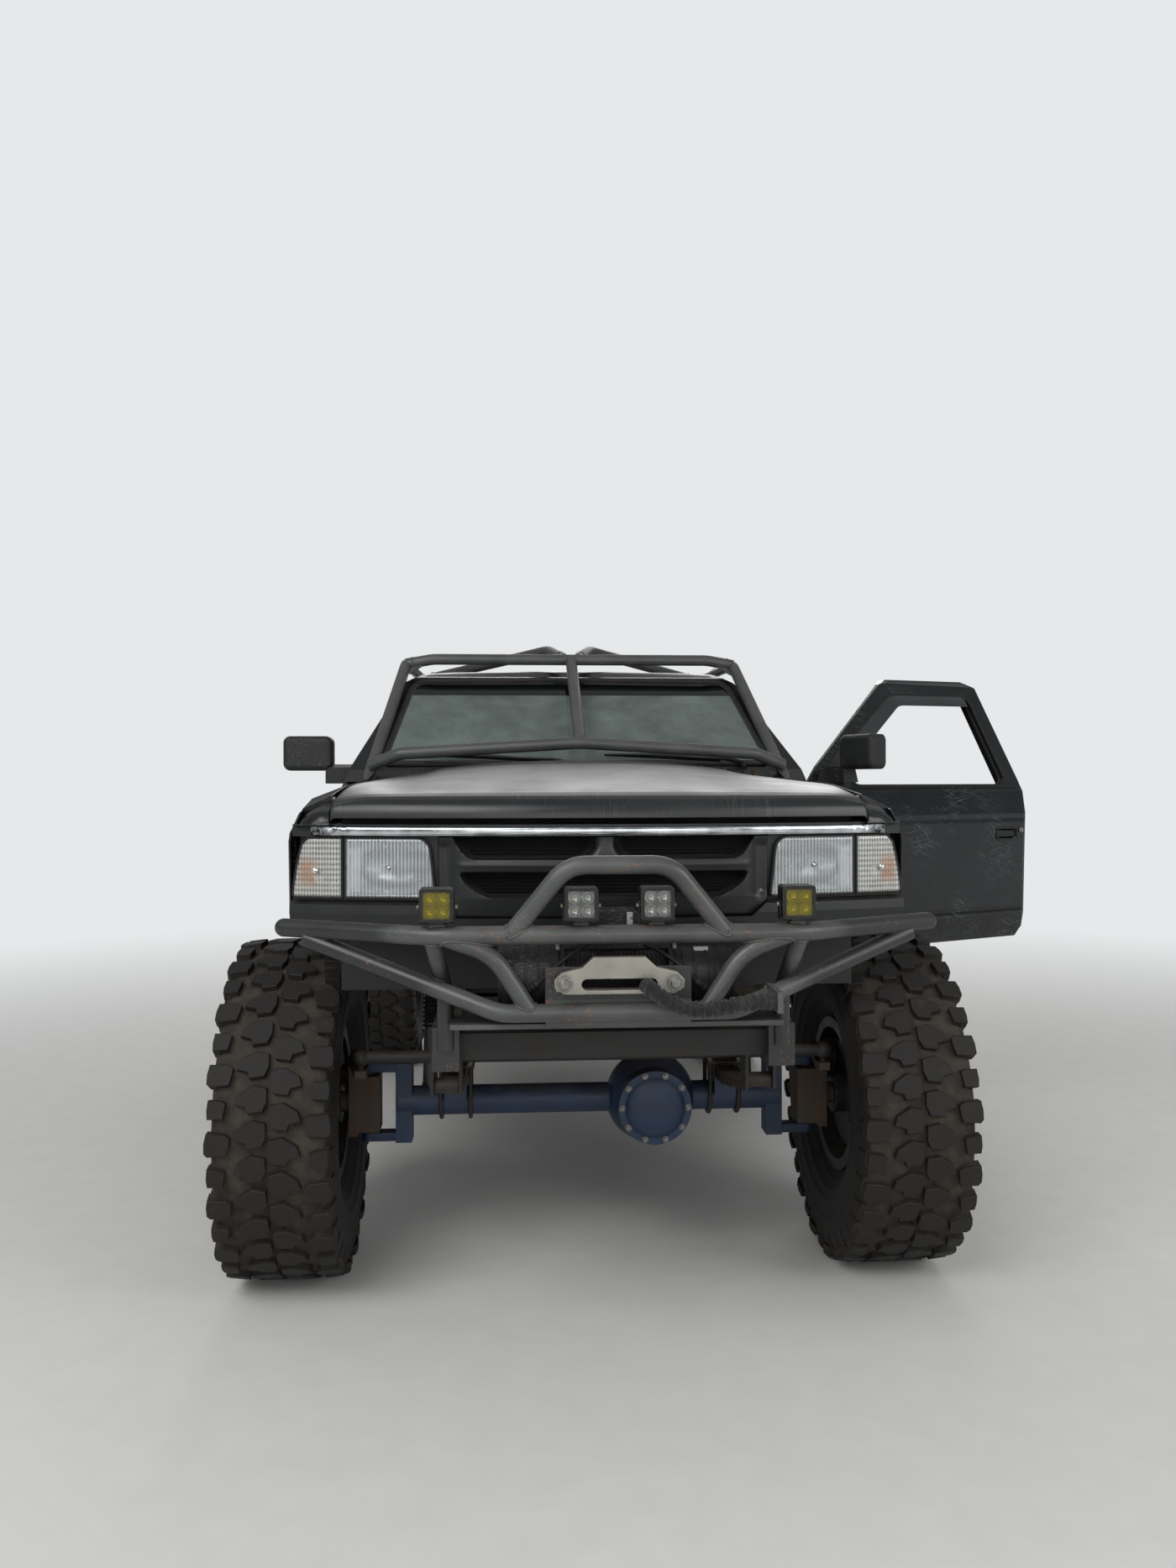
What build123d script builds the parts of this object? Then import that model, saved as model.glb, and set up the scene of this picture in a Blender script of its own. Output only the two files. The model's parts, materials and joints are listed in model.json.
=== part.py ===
from build123d import *
from math import asin, atan2, cos, degrees, pi, radians, sin, sqrt
import os

# Lifted off-road pickup with a tube cage outside its cab, built in millimetres.
# While it is built, x points to the vehicle's left, y rearwards from the middle of the grille, z up from the floor.
# Everything is shifted at the end so that the origin lies under the middle of the whole vehicle's box.

# Running gear
wheelbase = 2743
front_axle_y = 640
half_track = 905
tyre_radius = 508
tyre_width = 343
lug_count = 30
lug_height = 24
bead_radius = 218
rim_lip_radius = 238
rim_half_width = 118
rim_wall = 13
spindle_radius = 32
run_gap = 0.3
kingpin_x = 690
arm_reach = 215
tie_rod_height = 185
axle_tube_radius = 45

# Body
nose_arc_radius = 2779
nose_half_width = 842
body_half_width = 880
cab_front_y = 1130
door_front_y = 1227
door_rear_y = 2352
cab_rear_y = 2655
bed_front_y = 2672
bed_rear_y = 4402
floor_top_z = 905
sill_z = 800
bed_floor_z = 985
bed_rail_z = 1405
skin = 14
hinge_pin_radius = 4.5
hinge_eye_radius = 7.5
panel_gap = 8
door_open_angle = 65

# Tube work
tube_radius = 22.2
bumper_y = -360
bumper_z = 1150
pod_size = 78
receiver_outer = 64
receiver_inner = 51
hitch_pin_radius = 8
shackle_hole_radius = 12.5

rear_axle_y = front_axle_y + wheelbase
axle_z = tyre_radius

parts = {}


# Helpers

def both(shape):
    """The shape and its mirror image in the centre plane."""
    return [shape, mirror(shape, about=Plane.YZ)]


def box_at(x0, x1, y0, y1, z0, z1):
    return Pos((x0 + x1) / 2, (y0 + y1) / 2, (z0 + z1) / 2) * Box(x1 - x0, y1 - y0, z1 - z0)


def rod(start, end, radius):
    """A round bar between two points."""
    line = Line(start, end)
    return sweep(Plane(origin=line @ 0, z_dir=line % 0) * Circle(radius), path=line)


def tube(points, bend, radius=tube_radius):
    """A bent tube along straight runs joined by arcs."""
    path = FilletPolyline(*points, radius=bend)
    return sweep(Plane(origin=path @ 0, z_dir=path % 0) * Circle(radius), path=path)


def side_plate(points, x0, x1):
    """A plate whose outline is given in the side view as (y, z), from x0 to x1."""
    return Pos(x0, 0, 0) * extrude(Plane.YZ * make_face(Polyline(*points, close=True)), amount=x1 - x0)


def front_plate(points, y0, y1):
    """A plate whose outline is given in the front view as (x, z), from y0 to y1."""
    return Pos(0, y0, 0) * extrude(Plane.XZ * make_face(Polyline(*points, close=True)), amount=-(y1 - y0))


def mirrored_outline(half):
    """A closed outline from its right half, listed from the bottom to the top."""
    return half + [(-x, z) for x, z in reversed(half) if x > 0]


def nose_slice(points, half_angle):
    """A side-view section (distance behind the nose, z), swept round the nose's plan arc."""
    face = make_face(Polyline(*[(y - nose_arc_radius, z) for y, z in points], close=True))
    turned = revolve(Plane.YZ * face, axis=Axis.Z, revolution_arc=2 * half_angle)
    return Pos(0, nose_arc_radius, 0) * Rot(0, 0, -half_angle) * turned


def nose_y(x):
    """How far the nose's plan arc lies behind its middle at a distance x from the centre plane."""
    return nose_arc_radius - sqrt(nose_arc_radius**2 - x**2)


def nose_angle(x):
    return degrees(asin(x / nose_arc_radius))


# Wheels

root = tyre_radius - lug_height - 12
lug_inner_x = 9
tread_half = 157


def facet_ring(stations):
    """A closed ring of flat facets about the X axis, through stations given as (x, corner radius)."""
    rings = [[(x, r * cos(2 * pi * k / lug_count), r * sin(2 * pi * k / lug_count)) for k in range(lug_count)]
             for x, r in stations]
    faces = []
    for here, there in zip(rings, rings[1:] + rings[:1]):
        for k in range(lug_count):
            n = (k + 1) % lug_count
            faces.append(make_face(Polyline(here[k], here[n], there[n], there[k], close=True)))
    return Solid(Shell(faces))


def make_lug():
    """One tread lug with sloping flanks, from beside the middle groove to the shoulder."""
    pitch = 2 * pi / lug_count
    outline = [(radius * cos(half * pitch), radius * sin(half * pitch))
               for radius, half in ((root, -0.37), (tyre_radius, -0.3), (tyre_radius, 0.3), (root, 0.37))]
    face = Plane.YZ * make_face(Polyline(*outline, close=True))
    return Pos(lug_inner_x, 0, 0) * extrude(face, amount=tread_half - lug_inner_x)


def make_tyre():
    """A mud tyre about the X axis: faceted carcass and two rows of staggered lugs."""
    shoulder = tyre_radius - lug_height
    half = tyre_width / 2
    bore = (bead_radius + run_gap) / cos(pi / lug_count)
    # columns: distance from the tyre's middle, corner radius
    side = [(rim_half_width - 14, bore), (half, 392), (tread_half, shoulder)]
    solid = facet_ring(side + [(-x, r) for x, r in reversed(side)])
    lug = make_lug()
    other = mirror(lug, about=Plane.YZ)
    step = 360 / lug_count
    return solid + [Rot(step * k, 0, 0) * lug for k in range(lug_count)] \
        + [Rot(step * (k + 0.5), 0, 0) * other for k in range(lug_count)]


disc_x = -75
hub_inner_x = -130
hub_outer_x = 62


def make_rim():
    """A steel wheel with its hub and brake disc about the X axis; +X is the outer side."""
    w, r, t = rim_half_width, bead_radius, rim_wall
    barrel = [(-w, r), (-w, rim_lip_radius), (-w - 8, rim_lip_radius), (-w - 8, r - t), (w + 8, r - t),
              (w + 8, rim_lip_radius), (w, rim_lip_radius), (w, r)]
    dish = [(28, 58), (44, 58), (52, 120), (34, 190), (34, r - t + 1), (20, r - t + 1), (20, 186), (36, 118)]
    hub = [(hub_inner_x, spindle_radius + run_gap), (hub_inner_x, 62), (-92, 62), (-92, 95), (-60, 95),
           (-60, 70), (28, 70), (40, 60), (95, 52), (104, 44), (104, 0), (hub_outer_x, 0),
           (hub_outer_x, spindle_radius + run_gap)]
    disc = [(disc_x - 11, 90), (disc_x - 11, 165), (disc_x + 11, 165), (disc_x + 11, 90)]
    solid = None
    for outline in (barrel, dish, hub, disc):
        ring = revolve(make_face(Polyline(*outline, close=True)), axis=Axis.X)
        solid = ring if solid is None else solid + ring
    windows = [Rot(360 * k / 8, 0, 0) * (Pos(0, 153, 0) * Rot(0, 90, 0) * Cylinder(25, 120))
               for k in range(8)]
    return solid - [Pos(40, 0, 0) * w_ for w_ in windows]


def make_wheels():
    tyre = make_tyre()
    rim = make_rim()
    # columns: name, side, y of its axle
    for name, side, y in (("front_left", 1, front_axle_y), ("front_right", -1, front_axle_y),
                          ("rear_left", 1, rear_axle_y), ("rear_right", -1, rear_axle_y)):
        place = Pos(side * half_track, y, axle_z)
        parts["tyre_" + name] = place * tyre
        parts["wheel_" + name] = place * (rim if side > 0 else mirror(rim, about=Plane.YZ))


# Axles and steering

def make_caliper():
    """A brake caliper over the disc, pointing rearwards and up from the spindle's axis."""
    block = box_at(disc_x - 40, disc_x + 36, 108, 188, -62, 62)
    slot = Rot(0, 90, 0) * Cylinder(170, 34)
    return Rot(28, 0, 0) * (block - Pos(disc_x, 0, 0) * slot)


def make_knuckle():
    """Left steering knuckle, with its spindle on the wheel's axis and its kingpin upright."""
    offset = half_track - kingpin_x
    body = box_at(kingpin_x - 35, kingpin_x + 35, -45, 45, -86, 86)
    pins = Pos(kingpin_x, 0, 0) * Cylinder(14, 236)
    plate = box_at(kingpin_x + 30, kingpin_x + 58, -50, 50, -96, 150)
    arm = extrude(Plane.XY.offset(128) * make_face(Polyline(
        (kingpin_x + 58, 50), (kingpin_x + 24, 50), (kingpin_x - 20, -arm_reach + 10),
        (kingpin_x - 16, -arm_reach - 22), (kingpin_x + 16, -arm_reach - 22), (kingpin_x + 58, -50),
        close=True)), amount=22)
    eye = Pos(kingpin_x, -arm_reach, 139) * Cylinder(10 + run_gap, 60)
    spindle = rod((kingpin_x, 0, 0), (half_track + hub_outer_x - 4, 0, 0), spindle_radius)
    bracket = box_at(kingpin_x + 30, kingpin_x + 62, 30, 150, 30, 84)
    bracket = bracket + box_at(kingpin_x + 58, half_track + disc_x - 38, 78, 150, 30, 84)
    caliper = Pos(half_track, 0, 0) * make_caliper()
    solid = body + pins + plate + (arm - eye) + spindle + bracket + caliper
    return Pos(0, front_axle_y, axle_z) * solid


def make_tie_rod():
    x = kingpin_x
    y = front_axle_y - arm_reach
    z = axle_z + tie_rod_height
    bar = rod((-x, y, z), (x, y, z), 19)
    ends = []
    for side in (-1, 1):
        ends.append(Pos(side * x, y, z) * Sphere(26))
        ends.append(Pos(side * x, y, z - 28) * Cylinder(10, 56))
    return bar + ends


def axle_centre(offset_x, cover_side):
    """The round differential housing with its cover; cover_side is -1 for a cover at the front."""
    ball = Pos(offset_x, 0, 0) * Sphere(140)
    cover = Pos(offset_x, cover_side * 118, 0) * Rot(90, 0, 0) * Cylinder(112, 56)
    snout = Pos(offset_x, -cover_side * 190, 0) * Rot(90, 0, 0) * Cone(46, 66, 160)
    if cover_side > 0:
        snout = Pos(offset_x, -190, 0) * Rot(90, 0, 0) * Cone(66, 46, 160)
    return ball + cover + snout


front_diff_x = 190
snout_reach = 270
spring_x = 420
perch_z = axle_tube_radius + 26


def make_front_axle():
    tube_ = rod((-600, 0, 0), (600, 0, 0), axle_tube_radius)
    solid = tube_ + axle_centre(front_diff_x, -1)
    for side in (-1, 1):
        yoke = box_at(556, 606, -38, 38, -122, 122)
        for z in (-107, 107):
            yoke = yoke + box_at(580, kingpin_x, -24, 24, z - 13, z + 13) + Pos(kingpin_x, 0, z) * Cylinder(24, 26)
        yoke = yoke - Pos(kingpin_x, 0, 0) * Cylinder(14 + run_gap, 400)
        perch = box_at(spring_x - 34, spring_x + 34, -70, 70, axle_tube_radius - 30, perch_z)
        solid = solid + (yoke if side > 0 else mirror(yoke, about=Plane.YZ))
        solid = solid + (perch if side > 0 else mirror(perch, about=Plane.YZ))
    return Pos(0, front_axle_y, axle_z) * solid


def make_rear_axle():
    reach = half_track + hub_outer_x - 4
    solid = rod((-740, 0, 0), (740, 0, 0), axle_tube_radius) + axle_centre(0, 1)
    for side in (-1, 1):
        end = rod((700, 0, 0), (reach, 0, 0), spindle_radius)
        bracket = box_at(700, 760, 0, 150, 20, 84)
        bracket = bracket + box_at(758, half_track + disc_x - 38, 78, 150, 20, 84)
        perch = box_at(spring_x + 40 - 34, spring_x + 40 + 34, -70, 70, axle_tube_radius - 30, perch_z)
        piece = end + bracket + Pos(half_track, 0, 0) * make_caliper() + perch
        solid = solid + (piece if side > 0 else mirror(piece, about=Plane.YZ))
    return Pos(0, rear_axle_y, axle_z) * solid


spring_reach = 560
spring_rise = 80
leaf_thickness = 9
eye_radius = 20
bolt_radius = 9


def make_leaf_pack(x, y):
    """A pack of four curved leaves on its perch, with an eye at each end and clamps over the axle."""
    radius = (spring_reach**2 + spring_rise**2) / (2 * spring_rise)
    base = axle_z + perch_z
    centre_z = base + 3 * leaf_thickness + radius
    pieces = None
    # columns: share of the full length, order from the top
    for share, order in ((1.0, 0), (0.86, 1), (0.62, 2), (0.38, 3)):
        half = asin(spring_reach / radius) * share
        inner = radius + order * leaf_thickness - leaf_thickness
        outer = inner + leaf_thickness
        if order == 3:
            outer = inner + leaf_thickness
        arc_out = ThreePointArc(*[(outer * sin(a), -outer * cos(a)) for a in (-half, 0, half)])
        arc_in = ThreePointArc(*[(inner * sin(a), -inner * cos(a)) for a in (half, 0, -half)])
        face = make_face([arc_out, Line(arc_out @ 1, arc_in @ 0), arc_in, Line(arc_in @ 1, arc_out @ 0)])
        leaf = extrude(Plane.YZ * face, amount=32, both=True)
        pieces = leaf if pieces is None else pieces + leaf
    rise = radius - (radius - leaf_thickness / 2) * cos(asin(spring_reach / radius))
    for end in (-1, 1):
        place = Pos(0, end * (spring_reach + 2), -radius + rise + 6) * Rot(0, 90, 0)
        pieces = pieces + place * Cylinder(eye_radius, 64)
    for end in (-1, 1):
        place = Pos(0, end * (spring_reach + 2), -radius + rise + 6) * Rot(0, 90, 0)
        pieces = pieces - place * Cylinder(bolt_radius + run_gap, 80)
    clamps = box_at(-36, 36, -60, 60, -radius - 3 * leaf_thickness + 1, -radius + leaf_thickness * 2)
    return Pos(x, y, centre_z) * (pieces + clamps)


def spring_eye_z():
    radius = (spring_reach**2 + spring_rise**2) / (2 * spring_rise)
    rise = radius - (radius - leaf_thickness / 2) * cos(asin(spring_reach / radius))
    return axle_z + perch_z + 3 * leaf_thickness + rise + 6


def make_shocks():
    solids = []
    for foot, head in shock_ends:
        middle = tuple(a + (b - a) * 0.55 for a, b in zip(foot, head))
        shock = Pos(*foot) * Sphere(27) + rod(foot, middle, 24) + rod(middle, head, 10) + Pos(*head) * Sphere(15)
        solids += both(shock)
    return solids


shock_seat = axle_tube_radius + 27.3
# columns: x, y, z of the foot, then of the head
shock_ends = [((506, front_axle_y + shock_seat * cos(0.4), axle_z + shock_seat * sin(0.4)), (500, front_axle_y + 120, 900)),
              ((566, rear_axle_y - shock_seat * cos(0.4), axle_z + shock_seat * sin(0.4)), (486, rear_axle_y - 190, 880))]


# Frame

rail_inner = 372
rail_outer = 436
rail_height = 110
# columns: y, z of the rail's underside
rail_line = [(-230, 812), (950, 812), (1190, 728), (2700, 728), (2980, 832), (3780, 832), (3980, 800), (4392, 800)]
# columns: y of a cross member, its height above the rails' underside, its own height
cross_members = [(-190, 20, 64), (300, 20, 64), (1930, 64, 42), (2200, 20, 64), (2900, 20, 64), (3760, 20, 64),
                 (4340, 20, 64)]


def rail_bottom(y):
    for (y0, z0), (y1, z1) in zip(rail_line, rail_line[1:]):
        if y0 <= y <= y1:
            return z0 + (z1 - z0) * (y - y0) / (y1 - y0)
    return rail_line[-1][1]


def make_frame():
    outline = rail_line + [(y, z + rail_height) for y, z in reversed(rail_line)]
    solid = side_plate(outline, rail_inner, rail_outer)
    solid = solid + mirror(solid, about=Plane.YZ)
    for y, lift, height in cross_members:
        z = rail_bottom(y) + lift
        solid = solid + box_at(-rail_inner - 4, rail_inner + 4, y - 30, y + 30, z, z + height)
    eye_z = spring_eye_z()
    # columns: x of the spring, y of its axle
    for x, axle_y in ((spring_x, front_axle_y), (spring_x + 40, rear_axle_y)):
        for end in (-1, 1):
            y = axle_y + end * (spring_reach + 2)
            top = rail_bottom(y) + 30
            for inside, outside in ((x - 42, x - 33), (x + 33, x + 42)):
                ear = side_plate([(y - 34, top), (y - 26, eye_z - 22), (y + 26, eye_z - 22), (y + 34, top)],
                                 inside, outside)
                solid = solid + ear + mirror(ear, about=Plane.YZ)
            bolt = rod((x - 46, y, eye_z), (x + 46, y, eye_z), bolt_radius)
            bridge = box_at(rail_inner + 4, x + 42, y - 34, y + 34, rail_bottom(y) + 6, rail_bottom(y) + 30)
            solid = solid + bolt + mirror(bolt, about=Plane.YZ) + bridge + mirror(bridge, about=Plane.YZ)
    # columns: y of a body mount, z of the underside of what stands on it
    for y, top in ((1330, floor_top_z - 30), (1900, floor_top_z - 30), (2560, floor_top_z - 30), (2780, bed_floor_z - 30),
                   (3040, bed_floor_z - 30), (3700, bed_floor_z - 30), (4300, bed_floor_z - 30)):
        bottom = rail_bottom(y) + rail_height - 20
        puck = Pos(404, y, (bottom + top - run_gap) / 2) * Cylinder(28, top - run_gap - bottom)
        solid = solid + puck + mirror(puck, about=Plane.YZ)
    for foot, (x, y, z) in shock_ends:
        ledge = box_at(rail_outer - 4, x + 26, y - 30, y + 30, z + 15.3, z + 36)
        solid = solid + ledge + mirror(ledge, about=Plane.YZ)
    return solid


# Front tube bumper, winch and lamps on it

def make_front_bumper():
    y = bumper_y
    main = tube([(-800, -165, bumper_z), (-430, y, bumper_z), (430, y, bumper_z), (800, -165, bumper_z)], 200)
    lower = tube([(-742, -196, bumper_z - 22), (-275, y, 970), (275, y, 970), (742, -196, bumper_z - 22)], 130,
                 tube_radius - 1)
    hoop = tube([(-246, y - 2, bumper_z + 6), (-120, y - 24, 1312), (120, y - 24, 1312), (246, y - 2, bumper_z + 6)], 90,
                tube_radius - 0.6)
    solid = main + lower + hoop
    for side in (-1, 1):
        strut = tube([(side * 412, y + 1, bumper_z), (side * 290, y + 1, 1106), (side * 204, y + 1, 972)], 150,
                     tube_radius - 1.6)
        stay = tube([(side * 430, y + 12, bumper_z - 8), (side * 404, y + 98, 1000), (side * 404, y + 98, 868)], 30,
                    tube_radius - 2)
        foot = box_at(side * 404 - 32, side * 404 + 32, -264, -230.3, 815, 919)
        solid = solid + strut + stay + foot + Pos(side * 800, -165, bumper_z) * Sphere(tube_radius)
    solid = solid + box_at(-390, 390, -345, -232, 930, 942)
    slot = Pos(0, y, fairlead_z - 4) * Rot(90, 0, 0) * extrude(
        SlotOverall(fairlead_slot[0] + 10, fairlead_slot[1] + 10), amount=60, both=True)
    solid = solid + (box_at(-170, 170, -352, -341, 936, 1074) - slot)
    for x in (-pod_x_outer, -pod_x_inner, pod_x_inner, pod_x_outer):
        solid = solid + box_at(x - 18, x + 18, y - 4, y + 22, bumper_z + tube_radius - 4, pod_z - pod_size / 2 - 6.3)
    tab_front = fairlead_y - 22 - 20 - 24
    return solid + box_at(rope_tab_x, rope_tab_x + 12, tab_front, -322, rope_end_z - 24, rope_end_z + 24)


pod_x_inner = 88
pod_x_outer = 418
pod_z = 1222
pod_y = bumper_y - 6
pod_depth = 52


def make_pods():
    housings, lenses = [], []
    h = pod_size / 2
    for x in (-pod_x_outer, -pod_x_inner, pod_x_inner, pod_x_outer):
        shell = box_at(-h, h, 0, pod_depth, -h, h)
        shell = fillet(shell.edges().filter_by(Axis.Y), 7)
        shell = shell - box_at(-h + 7, h - 7, -1, 9, -h + 7, h - 7)
        for k in range(4):
            shell = shell - box_at(-h - 1, h + 1, 24 + k * 7, 27 + k * 7, h - 9, h + 1)
        foot = box_at(-16, 16, 4, 28, -h - 6, -h + 2)
        housings.append(Pos(x, pod_y - 18, pod_z) * (shell + foot))
        lens = box_at(-h + 7.3, h - 7.3, 2, 8.7, -h + 7.3, h - 7.3)
        lenses.append(Pos(x, pod_y - 18, pod_z) * lens)
    parts["pod_housings"] = housings
    parts["pod_lenses"] = lenses


winch_y = -250
winch_z = 1040
winch_drum_radius = 34


def make_winch():
    gear = Pos(-205, winch_y, winch_z) * Rot(0, 90, 0) * Cylinder(74, 150)
    motor = Pos(208, winch_y, winch_z) * Rot(0, 90, 0) * Cylinder(62, 144)
    flanges = [Pos(side * 128, winch_y, winch_z) * Rot(0, 90, 0) * Cylinder(82, 10) for side in (-1, 1)]
    drum = rod((-132, winch_y, winch_z), (132, winch_y, winch_z), winch_drum_radius)
    ties = [rod((-132, winch_y + dy, winch_z + 70), (132, winch_y + dy, winch_z + 70), 8) for dy in (-36, 36)]
    feet = [box_at(side * 128 - 18, side * 128 + 18, winch_y - 60, winch_y + 60, 942.3, winch_z - 60)
            for side in (-1, 1)]
    control = box_at(-62, 52, winch_y - 20, winch_y + 60, winch_z + 66, winch_z + 150)
    return gear + motor + flanges + drum + ties + feet + control


fairlead_z = 1042
fairlead_bolt_spacing = 254
fairlead_y = bumper_y - 26
fairlead_slot = (176, 26)


def make_fairlead():
    """An aluminium hawse plate with a rounded rope slot and two ears."""
    half = [(0, -26), (112, -26), (128, -25), (149, -12), (150, 6), (134, 22), (112, 28), (86, 34), (60, 58), (0, 58)]
    plate = front_plate(mirrored_outline(half), 0, 24)
    slot = Pos(0, 12, -4) * Rot(90, 0, 0) * extrude(SlotOverall(fairlead_slot[0], fairlead_slot[1]), amount=30, both=True)
    body = plate - slot
    for side in (-1, 1):
        bolt = Pos(side * fairlead_bolt_spacing / 2, -3, 0) * Rot(90, 0, 0) * Cylinder(10, 12)
        body = body + bolt
    back = box_at(-145, 145, 24, 34, -24, -2) - slot
    return Pos(0, fairlead_y, fairlead_z) * (body + back)


def make_rope():
    """The winch line from its drum through the fairlead, then its bunched sleeve to the tab on the lower tube."""
    y = fairlead_y - 22
    start = (rope_x, winch_y - winch_drum_radius - run_gap, rope_z)
    line = rod(start, (rope_x, y, rope_z), rope_radius)
    points = [(rope_x, y - run_gap, rope_z), (rope_x, y - 34, rope_z), (128, y - 34, 992), (212, y - 20, 983),
              (288, y - 20, rope_end_z), (rope_tab_x - run_gap, y - 20, rope_end_z)]
    return [line, tube(points, sleeve_bends, sleeve_radius)]


rope_x = 60
rope_z = fairlead_z - 4
rope_radius = 6
sleeve_radius = 19
sleeve_bends = [26, 70, 120, 120]
rope_tab_x = 352
rope_end_z = 1002


# Nose, lamps and front panels

lamp_top = 1356
lamp_bottom = 1196
lamp_inner_top = 464
lamp_inner_bottom = 446
lamp_split = 694
lamp_outer_top = 800
lamp_outer_bottom = 832
trim_low = 1361
trim_high = 1385
hood_lip = 1408
valance_low = 1108
valance_high = 1184
grille_low = 1144


def lamp_outline(kind):
    if kind == "head":
        return [(lamp_inner_bottom, lamp_bottom), (lamp_split - 3, lamp_bottom), (lamp_split - 3, lamp_top),
                (lamp_inner_top + 22, lamp_top), (lamp_inner_top, lamp_top - 24)]
    return [(lamp_split + 3, lamp_bottom), (lamp_outer_bottom, lamp_bottom + 4), (lamp_outer_bottom - 2, lamp_bottom + 40),
            (lamp_outer_top, lamp_top - 16), (lamp_outer_top - 24, lamp_top), (lamp_split + 3, lamp_top)]


def make_lamps():
    band = nose_slice([(4, lamp_bottom - 2), (64, lamp_bottom - 2), (64, lamp_top + 2), (4, lamp_top + 2)],
                      nose_angle(nose_half_width))
    for name, kind in (("headlamps", "head"), ("marker_lamps", "marker")):
        cutter = front_plate(lamp_outline(kind), -50, 400)
        parts[name] = both(band & cutter)


def make_front_panel():
    """The black panel that carries the grille, the lamps and the valance under them."""
    angle = nose_angle(nose_half_width)
    section = [(14, valance_low), (74, valance_low), (74, trim_high + 6), (20, trim_high + 6), (20, valance_high + 4),
               (2, valance_high - 6), (0, valance_high - 30)]
    solid = nose_slice(section, angle)
    lamp_gap = 2
    hole = [(lamp_inner_bottom - lamp_gap, lamp_bottom - lamp_gap), (lamp_outer_bottom + 40, lamp_bottom - lamp_gap),
            (lamp_outer_bottom + 40, lamp_top + lamp_gap), (lamp_inner_top + 22, lamp_top + lamp_gap),
            (lamp_inner_top - lamp_gap, lamp_top - 24)]
    pocket = nose_slice([(-60, lamp_bottom - 40), (64, lamp_bottom - 40), (64, lamp_top + 40), (-60, lamp_top + 40)],
                        angle + 3)
    lamp_hole = front_plate(hole, -50, 400) & pocket
    gap = run_gap
    grille_hole = front_plate(mirrored_outline([(0, grille_low - gap), (394 + gap, grille_low - gap),
                                                (grille_half + gap, grille_low + 42 - gap),
                                                (grille_half + gap, trim_low - 1), (0, trim_low - 1)]), -50, 200)
    return solid - both(lamp_hole) - grille_hole


grille_half = 440


def make_grille():
    """A deep plastic grille: smooth ends that scoop inwards, a bar across and two openings."""
    outline = mirrored_outline([(0, grille_low), (394, grille_low), (grille_half, grille_low + 42),
                                (grille_half, trim_low - 3), (0, trim_low - 3)])
    solid = nose_slice([(0, grille_low), (74, grille_low), (74, trim_low - 3), (0, trim_low - 3)],
                       nose_angle(grille_half + 20)) & front_plate(outline, -50, 200)
    # columns: half width at the face, half width at the back, low z, high z
    for wide, narrow, low, high in ((392, 300, 1308, 1350), (372, 288, 1164, 1284)):
        front = Plane.XZ.offset(10) * RectangleRounded(2 * wide, high - low, 12)
        back = Plane.XZ.offset(-110) * RectangleRounded(2 * narrow, high - low - 8, 12)
        solid = solid - Pos(0, 0, (low + high) / 2) * loft([front, back])
    return solid


def make_trim():
    return nose_slice([(-6, trim_low), (19.7, trim_low), (19.7, trim_high), (-2, trim_high)], nose_angle(781))


hood_half_front = 727
hood_half_rear = 742
hood_thickness = 16
hood_rear_y = 1124
# columns: y, half width, z at the side, z in the middle
hood_sections = [(160, 727, 1477, 1484), (480, 732, 1497, 1522), (800, 737, 1508, 1553), (1124, 742, 1516, 1578)]


def hood_section(y, half, side_z, middle_z, drop=0):
    top = ThreePointArc((-half, side_z - drop), (0, middle_z - drop), (half, side_z - drop))
    low = ThreePointArc((half, side_z - drop - hood_thickness), (0, middle_z - drop - hood_thickness),
                        (-half, side_z - drop - hood_thickness))
    face = make_face([top, Line(top @ 1, low @ 0), low, Line(low @ 1, top @ 0)])
    return Plane.XZ.offset(-y) * face


def make_bonnet():
    main = loft([hood_section(*row) for row in hood_sections])
    t = hood_thickness
    outer = [(0, hood_lip), (4, 1438), (20, 1462), (60, 1478), (200, 1486.4)]
    inner = [(200, 1486.4 - t), (62, 1478 - t), (28, 1462 - 11), (18, 1434), (14, hood_lip)]
    nose = nose_slice(outer + inner, nose_angle(hood_half_front))
    nose = nose & box_at(-hood_half_front, hood_half_front, -50, 160.5, 1300, 1600)
    solid = main + nose
    for x in hood_hinge_places:
        block = box_at(x - 26, x + 26, 1060, hood_rear_y, hood_hinge_z - 8, hood_hinge_z + 6)
        solid = solid + block - box_at(x - 11, x + 11, 1088, hood_rear_y + 10, 1500, 1600)
        solid = solid + rod((x - 16, hood_hinge_y, hood_hinge_z), (x + 16, hood_hinge_y, hood_hinge_z), hinge_pin_radius)
    return solid


hood_hinge_y = 1114
hood_hinge_z = 1545
hood_hinge_places = (-430, 430)

fender_gap = 6
# columns: y, x at the sill, x above it, x of the crease, z of the crease, x and z of the shoulder, x and z of the seam
fender_sections = [
    (118, 826, 840, 845, 1352, 812, 1424, 735, 1462),
    (480, 846, 862, 873, 1370, 838, 1456, 740, 1494),
    (850, 850, 868, 880, 1376, 846, 1470, 745, 1506),
    (1212, 850, 868, 880, 1378, 848, 1478, 750, 1514),
]


def fender_section(y, x_sill, x_low, x_crease, z_crease, x_shoulder, z_shoulder, x_seam, z_seam):
    outer = [(x_sill, sill_z), (x_low, sill_z + 160), (x_crease, z_crease), (x_shoulder, z_shoulder), (x_seam, z_seam)]
    inner = [(x_seam, z_seam - skin), (x_shoulder - 10, z_shoulder - skin), (x_crease - skin, z_crease - 8),
             (x_low - skin, sill_z + 160), (x_sill - skin, sill_z)]
    return Plane.XZ.offset(-y) * make_face(Polyline(*(outer + inner), close=True))


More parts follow.
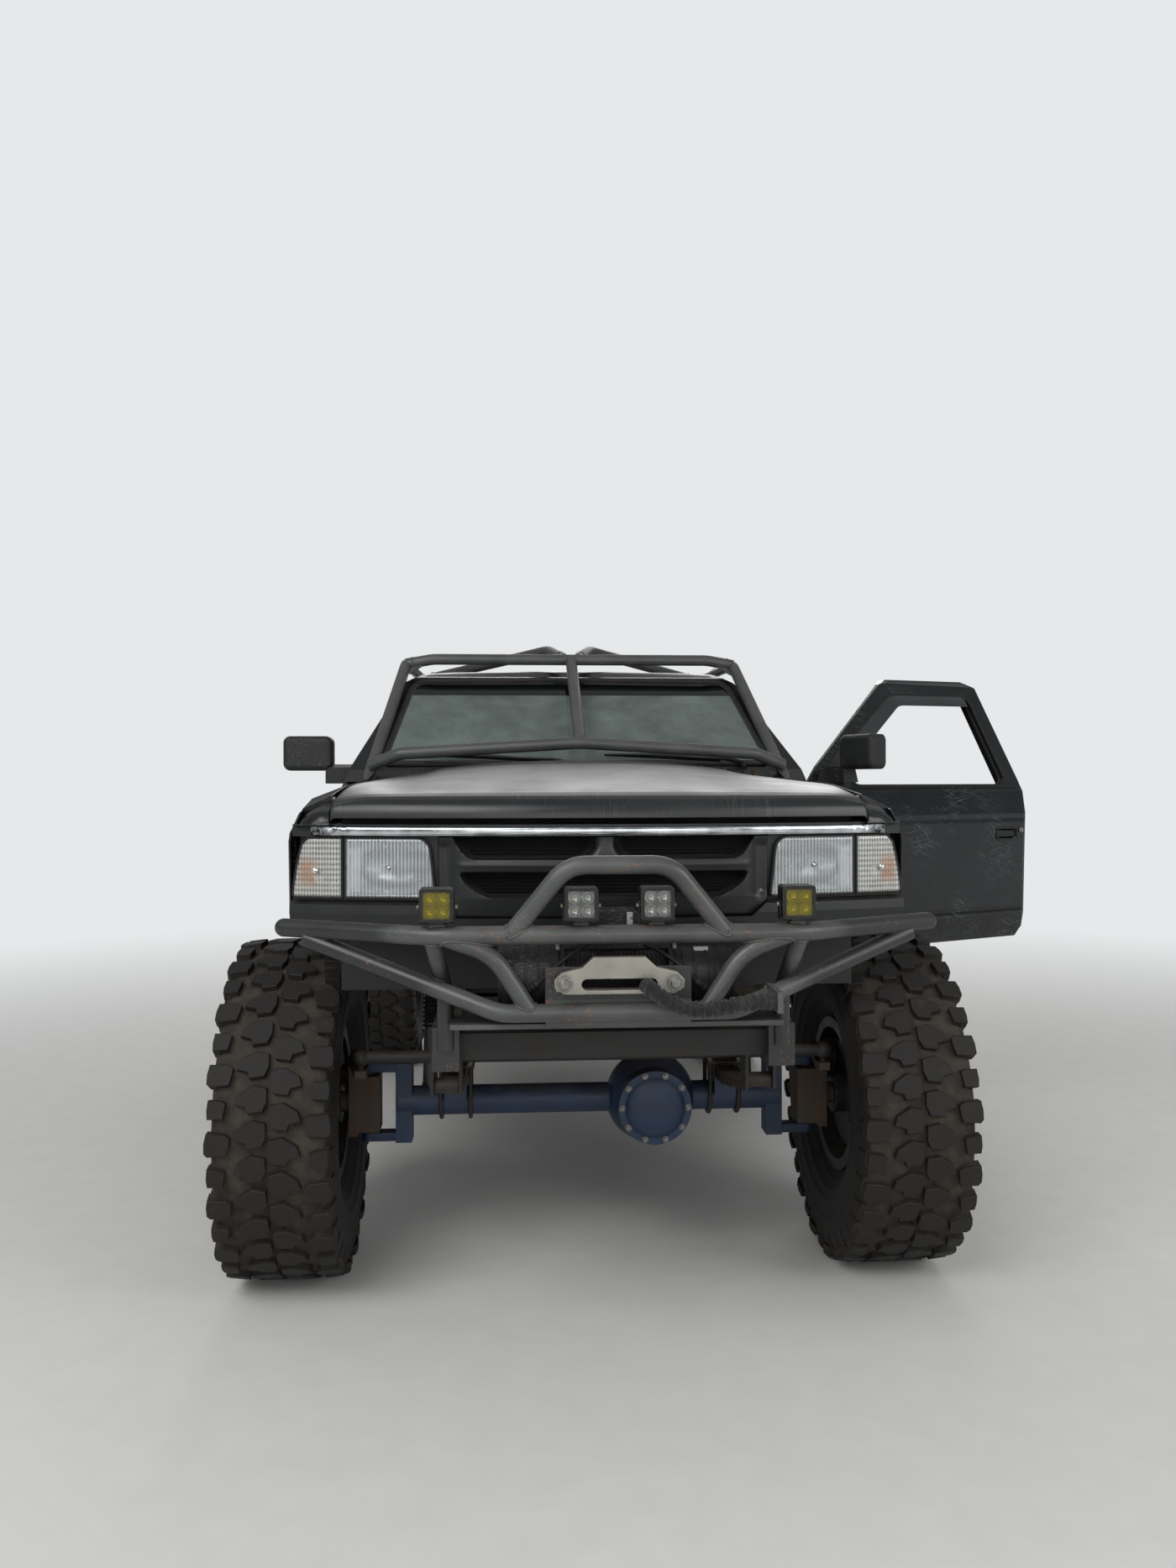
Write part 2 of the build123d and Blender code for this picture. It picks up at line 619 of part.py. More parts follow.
# columns: y, z of the front wheel arch's cut edge
front_arch = [(60, 700), (60, valance_low), (150, valance_low), (250, 1150), (960, 1150), (1130, 1010), (1172, 900),
              (1172, 700)]


def make_fenders():
    panel = loft([fender_section(*row) for row in fender_sections], ruled=True)
    arch = side_plate(front_arch, 600, 1000)
    solid = panel - arch
    back = 74 + run_gap
    corner = nose_slice([(-200, 700), (back, 700), (back, 1600), (-200, 1600)], nose_angle(1000))
    return both(solid - corner)


# Cab

# columns: x, z of the cab's outer section seen from the front
cab_outer = [(0, sill_z), (838, sill_z), (868, 960), (880, 1372), (866, 1462), (668, 1905), (600, 1948), (0, 1966)]
cab_inner = [(0, floor_top_z), (776, floor_top_z), (792, 960), (804, 1372), (806, 1462), (622, 1880), (560, 1912),
             (0, 1930)]
# columns: y, z of the cab's outer outline seen from the side
cab_side = [(1130, sill_z), (1130, 1498), (1216, 1545), (1738, 1930), (1800, 1951), (2250, 1966), (2560, 1950),
            (2606, 1900), (2655, 1500), (2655, sill_z)]
cab_side_inner = [(1172, floor_top_z), (1172, 1436), (1222, 1450), (1270, 1510), (1752, 1880), (1812, 1908), (2250, 1930),
                  (2530, 1912), (2566, 1870), (2612, 1490), (2612, floor_top_z)]
# columns: y, z of the door's outline seen from the side
door_outline = [(door_front_y, 860), (door_front_y, 1500), (1290, 1560), (1742, 1898), (1800, 1922), (2240, 1930),
                (2284, 1900), (2352, 1462), (2352, 900), (2320, 860)]
window_outline = [(1432, 1482), (1432, 1622), (1772, 1858), (2216, 1868), (2276, 1482)]
screen_half = [(0, 1572), (648, 1572), (572, 1880), (0, 1892)]
rear_window_half = [(0, 1535), (560, 1535), (520, 1860), (0, 1866)]


def closed_form(section_half, side):
    block = front_plate(mirrored_outline(section_half), 1000, 2800)
    return block & side_plate(side, -1000, 1000)


def grown(points, amount):
    """A side-view outline, offset outwards by an amount, as a thick plate through the whole body."""
    face = offset(make_face(Polyline(*points, close=True)), amount=amount, kind=Kind.INTERSECTION)
    return Pos(-1000, 0, 0) * extrude(Plane.YZ * face, amount=2000)


door_hinge_x = 868
door_hinge_y = door_front_y + 3
door_hinge_heights = (1128, 1350)


def side_walls():
    """The room that the two side walls take, from the inner section outwards and above the floor's edge."""
    half = box_at(770, 1000, 1100, 2500, 700, 1500) + box_at(540, 1000, 1100, 2500, 1499, 2100)
    inner = front_plate(mirrored_outline(cab_inner), 1000, 2600)
    return [half - inner, mirror(half - inner, about=Plane.YZ)]


steer_limit = 28
wheel_clearance = 8


def tyre_sweep(z):
    """How far back the front tyre's outer edge reaches at a height, steered to its limit, with its clearance."""
    reach = sqrt((tyre_radius + wheel_clearance)**2 - (z - axle_z)**2)
    arm = half_track - kingpin_x + tyre_width / 2
    return front_axle_y + arm * sin(radians(steer_limit)) + reach * cos(radians(steer_limit))


def make_cab():
    outer = closed_form(cab_outer, cab_side)
    inner = closed_form(cab_inner, cab_side_inner)
    solid = outer - inner
    for wall in side_walls():
        solid = solid - (grown(door_outline, panel_gap) & wall)
    solid = solid - front_plate(mirrored_outline(screen_half), 1150, 1800)
    solid = solid - front_plate(mirrored_outline(rear_window_half), 2500, 2750)
    under = box_at(-745, 745, 1100, 2700, 790, floor_top_z - 30)
    solid = solid - under
    # the lower front corners are cut away for the steered front tyres
    sweep_heights = (780, 800, 830, 860, 890, floor_top_z)
    sweep_edge = [(tyre_sweep(z), z) for z in sweep_heights]
    wheel_room = side_plate([(1100, 700), (tyre_sweep(780), 700)] + sweep_edge + [(1100, floor_top_z)], 560, 1000)
    solid = solid - wheel_room - mirror(wheel_room, about=Plane.YZ)
    for side in (-1, 1):
        solid = solid - box_at(side * 895 - 65, side * 895 + 65, 1100, 1222, 780, 1600)
        solid = solid - box_at(side * 815 - 85, side * 815 + 85, 1100, 1222, 1456, 1600)
    for z in door_hinge_heights:
        strap = box_at(806, 828, door_front_y - 12, door_hinge_y + 6, z - 13, z + 13)
        strap = strap + box_at(806, door_hinge_x, door_hinge_y - 6, door_hinge_y + 6, z - 13, z + 13)
        strap = strap + Pos(door_hinge_x, door_hinge_y, z) * Cylinder(hinge_eye_radius, 26)
        strap = strap - Pos(door_hinge_x, door_hinge_y, z) * Cylinder(hinge_pin_radius + run_gap, 30)
        solid = solid + strap + mirror(strap, about=Plane.YZ)
    for x in hood_hinge_places:
        ear = side_plate([(1134, 1480), (1156, 1492), (1126, 1553), (1106, 1553), (1106, 1538)], x - 6, x + 6)
        ear = ear - Pos(x, hood_hinge_y, hood_hinge_z) * Rot(0, 90, 0) * Cylinder(hinge_pin_radius + run_gap, 20)
        solid = solid + ear
    return solid


def make_doors():
    outer = closed_form(cab_outer, cab_side)
    thin = closed_form([(max(x - 14, 0), z - (14 if z > 1500 else 0)) for x, z in cab_outer], cab_side)
    wall = side_walls()[0]
    edge = grown(door_outline, 0) & (outer - thin) & wall
    deep = grown(door_outline, -26) & outer & wall
    door = edge + deep - side_plate(window_outline, -1000, 1000)
    pocket = box_at(865, 900, 2190, 2292, 1268, 1308)
    door = door - pocket
    grip = box_at(866, 879, 2192, 2290, 1276, 1300) + box_at(858, 870, 2194, 2214, 1278, 1298)
    for z in door_hinge_heights:
        block = box_at(854, door_hinge_x + 1, door_front_y + 0.5, door_front_y + 24, z - 40, z + 40)
        notch = Pos(door_hinge_x, door_hinge_y, z) * Cylinder(hinge_eye_radius + 5, 36)
        sweep_room = box_at(800, door_hinge_x, door_hinge_y - 12, door_hinge_y + 12, z - 18, z + 18)
        door = door + block - notch - sweep_room
        door = door + Pos(door_hinge_x, door_hinge_y, z) * Cylinder(hinge_pin_radius, 50)
    return door + grip


def make_door_glass():
    outer = closed_form([(max(x - 20, 0), z) for x, z in cab_outer], cab_side)
    inner = closed_form([(max(x - 26, 0), z) for x, z in cab_outer], cab_side)
    face = offset(make_face(Polyline(*window_outline, close=True)), amount=-0.4, kind=Kind.INTERSECTION)
    pane = Pos(-1000, 0, 0) * extrude(Plane.YZ * face, amount=2000)
    return pane & (outer - inner) & box_at(-1000, 0, 1100, 2500, 1400, 2000)


def make_mirror():
    """Left door mirror on its foot at the front corner of the window."""
    head = box_at(905, 1085, 1322, 1392, 1548, 1676)
    head = fillet(head.edges().filter_by(Axis.Y), 26)
    head = fillet(head.faces().sort_by(Axis.Y)[0].edges(), 20)
    glass_pocket = box_at(917, 1073, 1386, 1400, 1560, 1664)
    stalk = side_plate([(1330, 1500), (1330, 1560), (1380, 1572), (1400, 1500)], 830, 930)
    door_side = closed_form(cab_outer, cab_side)
    return (head - glass_pocket + stalk) - door_side


def make_glass():
    screen_slab = side_plate([(1204, 1548), (1752, 1952), (1757, 1945), (1209, 1541)], -1000, 1000)
    screen_slab = Pos(0, 16, -12) * screen_slab
    pane = front_plate(mirrored_outline([(max(x - 0.5, 0), z + (0.5 if z < 1700 else -0.5)) for x, z in screen_half]),
                       1150, 1800)
    rear_slab = side_plate([(2632, 1500), (2638, 1500), (2586, 1900), (2580, 1900)], -1000, 1000)
    rear = front_plate(mirrored_outline([(max(x - 0.5, 0), z + (0.5 if z < 1700 else -0.5))
                                         for x, z in rear_window_half]), 2500, 2750)
    return [screen_slab & pane, rear_slab & rear]


def make_dashboard():
    section = [(1172.3, 1180), (1240, 1140), (1400, 1150), (1452, 1240), (1440, 1380), (1360, 1428), (1250, 1444),
               (1172.3, 1428)]
    board = side_plate(section, -735, 735)
    reach = 15 + run_gap
    x, y, z = steering_centre
    end = (x, y - reach * cos(radians(steering_tilt)), z - reach * sin(radians(steering_tilt)))
    start = (x, y - 300 * cos(radians(steering_tilt)), z - 300 * sin(radians(steering_tilt)))
    return board + rod(start, end, 26)


steering_centre = (360, 1552, 1347)
steering_tilt = 25


def make_steering_wheel():
    ring = Torus(182, 14)
    hub = Cylinder(44, 30)
    spokes = [Rot(0, 0, a) * box_at(30, 178, -13, 13, -6, 6) for a in (0, 180, 270)]
    wheel = ring + hub + spokes
    return Pos(*steering_centre) * Rot(-(90 - steering_tilt), 0, 0) * wheel


seat_half = 690


def make_seat():
    cushion = [(1742, floor_top_z + 60), (1720, 1130), (1740, 1168), (1800, 1180), (2190, 1140), (2210, 1080),
               (2200, floor_top_z + 60)]
    back = [(2185, 1142), (2300, 1620), (2330, 1640), (2382, 1628), (2400, 1580), (2330, 1100), (2205, 1070)]
    base = box_at(-600, 600, 1790, 2180, floor_top_z + 0.3, floor_top_z + 61)
    rests = [box_at(side * 340 - 120, side * 340 + 120, 2300, 2370, 1600, 1770) for side in (-1, 1)]
    return side_plate(cushion, -seat_half, seat_half) + side_plate(back, -seat_half, seat_half) + base + rests


# Bed

# columns: x, z of the bed's outer section
bed_outer = [(0, 858), (838, 858), (868, 960), (880, 1372), (872, bed_rail_z), (0, bed_rail_z)]
tub_radius = 640
tub_wall = 20
bed_wall = 66


def make_bed():
    outer = front_plate(mirrored_outline(bed_outer), bed_front_y, bed_rear_y)
    inside = body_half_width - bed_wall - 16
    hold = box_at(-inside, inside, bed_front_y + 30, bed_rear_y + 1, bed_floor_z, bed_rail_z + 1)
    under = box_at(-inside, inside, bed_front_y - 1, bed_rear_y + 1, 800, bed_floor_z - 30)
    solid = outer - hold - under
    centre = (rear_axle_y, axle_z)
    for side in (-1, 1):
        tub = Pos(side * 738, *centre) * Rot(0, 90, 0) * Cylinder(tub_radius, 176)
        tub = tub & box_at(-900, 900, bed_front_y, bed_rear_y, bed_floor_z - 30, 1300)
        solid = solid + tub
    for side in (-1, 1):
        well = Pos(side * 838, *centre) * Rot(0, 90, 0) * Cylinder(tub_radius - tub_wall, 332)
        solid = solid - well
    lamp_pockets = [box_at(side * 856 - 50, side * 856 + 50, bed_rear_y - 26, bed_rear_y + 1, 1098, 1342)
                    for side in (-1, 1)]
    hinge = rod((-inside - 30, gate_hinge_y, gate_hinge_z), (inside + 30, gate_hinge_y, gate_hinge_z), 6 + run_gap)
    return solid - lamp_pockets - hinge


def make_tail_lamps():
    body = front_plate(mirrored_outline(bed_outer), bed_rear_y - 25.7, bed_rear_y + 6)
    return both(body & box_at(806.3, 900, 4000, 4500, 1098.3, 1341.7))


gate_hinge_y = bed_rear_y - 12
gate_hinge_z = bed_floor_z + 22


def make_tailgate():
    inside = body_half_width - bed_wall - 16
    gate = box_at(-inside + 6, inside - 6, bed_rear_y - 50, bed_rear_y, bed_floor_z + 14, bed_rail_z)
    pin = rod((inside - 20, gate_hinge_y, gate_hinge_z), (inside + 26, gate_hinge_y, gate_hinge_z), 6)
    gate = gate + pin + mirror(pin, about=Plane.YZ)
    panel = box_at(-600, 600, bed_rear_y - 4, bed_rear_y + 1, bed_floor_z + 90, bed_rail_z - 90)
    recess = box_at(-90, 90, bed_rear_y - 16, bed_rear_y + 1, bed_rail_z - 82, bed_rail_z - 34)
    return gate - panel - recess


def make_rear_bumper():
    y = bed_rear_y + 88
    z = 880
    bar = tube([(-790, y - 62, z), (-560, y, z), (560, y, z), (790, y - 62, z)], 120)
    solid = bar
    for side in (-1, 1):
        solid = solid + rod((side * 404, 4399.5, 850), (side * 404, y, z), tube_radius - 1)
        solid = solid + Pos(side * 790, y - 62, z) * Sphere(tube_radius)
        tab = side_plate([(y, z - 20), (y + 60, z - 34), (y + 78, z - 8), (y + 60, z + 16), (y, z + 20)],
                         side * 300 - 11, side * 300 + 11)
        hole = Pos(side * 300, y + 50, z - 8) * Rot(0, 90, 0) * Cylinder(shackle_hole_radius, 60)
        solid = solid + (tab - hole)
        solid = solid + box_at(side * 404 - 36, side * 404 + 36, 4392.3, 4402, 802, 908)
    socket = box_at(-receiver_outer / 2, receiver_outer / 2, 4378, y + 46, 790, 790 + receiver_outer)
    link = box_at(-receiver_outer / 2, receiver_outer / 2, y - 20, y + 20, 790 + receiver_outer - 8, z)
    solid = solid + socket + link
    bore = box_at(-receiver_inner / 2, receiver_inner / 2, 4384, y + 60, 790 + (receiver_outer - receiver_inner) / 2,
                  790 + (receiver_outer + receiver_inner) / 2)
    pin = Pos(0, y - 4, 790 + receiver_outer / 2) * Rot(0, 90, 0) * Cylinder(hitch_pin_radius, 200)
    return solid - bore - pin


# Cage

cage_foot_y = 2752


def side_run(side):
    """One long cage tube: up the windscreen pillar, back over the door and down into the bed."""
    return tube([(side * 762, 1176, 1500), (side * 668, 1738, 1985), (side * 660, 2706, 2000),
                 (side * 745, cage_foot_y, bed_floor_z + 6)], [90, 110])


def make_cage():
    body = closed_form(cab_outer, cab_side)
    sides = [side_run(side) - body for side in (-1, 1)]
    sides = [s.solids().sort_by(SortBy.VOLUME)[-1] for s in sides]
    feet = [box_at(side * 745 - 45, side * 745 + 45, cage_foot_y - 40, cage_foot_y + 50, bed_floor_z + 0.3, bed_floor_z + 8)
            for side in (-1, 1)]
    parts["cage_side_tubes"] = [s + f for s, f in zip(sides, feet)]
    runs = [side_run(side) for side in (-1, 1)]

    header = tube([(-668, 1738, 1985), (-560, 1730, 2003), (560, 1730, 2003), (668, 1738, 1985)], 200)
    rear_top = rod((-662, 2600, 1998), (662, 2600, 1998), tube_radius)
    rear_mid = rod((-716, 2736.5, 1330), (716, 2736.5, 1330), tube_radius)
    bars = [bar - runs for bar in (header, rear_top, rear_mid)]
    parts["cage_crossbars"] = [b.solids().sort_by(SortBy.VOLUME)[-1] for b in bars]

    cowl = tube([(-750, 1196, 1566), (-640, 1150, 1606), (0, 1118, 1644), (640, 1150, 1606), (750, 1196, 1566)],
                [60, 400, 60])
    strut = rod((0, 1118, 1644), (0, 1730, 2003), tube_radius)
    cowl = cowl - runs
    guard = cowl.solids().sort_by(SortBy.VOLUME)[-1] + (strut - header)
    parts["cage_screen_guard"] = guard.solids().sort_by(SortBy.VOLUME)[-1]

    braces = []
    for side in (-1, 1):
        brace = tube([(side * 30, 1745, 2010), (side * 88, 1925, 2062), (side * 620, 2600, 2006)], 120)
        braces.append((brace - header - rear_top).solids().sort_by(SortBy.VOLUME)[-1])
        stay = rod((side * 661, 2690, 1990), (side * 606, 4150, bed_floor_z + 21), tube_radius)
        stay = (stay - runs).solids().sort_by(SortBy.VOLUME)[-1]
        foot = box_at(side * 606 - 45, side * 606 + 45, 4120, 4200, bed_floor_z + 0.3, bed_floor_z + 8)
        braces.append(stay + foot)
    parts["cage_braces"] = braces


def make_sliders():
    solids = []
    for side in (-1, 1):
        main = tube([(side * 800, 1290, 762), (side * 862, 1380, 762), (side * 862, 2520, 762), (side * 800, 2610, 762)], 60)
        solid = main
        for y in (1420, 1960, 2480):
            solid = solid + rod((side * 862, y, 762), (side * (rail_outer + 0.3), y, 762), tube_radius)
        solids.append(solid)
    return solids


# Engine and driveline

def make_engine():
    block = box_at(-210, 210, 380, 900, 830, 1330)
    sump = box_at(-130, 130, 420, 860, 745, 830)
    bell = Pos(0, 960, 890) * Rot(90, 0, 0) * Cone(150, 190, 130)
    box_ = box_at(-105, 105, 1010, 1640, 690, 860)
    transfer = box_at(-110, 250, 1640, 1860, 680, 870)
    arms = box_at(-rail_inner + run_gap, rail_inner - run_gap, 600, 660, 838, 900)
    return block + sump + bell + box_ + transfer + arms


def make_shafts():
    """Propeller shafts with a round joint at each end, from the transfer case to the axles' snouts."""
    joint = 40
    away = joint + run_gap
    front = [(200, 1640 - away, 730), (front_diff_x, front_axle_y + snout_reach + away, axle_z)]
    rear = [(0, 1860 + away, 745), (0, rear_axle_y - snout_reach - away, axle_z)]
    return [Pos(*start) * Sphere(joint) + rod(start, end, 34) + Pos(*end) * Sphere(joint) for start, end in (front, rear)]


def make_radiator():
    core = box_at(-300, 300, 168, 211, 985, 1340)
    support = box_at(-715, 715, 210, 224, 930, 1440) - box_at(-270, 270, 212, 240, 1010, 1320)
    back = 74 + run_gap
    support = support + nose_slice([(back, 1110), (back + 12, 1110), (back + 12, 1140), (back, 1140)], nose_angle(700))
    for side in (-1, 1):
        support = support + box_at(side * 590 - 30, side * 590 + 30, 146, 212, 1110, 1140)
    legs = [box_at(side * 404 - 30, side * 404 + 30, 208, 226, 922.3, 940) for side in (-1, 1)]
    return core + support + legs


def make_exhaust():
    pipe = tube([(-210.3, 840, 880), (-292, 840, 880), (-300, 1060, 655), (-300, 2640, 655), (-640, 2750, 640)], 45, 27)
    can = Pos(-300, 2300, 655) * Rot(90, 0, 0) * Cylinder(60, 420)
    hanger = box_at(-312, -288, 2192, 2208, 700, rail_bottom(2200) + 19.7)
    return pipe + can + hanger


def make_tank():
    tank = box_at(-rail_inner + run_gap, rail_inner - run_gap, 3830, 4270, 700, 850)
    return fillet(tank.edges().filter_by(Axis.X), 30)


# Assembly

make_wheels()
parts["knuckle_left"] = make_knuckle()
parts["knuckle_right"] = mirror(make_knuckle(), about=Plane.YZ)
parts["tie_rod"] = make_tie_rod()
parts["front_axle"] = make_front_axle()
parts["rear_axle"] = make_rear_axle()
parts["leaf_springs"] = [leaf for x, y in ((spring_x, front_axle_y), (spring_x + 40, rear_axle_y))
                         for leaf in both(make_leaf_pack(x, y))]
parts["shock_absorbers"] = make_shocks()
parts["ladder_frame"] = make_frame()
parts["front_bumper"] = make_front_bumper()
make_pods()
parts["winch"] = make_winch()
parts["fairlead"] = make_fairlead()
parts["winch_rope"] = make_rope()
make_lamps()
parts["front_panel"] = make_front_panel()
parts["grille"] = make_grille()
parts["bright_trim"] = make_trim()
parts["bonnet"] = make_bonnet()
parts["front_fenders"] = make_fenders()
parts["cab_shell"] = make_cab()
left_door = make_doors()
swing = Pos(door_hinge_x, door_hinge_y, 0) * Rot(0, 0, -door_open_angle) * Pos(-door_hinge_x, -door_hinge_y, 0)
parts["door_left"] = swing * left_door
parts["door_right"] = mirror(left_door, about=Plane.YZ)
parts["door_glass_right"] = make_door_glass()
parts["mirror_left"] = swing * make_mirror()
parts["mirror_right"] = mirror(make_mirror(), about=Plane.YZ)
parts["cab_glass"] = make_glass()
parts["dashboard"] = make_dashboard()
parts["steering_wheel"] = make_steering_wheel()
parts["bench_seat"] = make_seat()
parts["bed_box"] = make_bed()
parts["tail_lamps"] = make_tail_lamps()
parts["tailgate"] = make_tailgate()
parts["rear_bumper"] = make_rear_bumper()
make_cage()
parts["rock_sliders"] = make_sliders()
parts["engine_gearbox"] = make_engine()
parts["driveshafts"] = make_shafts()
parts["radiator"] = make_radiator()
parts["exhaust"] = make_exhaust()
parts["fuel_tank"] = make_tank()


solids = {name: [s for piece in (shape if isinstance(shape, list) else [shape]) for s in piece.solids()]
          for name, shape in parts.items()}
boxes = [s.bounding_box() for group in solids.values() for s in group]
low = [min(getattr(b.min, a) for b in boxes) for a in "XYZ"]
high = [max(getattr(b.max, a) for b in boxes) for a in "XYZ"]
shift = Pos(-(low[0] + high[0]) / 2, -(low[1] + high[1]) / 2, -low[2])

if __name__ == "__main__":
    os.makedirs("parts", exist_ok=True)
    for name, group in solids.items():
        moved = [shift * s for s in group]
        export_step(Compound(children=moved) if len(moved) > 1 else moved[0], f"parts/{name}.step")
    print("shift", shift.position, "nodes", len(solids), "sleeve bend radii", sleeve_bends)
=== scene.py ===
# Dresses the lifted off-road pickup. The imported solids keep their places; finer pieces and finishes are
# laid on them. Sizes are millimetres in the car's own frame: x to its left, y rearwards from the grille's
# middle, z up from the floor.
import bmesh
import bpy
import json
import numpy as np
from math import cos, pi, radians, sin
from mathutils import Matrix, Vector

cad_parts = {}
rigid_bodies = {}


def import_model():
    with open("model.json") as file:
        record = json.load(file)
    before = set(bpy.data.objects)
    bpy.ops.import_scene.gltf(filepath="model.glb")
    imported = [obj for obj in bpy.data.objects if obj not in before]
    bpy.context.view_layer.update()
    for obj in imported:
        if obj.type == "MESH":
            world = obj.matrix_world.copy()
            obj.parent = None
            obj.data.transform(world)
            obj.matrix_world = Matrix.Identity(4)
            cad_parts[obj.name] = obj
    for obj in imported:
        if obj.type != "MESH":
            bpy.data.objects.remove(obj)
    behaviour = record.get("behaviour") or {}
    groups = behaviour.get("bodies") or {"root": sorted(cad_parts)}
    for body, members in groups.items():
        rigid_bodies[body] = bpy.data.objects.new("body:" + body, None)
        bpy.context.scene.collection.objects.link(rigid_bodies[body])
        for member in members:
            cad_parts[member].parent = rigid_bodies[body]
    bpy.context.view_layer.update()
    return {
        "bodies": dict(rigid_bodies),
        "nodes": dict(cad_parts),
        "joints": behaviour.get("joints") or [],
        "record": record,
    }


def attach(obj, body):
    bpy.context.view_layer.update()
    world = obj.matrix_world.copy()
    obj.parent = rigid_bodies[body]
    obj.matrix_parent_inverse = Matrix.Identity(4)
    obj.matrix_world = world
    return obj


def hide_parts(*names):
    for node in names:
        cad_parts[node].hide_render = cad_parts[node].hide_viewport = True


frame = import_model()
nodes = frame["nodes"]
joints = {joint["name"]: joint for joint in frame["joints"]}
# the bonnet's hinge line is at (0, 1114, 1545) in the car's own frame, which gives that frame's place
origin = np.array(joints["bonnet_hinge"]["pos_m"]) - np.array([0, 1.114, 1.545])
print("frame loaded,", len(nodes), "nodes")


def toMetres(points):
    return np.asarray(points, float) * 0.001 + origin


# Camera, floor and lights

camera = {"eye": (-251, -3070, 1500), "yaw": 3.81, "pitch": -0.05, "roll": -0.14,
          "focalPixels": 1400, "imageHeight": 1867}


def makeCamera():
    yaw, pitch, roll = (radians(camera[key]) for key in ("yaw", "pitch", "roll"))
    ahead = Vector((sin(yaw) * cos(pitch), cos(yaw) * cos(pitch), sin(pitch)))
    right = Vector((cos(yaw), -sin(yaw), 0))
    up = right.cross(ahead)
    right, up = right * cos(roll) + up * sin(roll), up * cos(roll) - right * sin(roll)
    data = bpy.data.cameras.new("photoCamera")
    data.sensor_fit = "VERTICAL"
    data.sensor_height = 36
    data.lens = camera["focalPixels"] / camera["imageHeight"] * 36
    data.clip_start = 0.05
    data.clip_end = 200
    eye = bpy.data.objects.new("photoCamera", data)
    place = Matrix((right, up, -ahead)).transposed().to_4x4()
    place.translation = Vector(toMetres(camera["eye"]))
    eye.matrix_world = place
    bpy.context.scene.collection.objects.link(eye)
    bpy.context.scene.camera = eye


def srgb(text, alpha=1.0):
    # sRGB hex to linear: below 0.04045 a straight line, above it a power of 2.4
    values = np.array([int(text[i:i + 2], 16) for i in (1, 3, 5)]) / 255
    values = np.where(values <= 0.04045, values / 12.92, ((values + 0.055) / 1.055) ** 2.4)
    return (*[float(v) for v in values], alpha)


def addNode(tree, kind, settings=None, links=None, stops=None):
    # one shader node: settings go to its properties or its inputs, links join its
    # inputs to other nodes' outputs
    node = tree.nodes.new("ShaderNode" + kind)
    for key, value in (settings or {}).items():
        if isinstance(key, str) and hasattr(node, key):
            setattr(node, key, value)
        else:
            node.inputs[key].default_value = value
    for key, source in (links or {}).items():
        output = source if isinstance(source, bpy.types.NodeSocket) else source.outputs[0]
        tree.links.new(output, node.inputs[key])
    if stops:
        elements = node.color_ramp.elements
        while len(elements) < len(stops):
            elements.new(0.5)
        for element, (place, colour) in zip(elements, stops):
            element.position = place
            element.color = srgb(colour) if isinstance(colour, str) else (colour, colour, colour, 1)
    return node


def newMaterial(name):
    material = bpy.data.materials.new(name)
    material.use_nodes = True
    tree = material.node_tree
    tree.nodes.clear()
    return material, tree


lights = {"key": {"at": (-3400, -4400, 5400), "size": (4.6, 3.4), "watts": 300},
          "fill": {"at": (4600, -3600, 3200), "size": (3.6, 2.8), "watts": 125},
          "front": {"at": (300, -7600, 2600), "size": (6.0, 2.6), "watts": 105},
          "back": {"at": (800, 9200, 4800), "size": (6.0, 3.4), "watts": 250}}
worldLook = {"seen": "#e6e8e9", "light": 0.42, "floor": "#d3d2cf", "floorSeen": "#d7d6d4",
             "fadeFrom": 2.6, "fadeTo": 8.5}


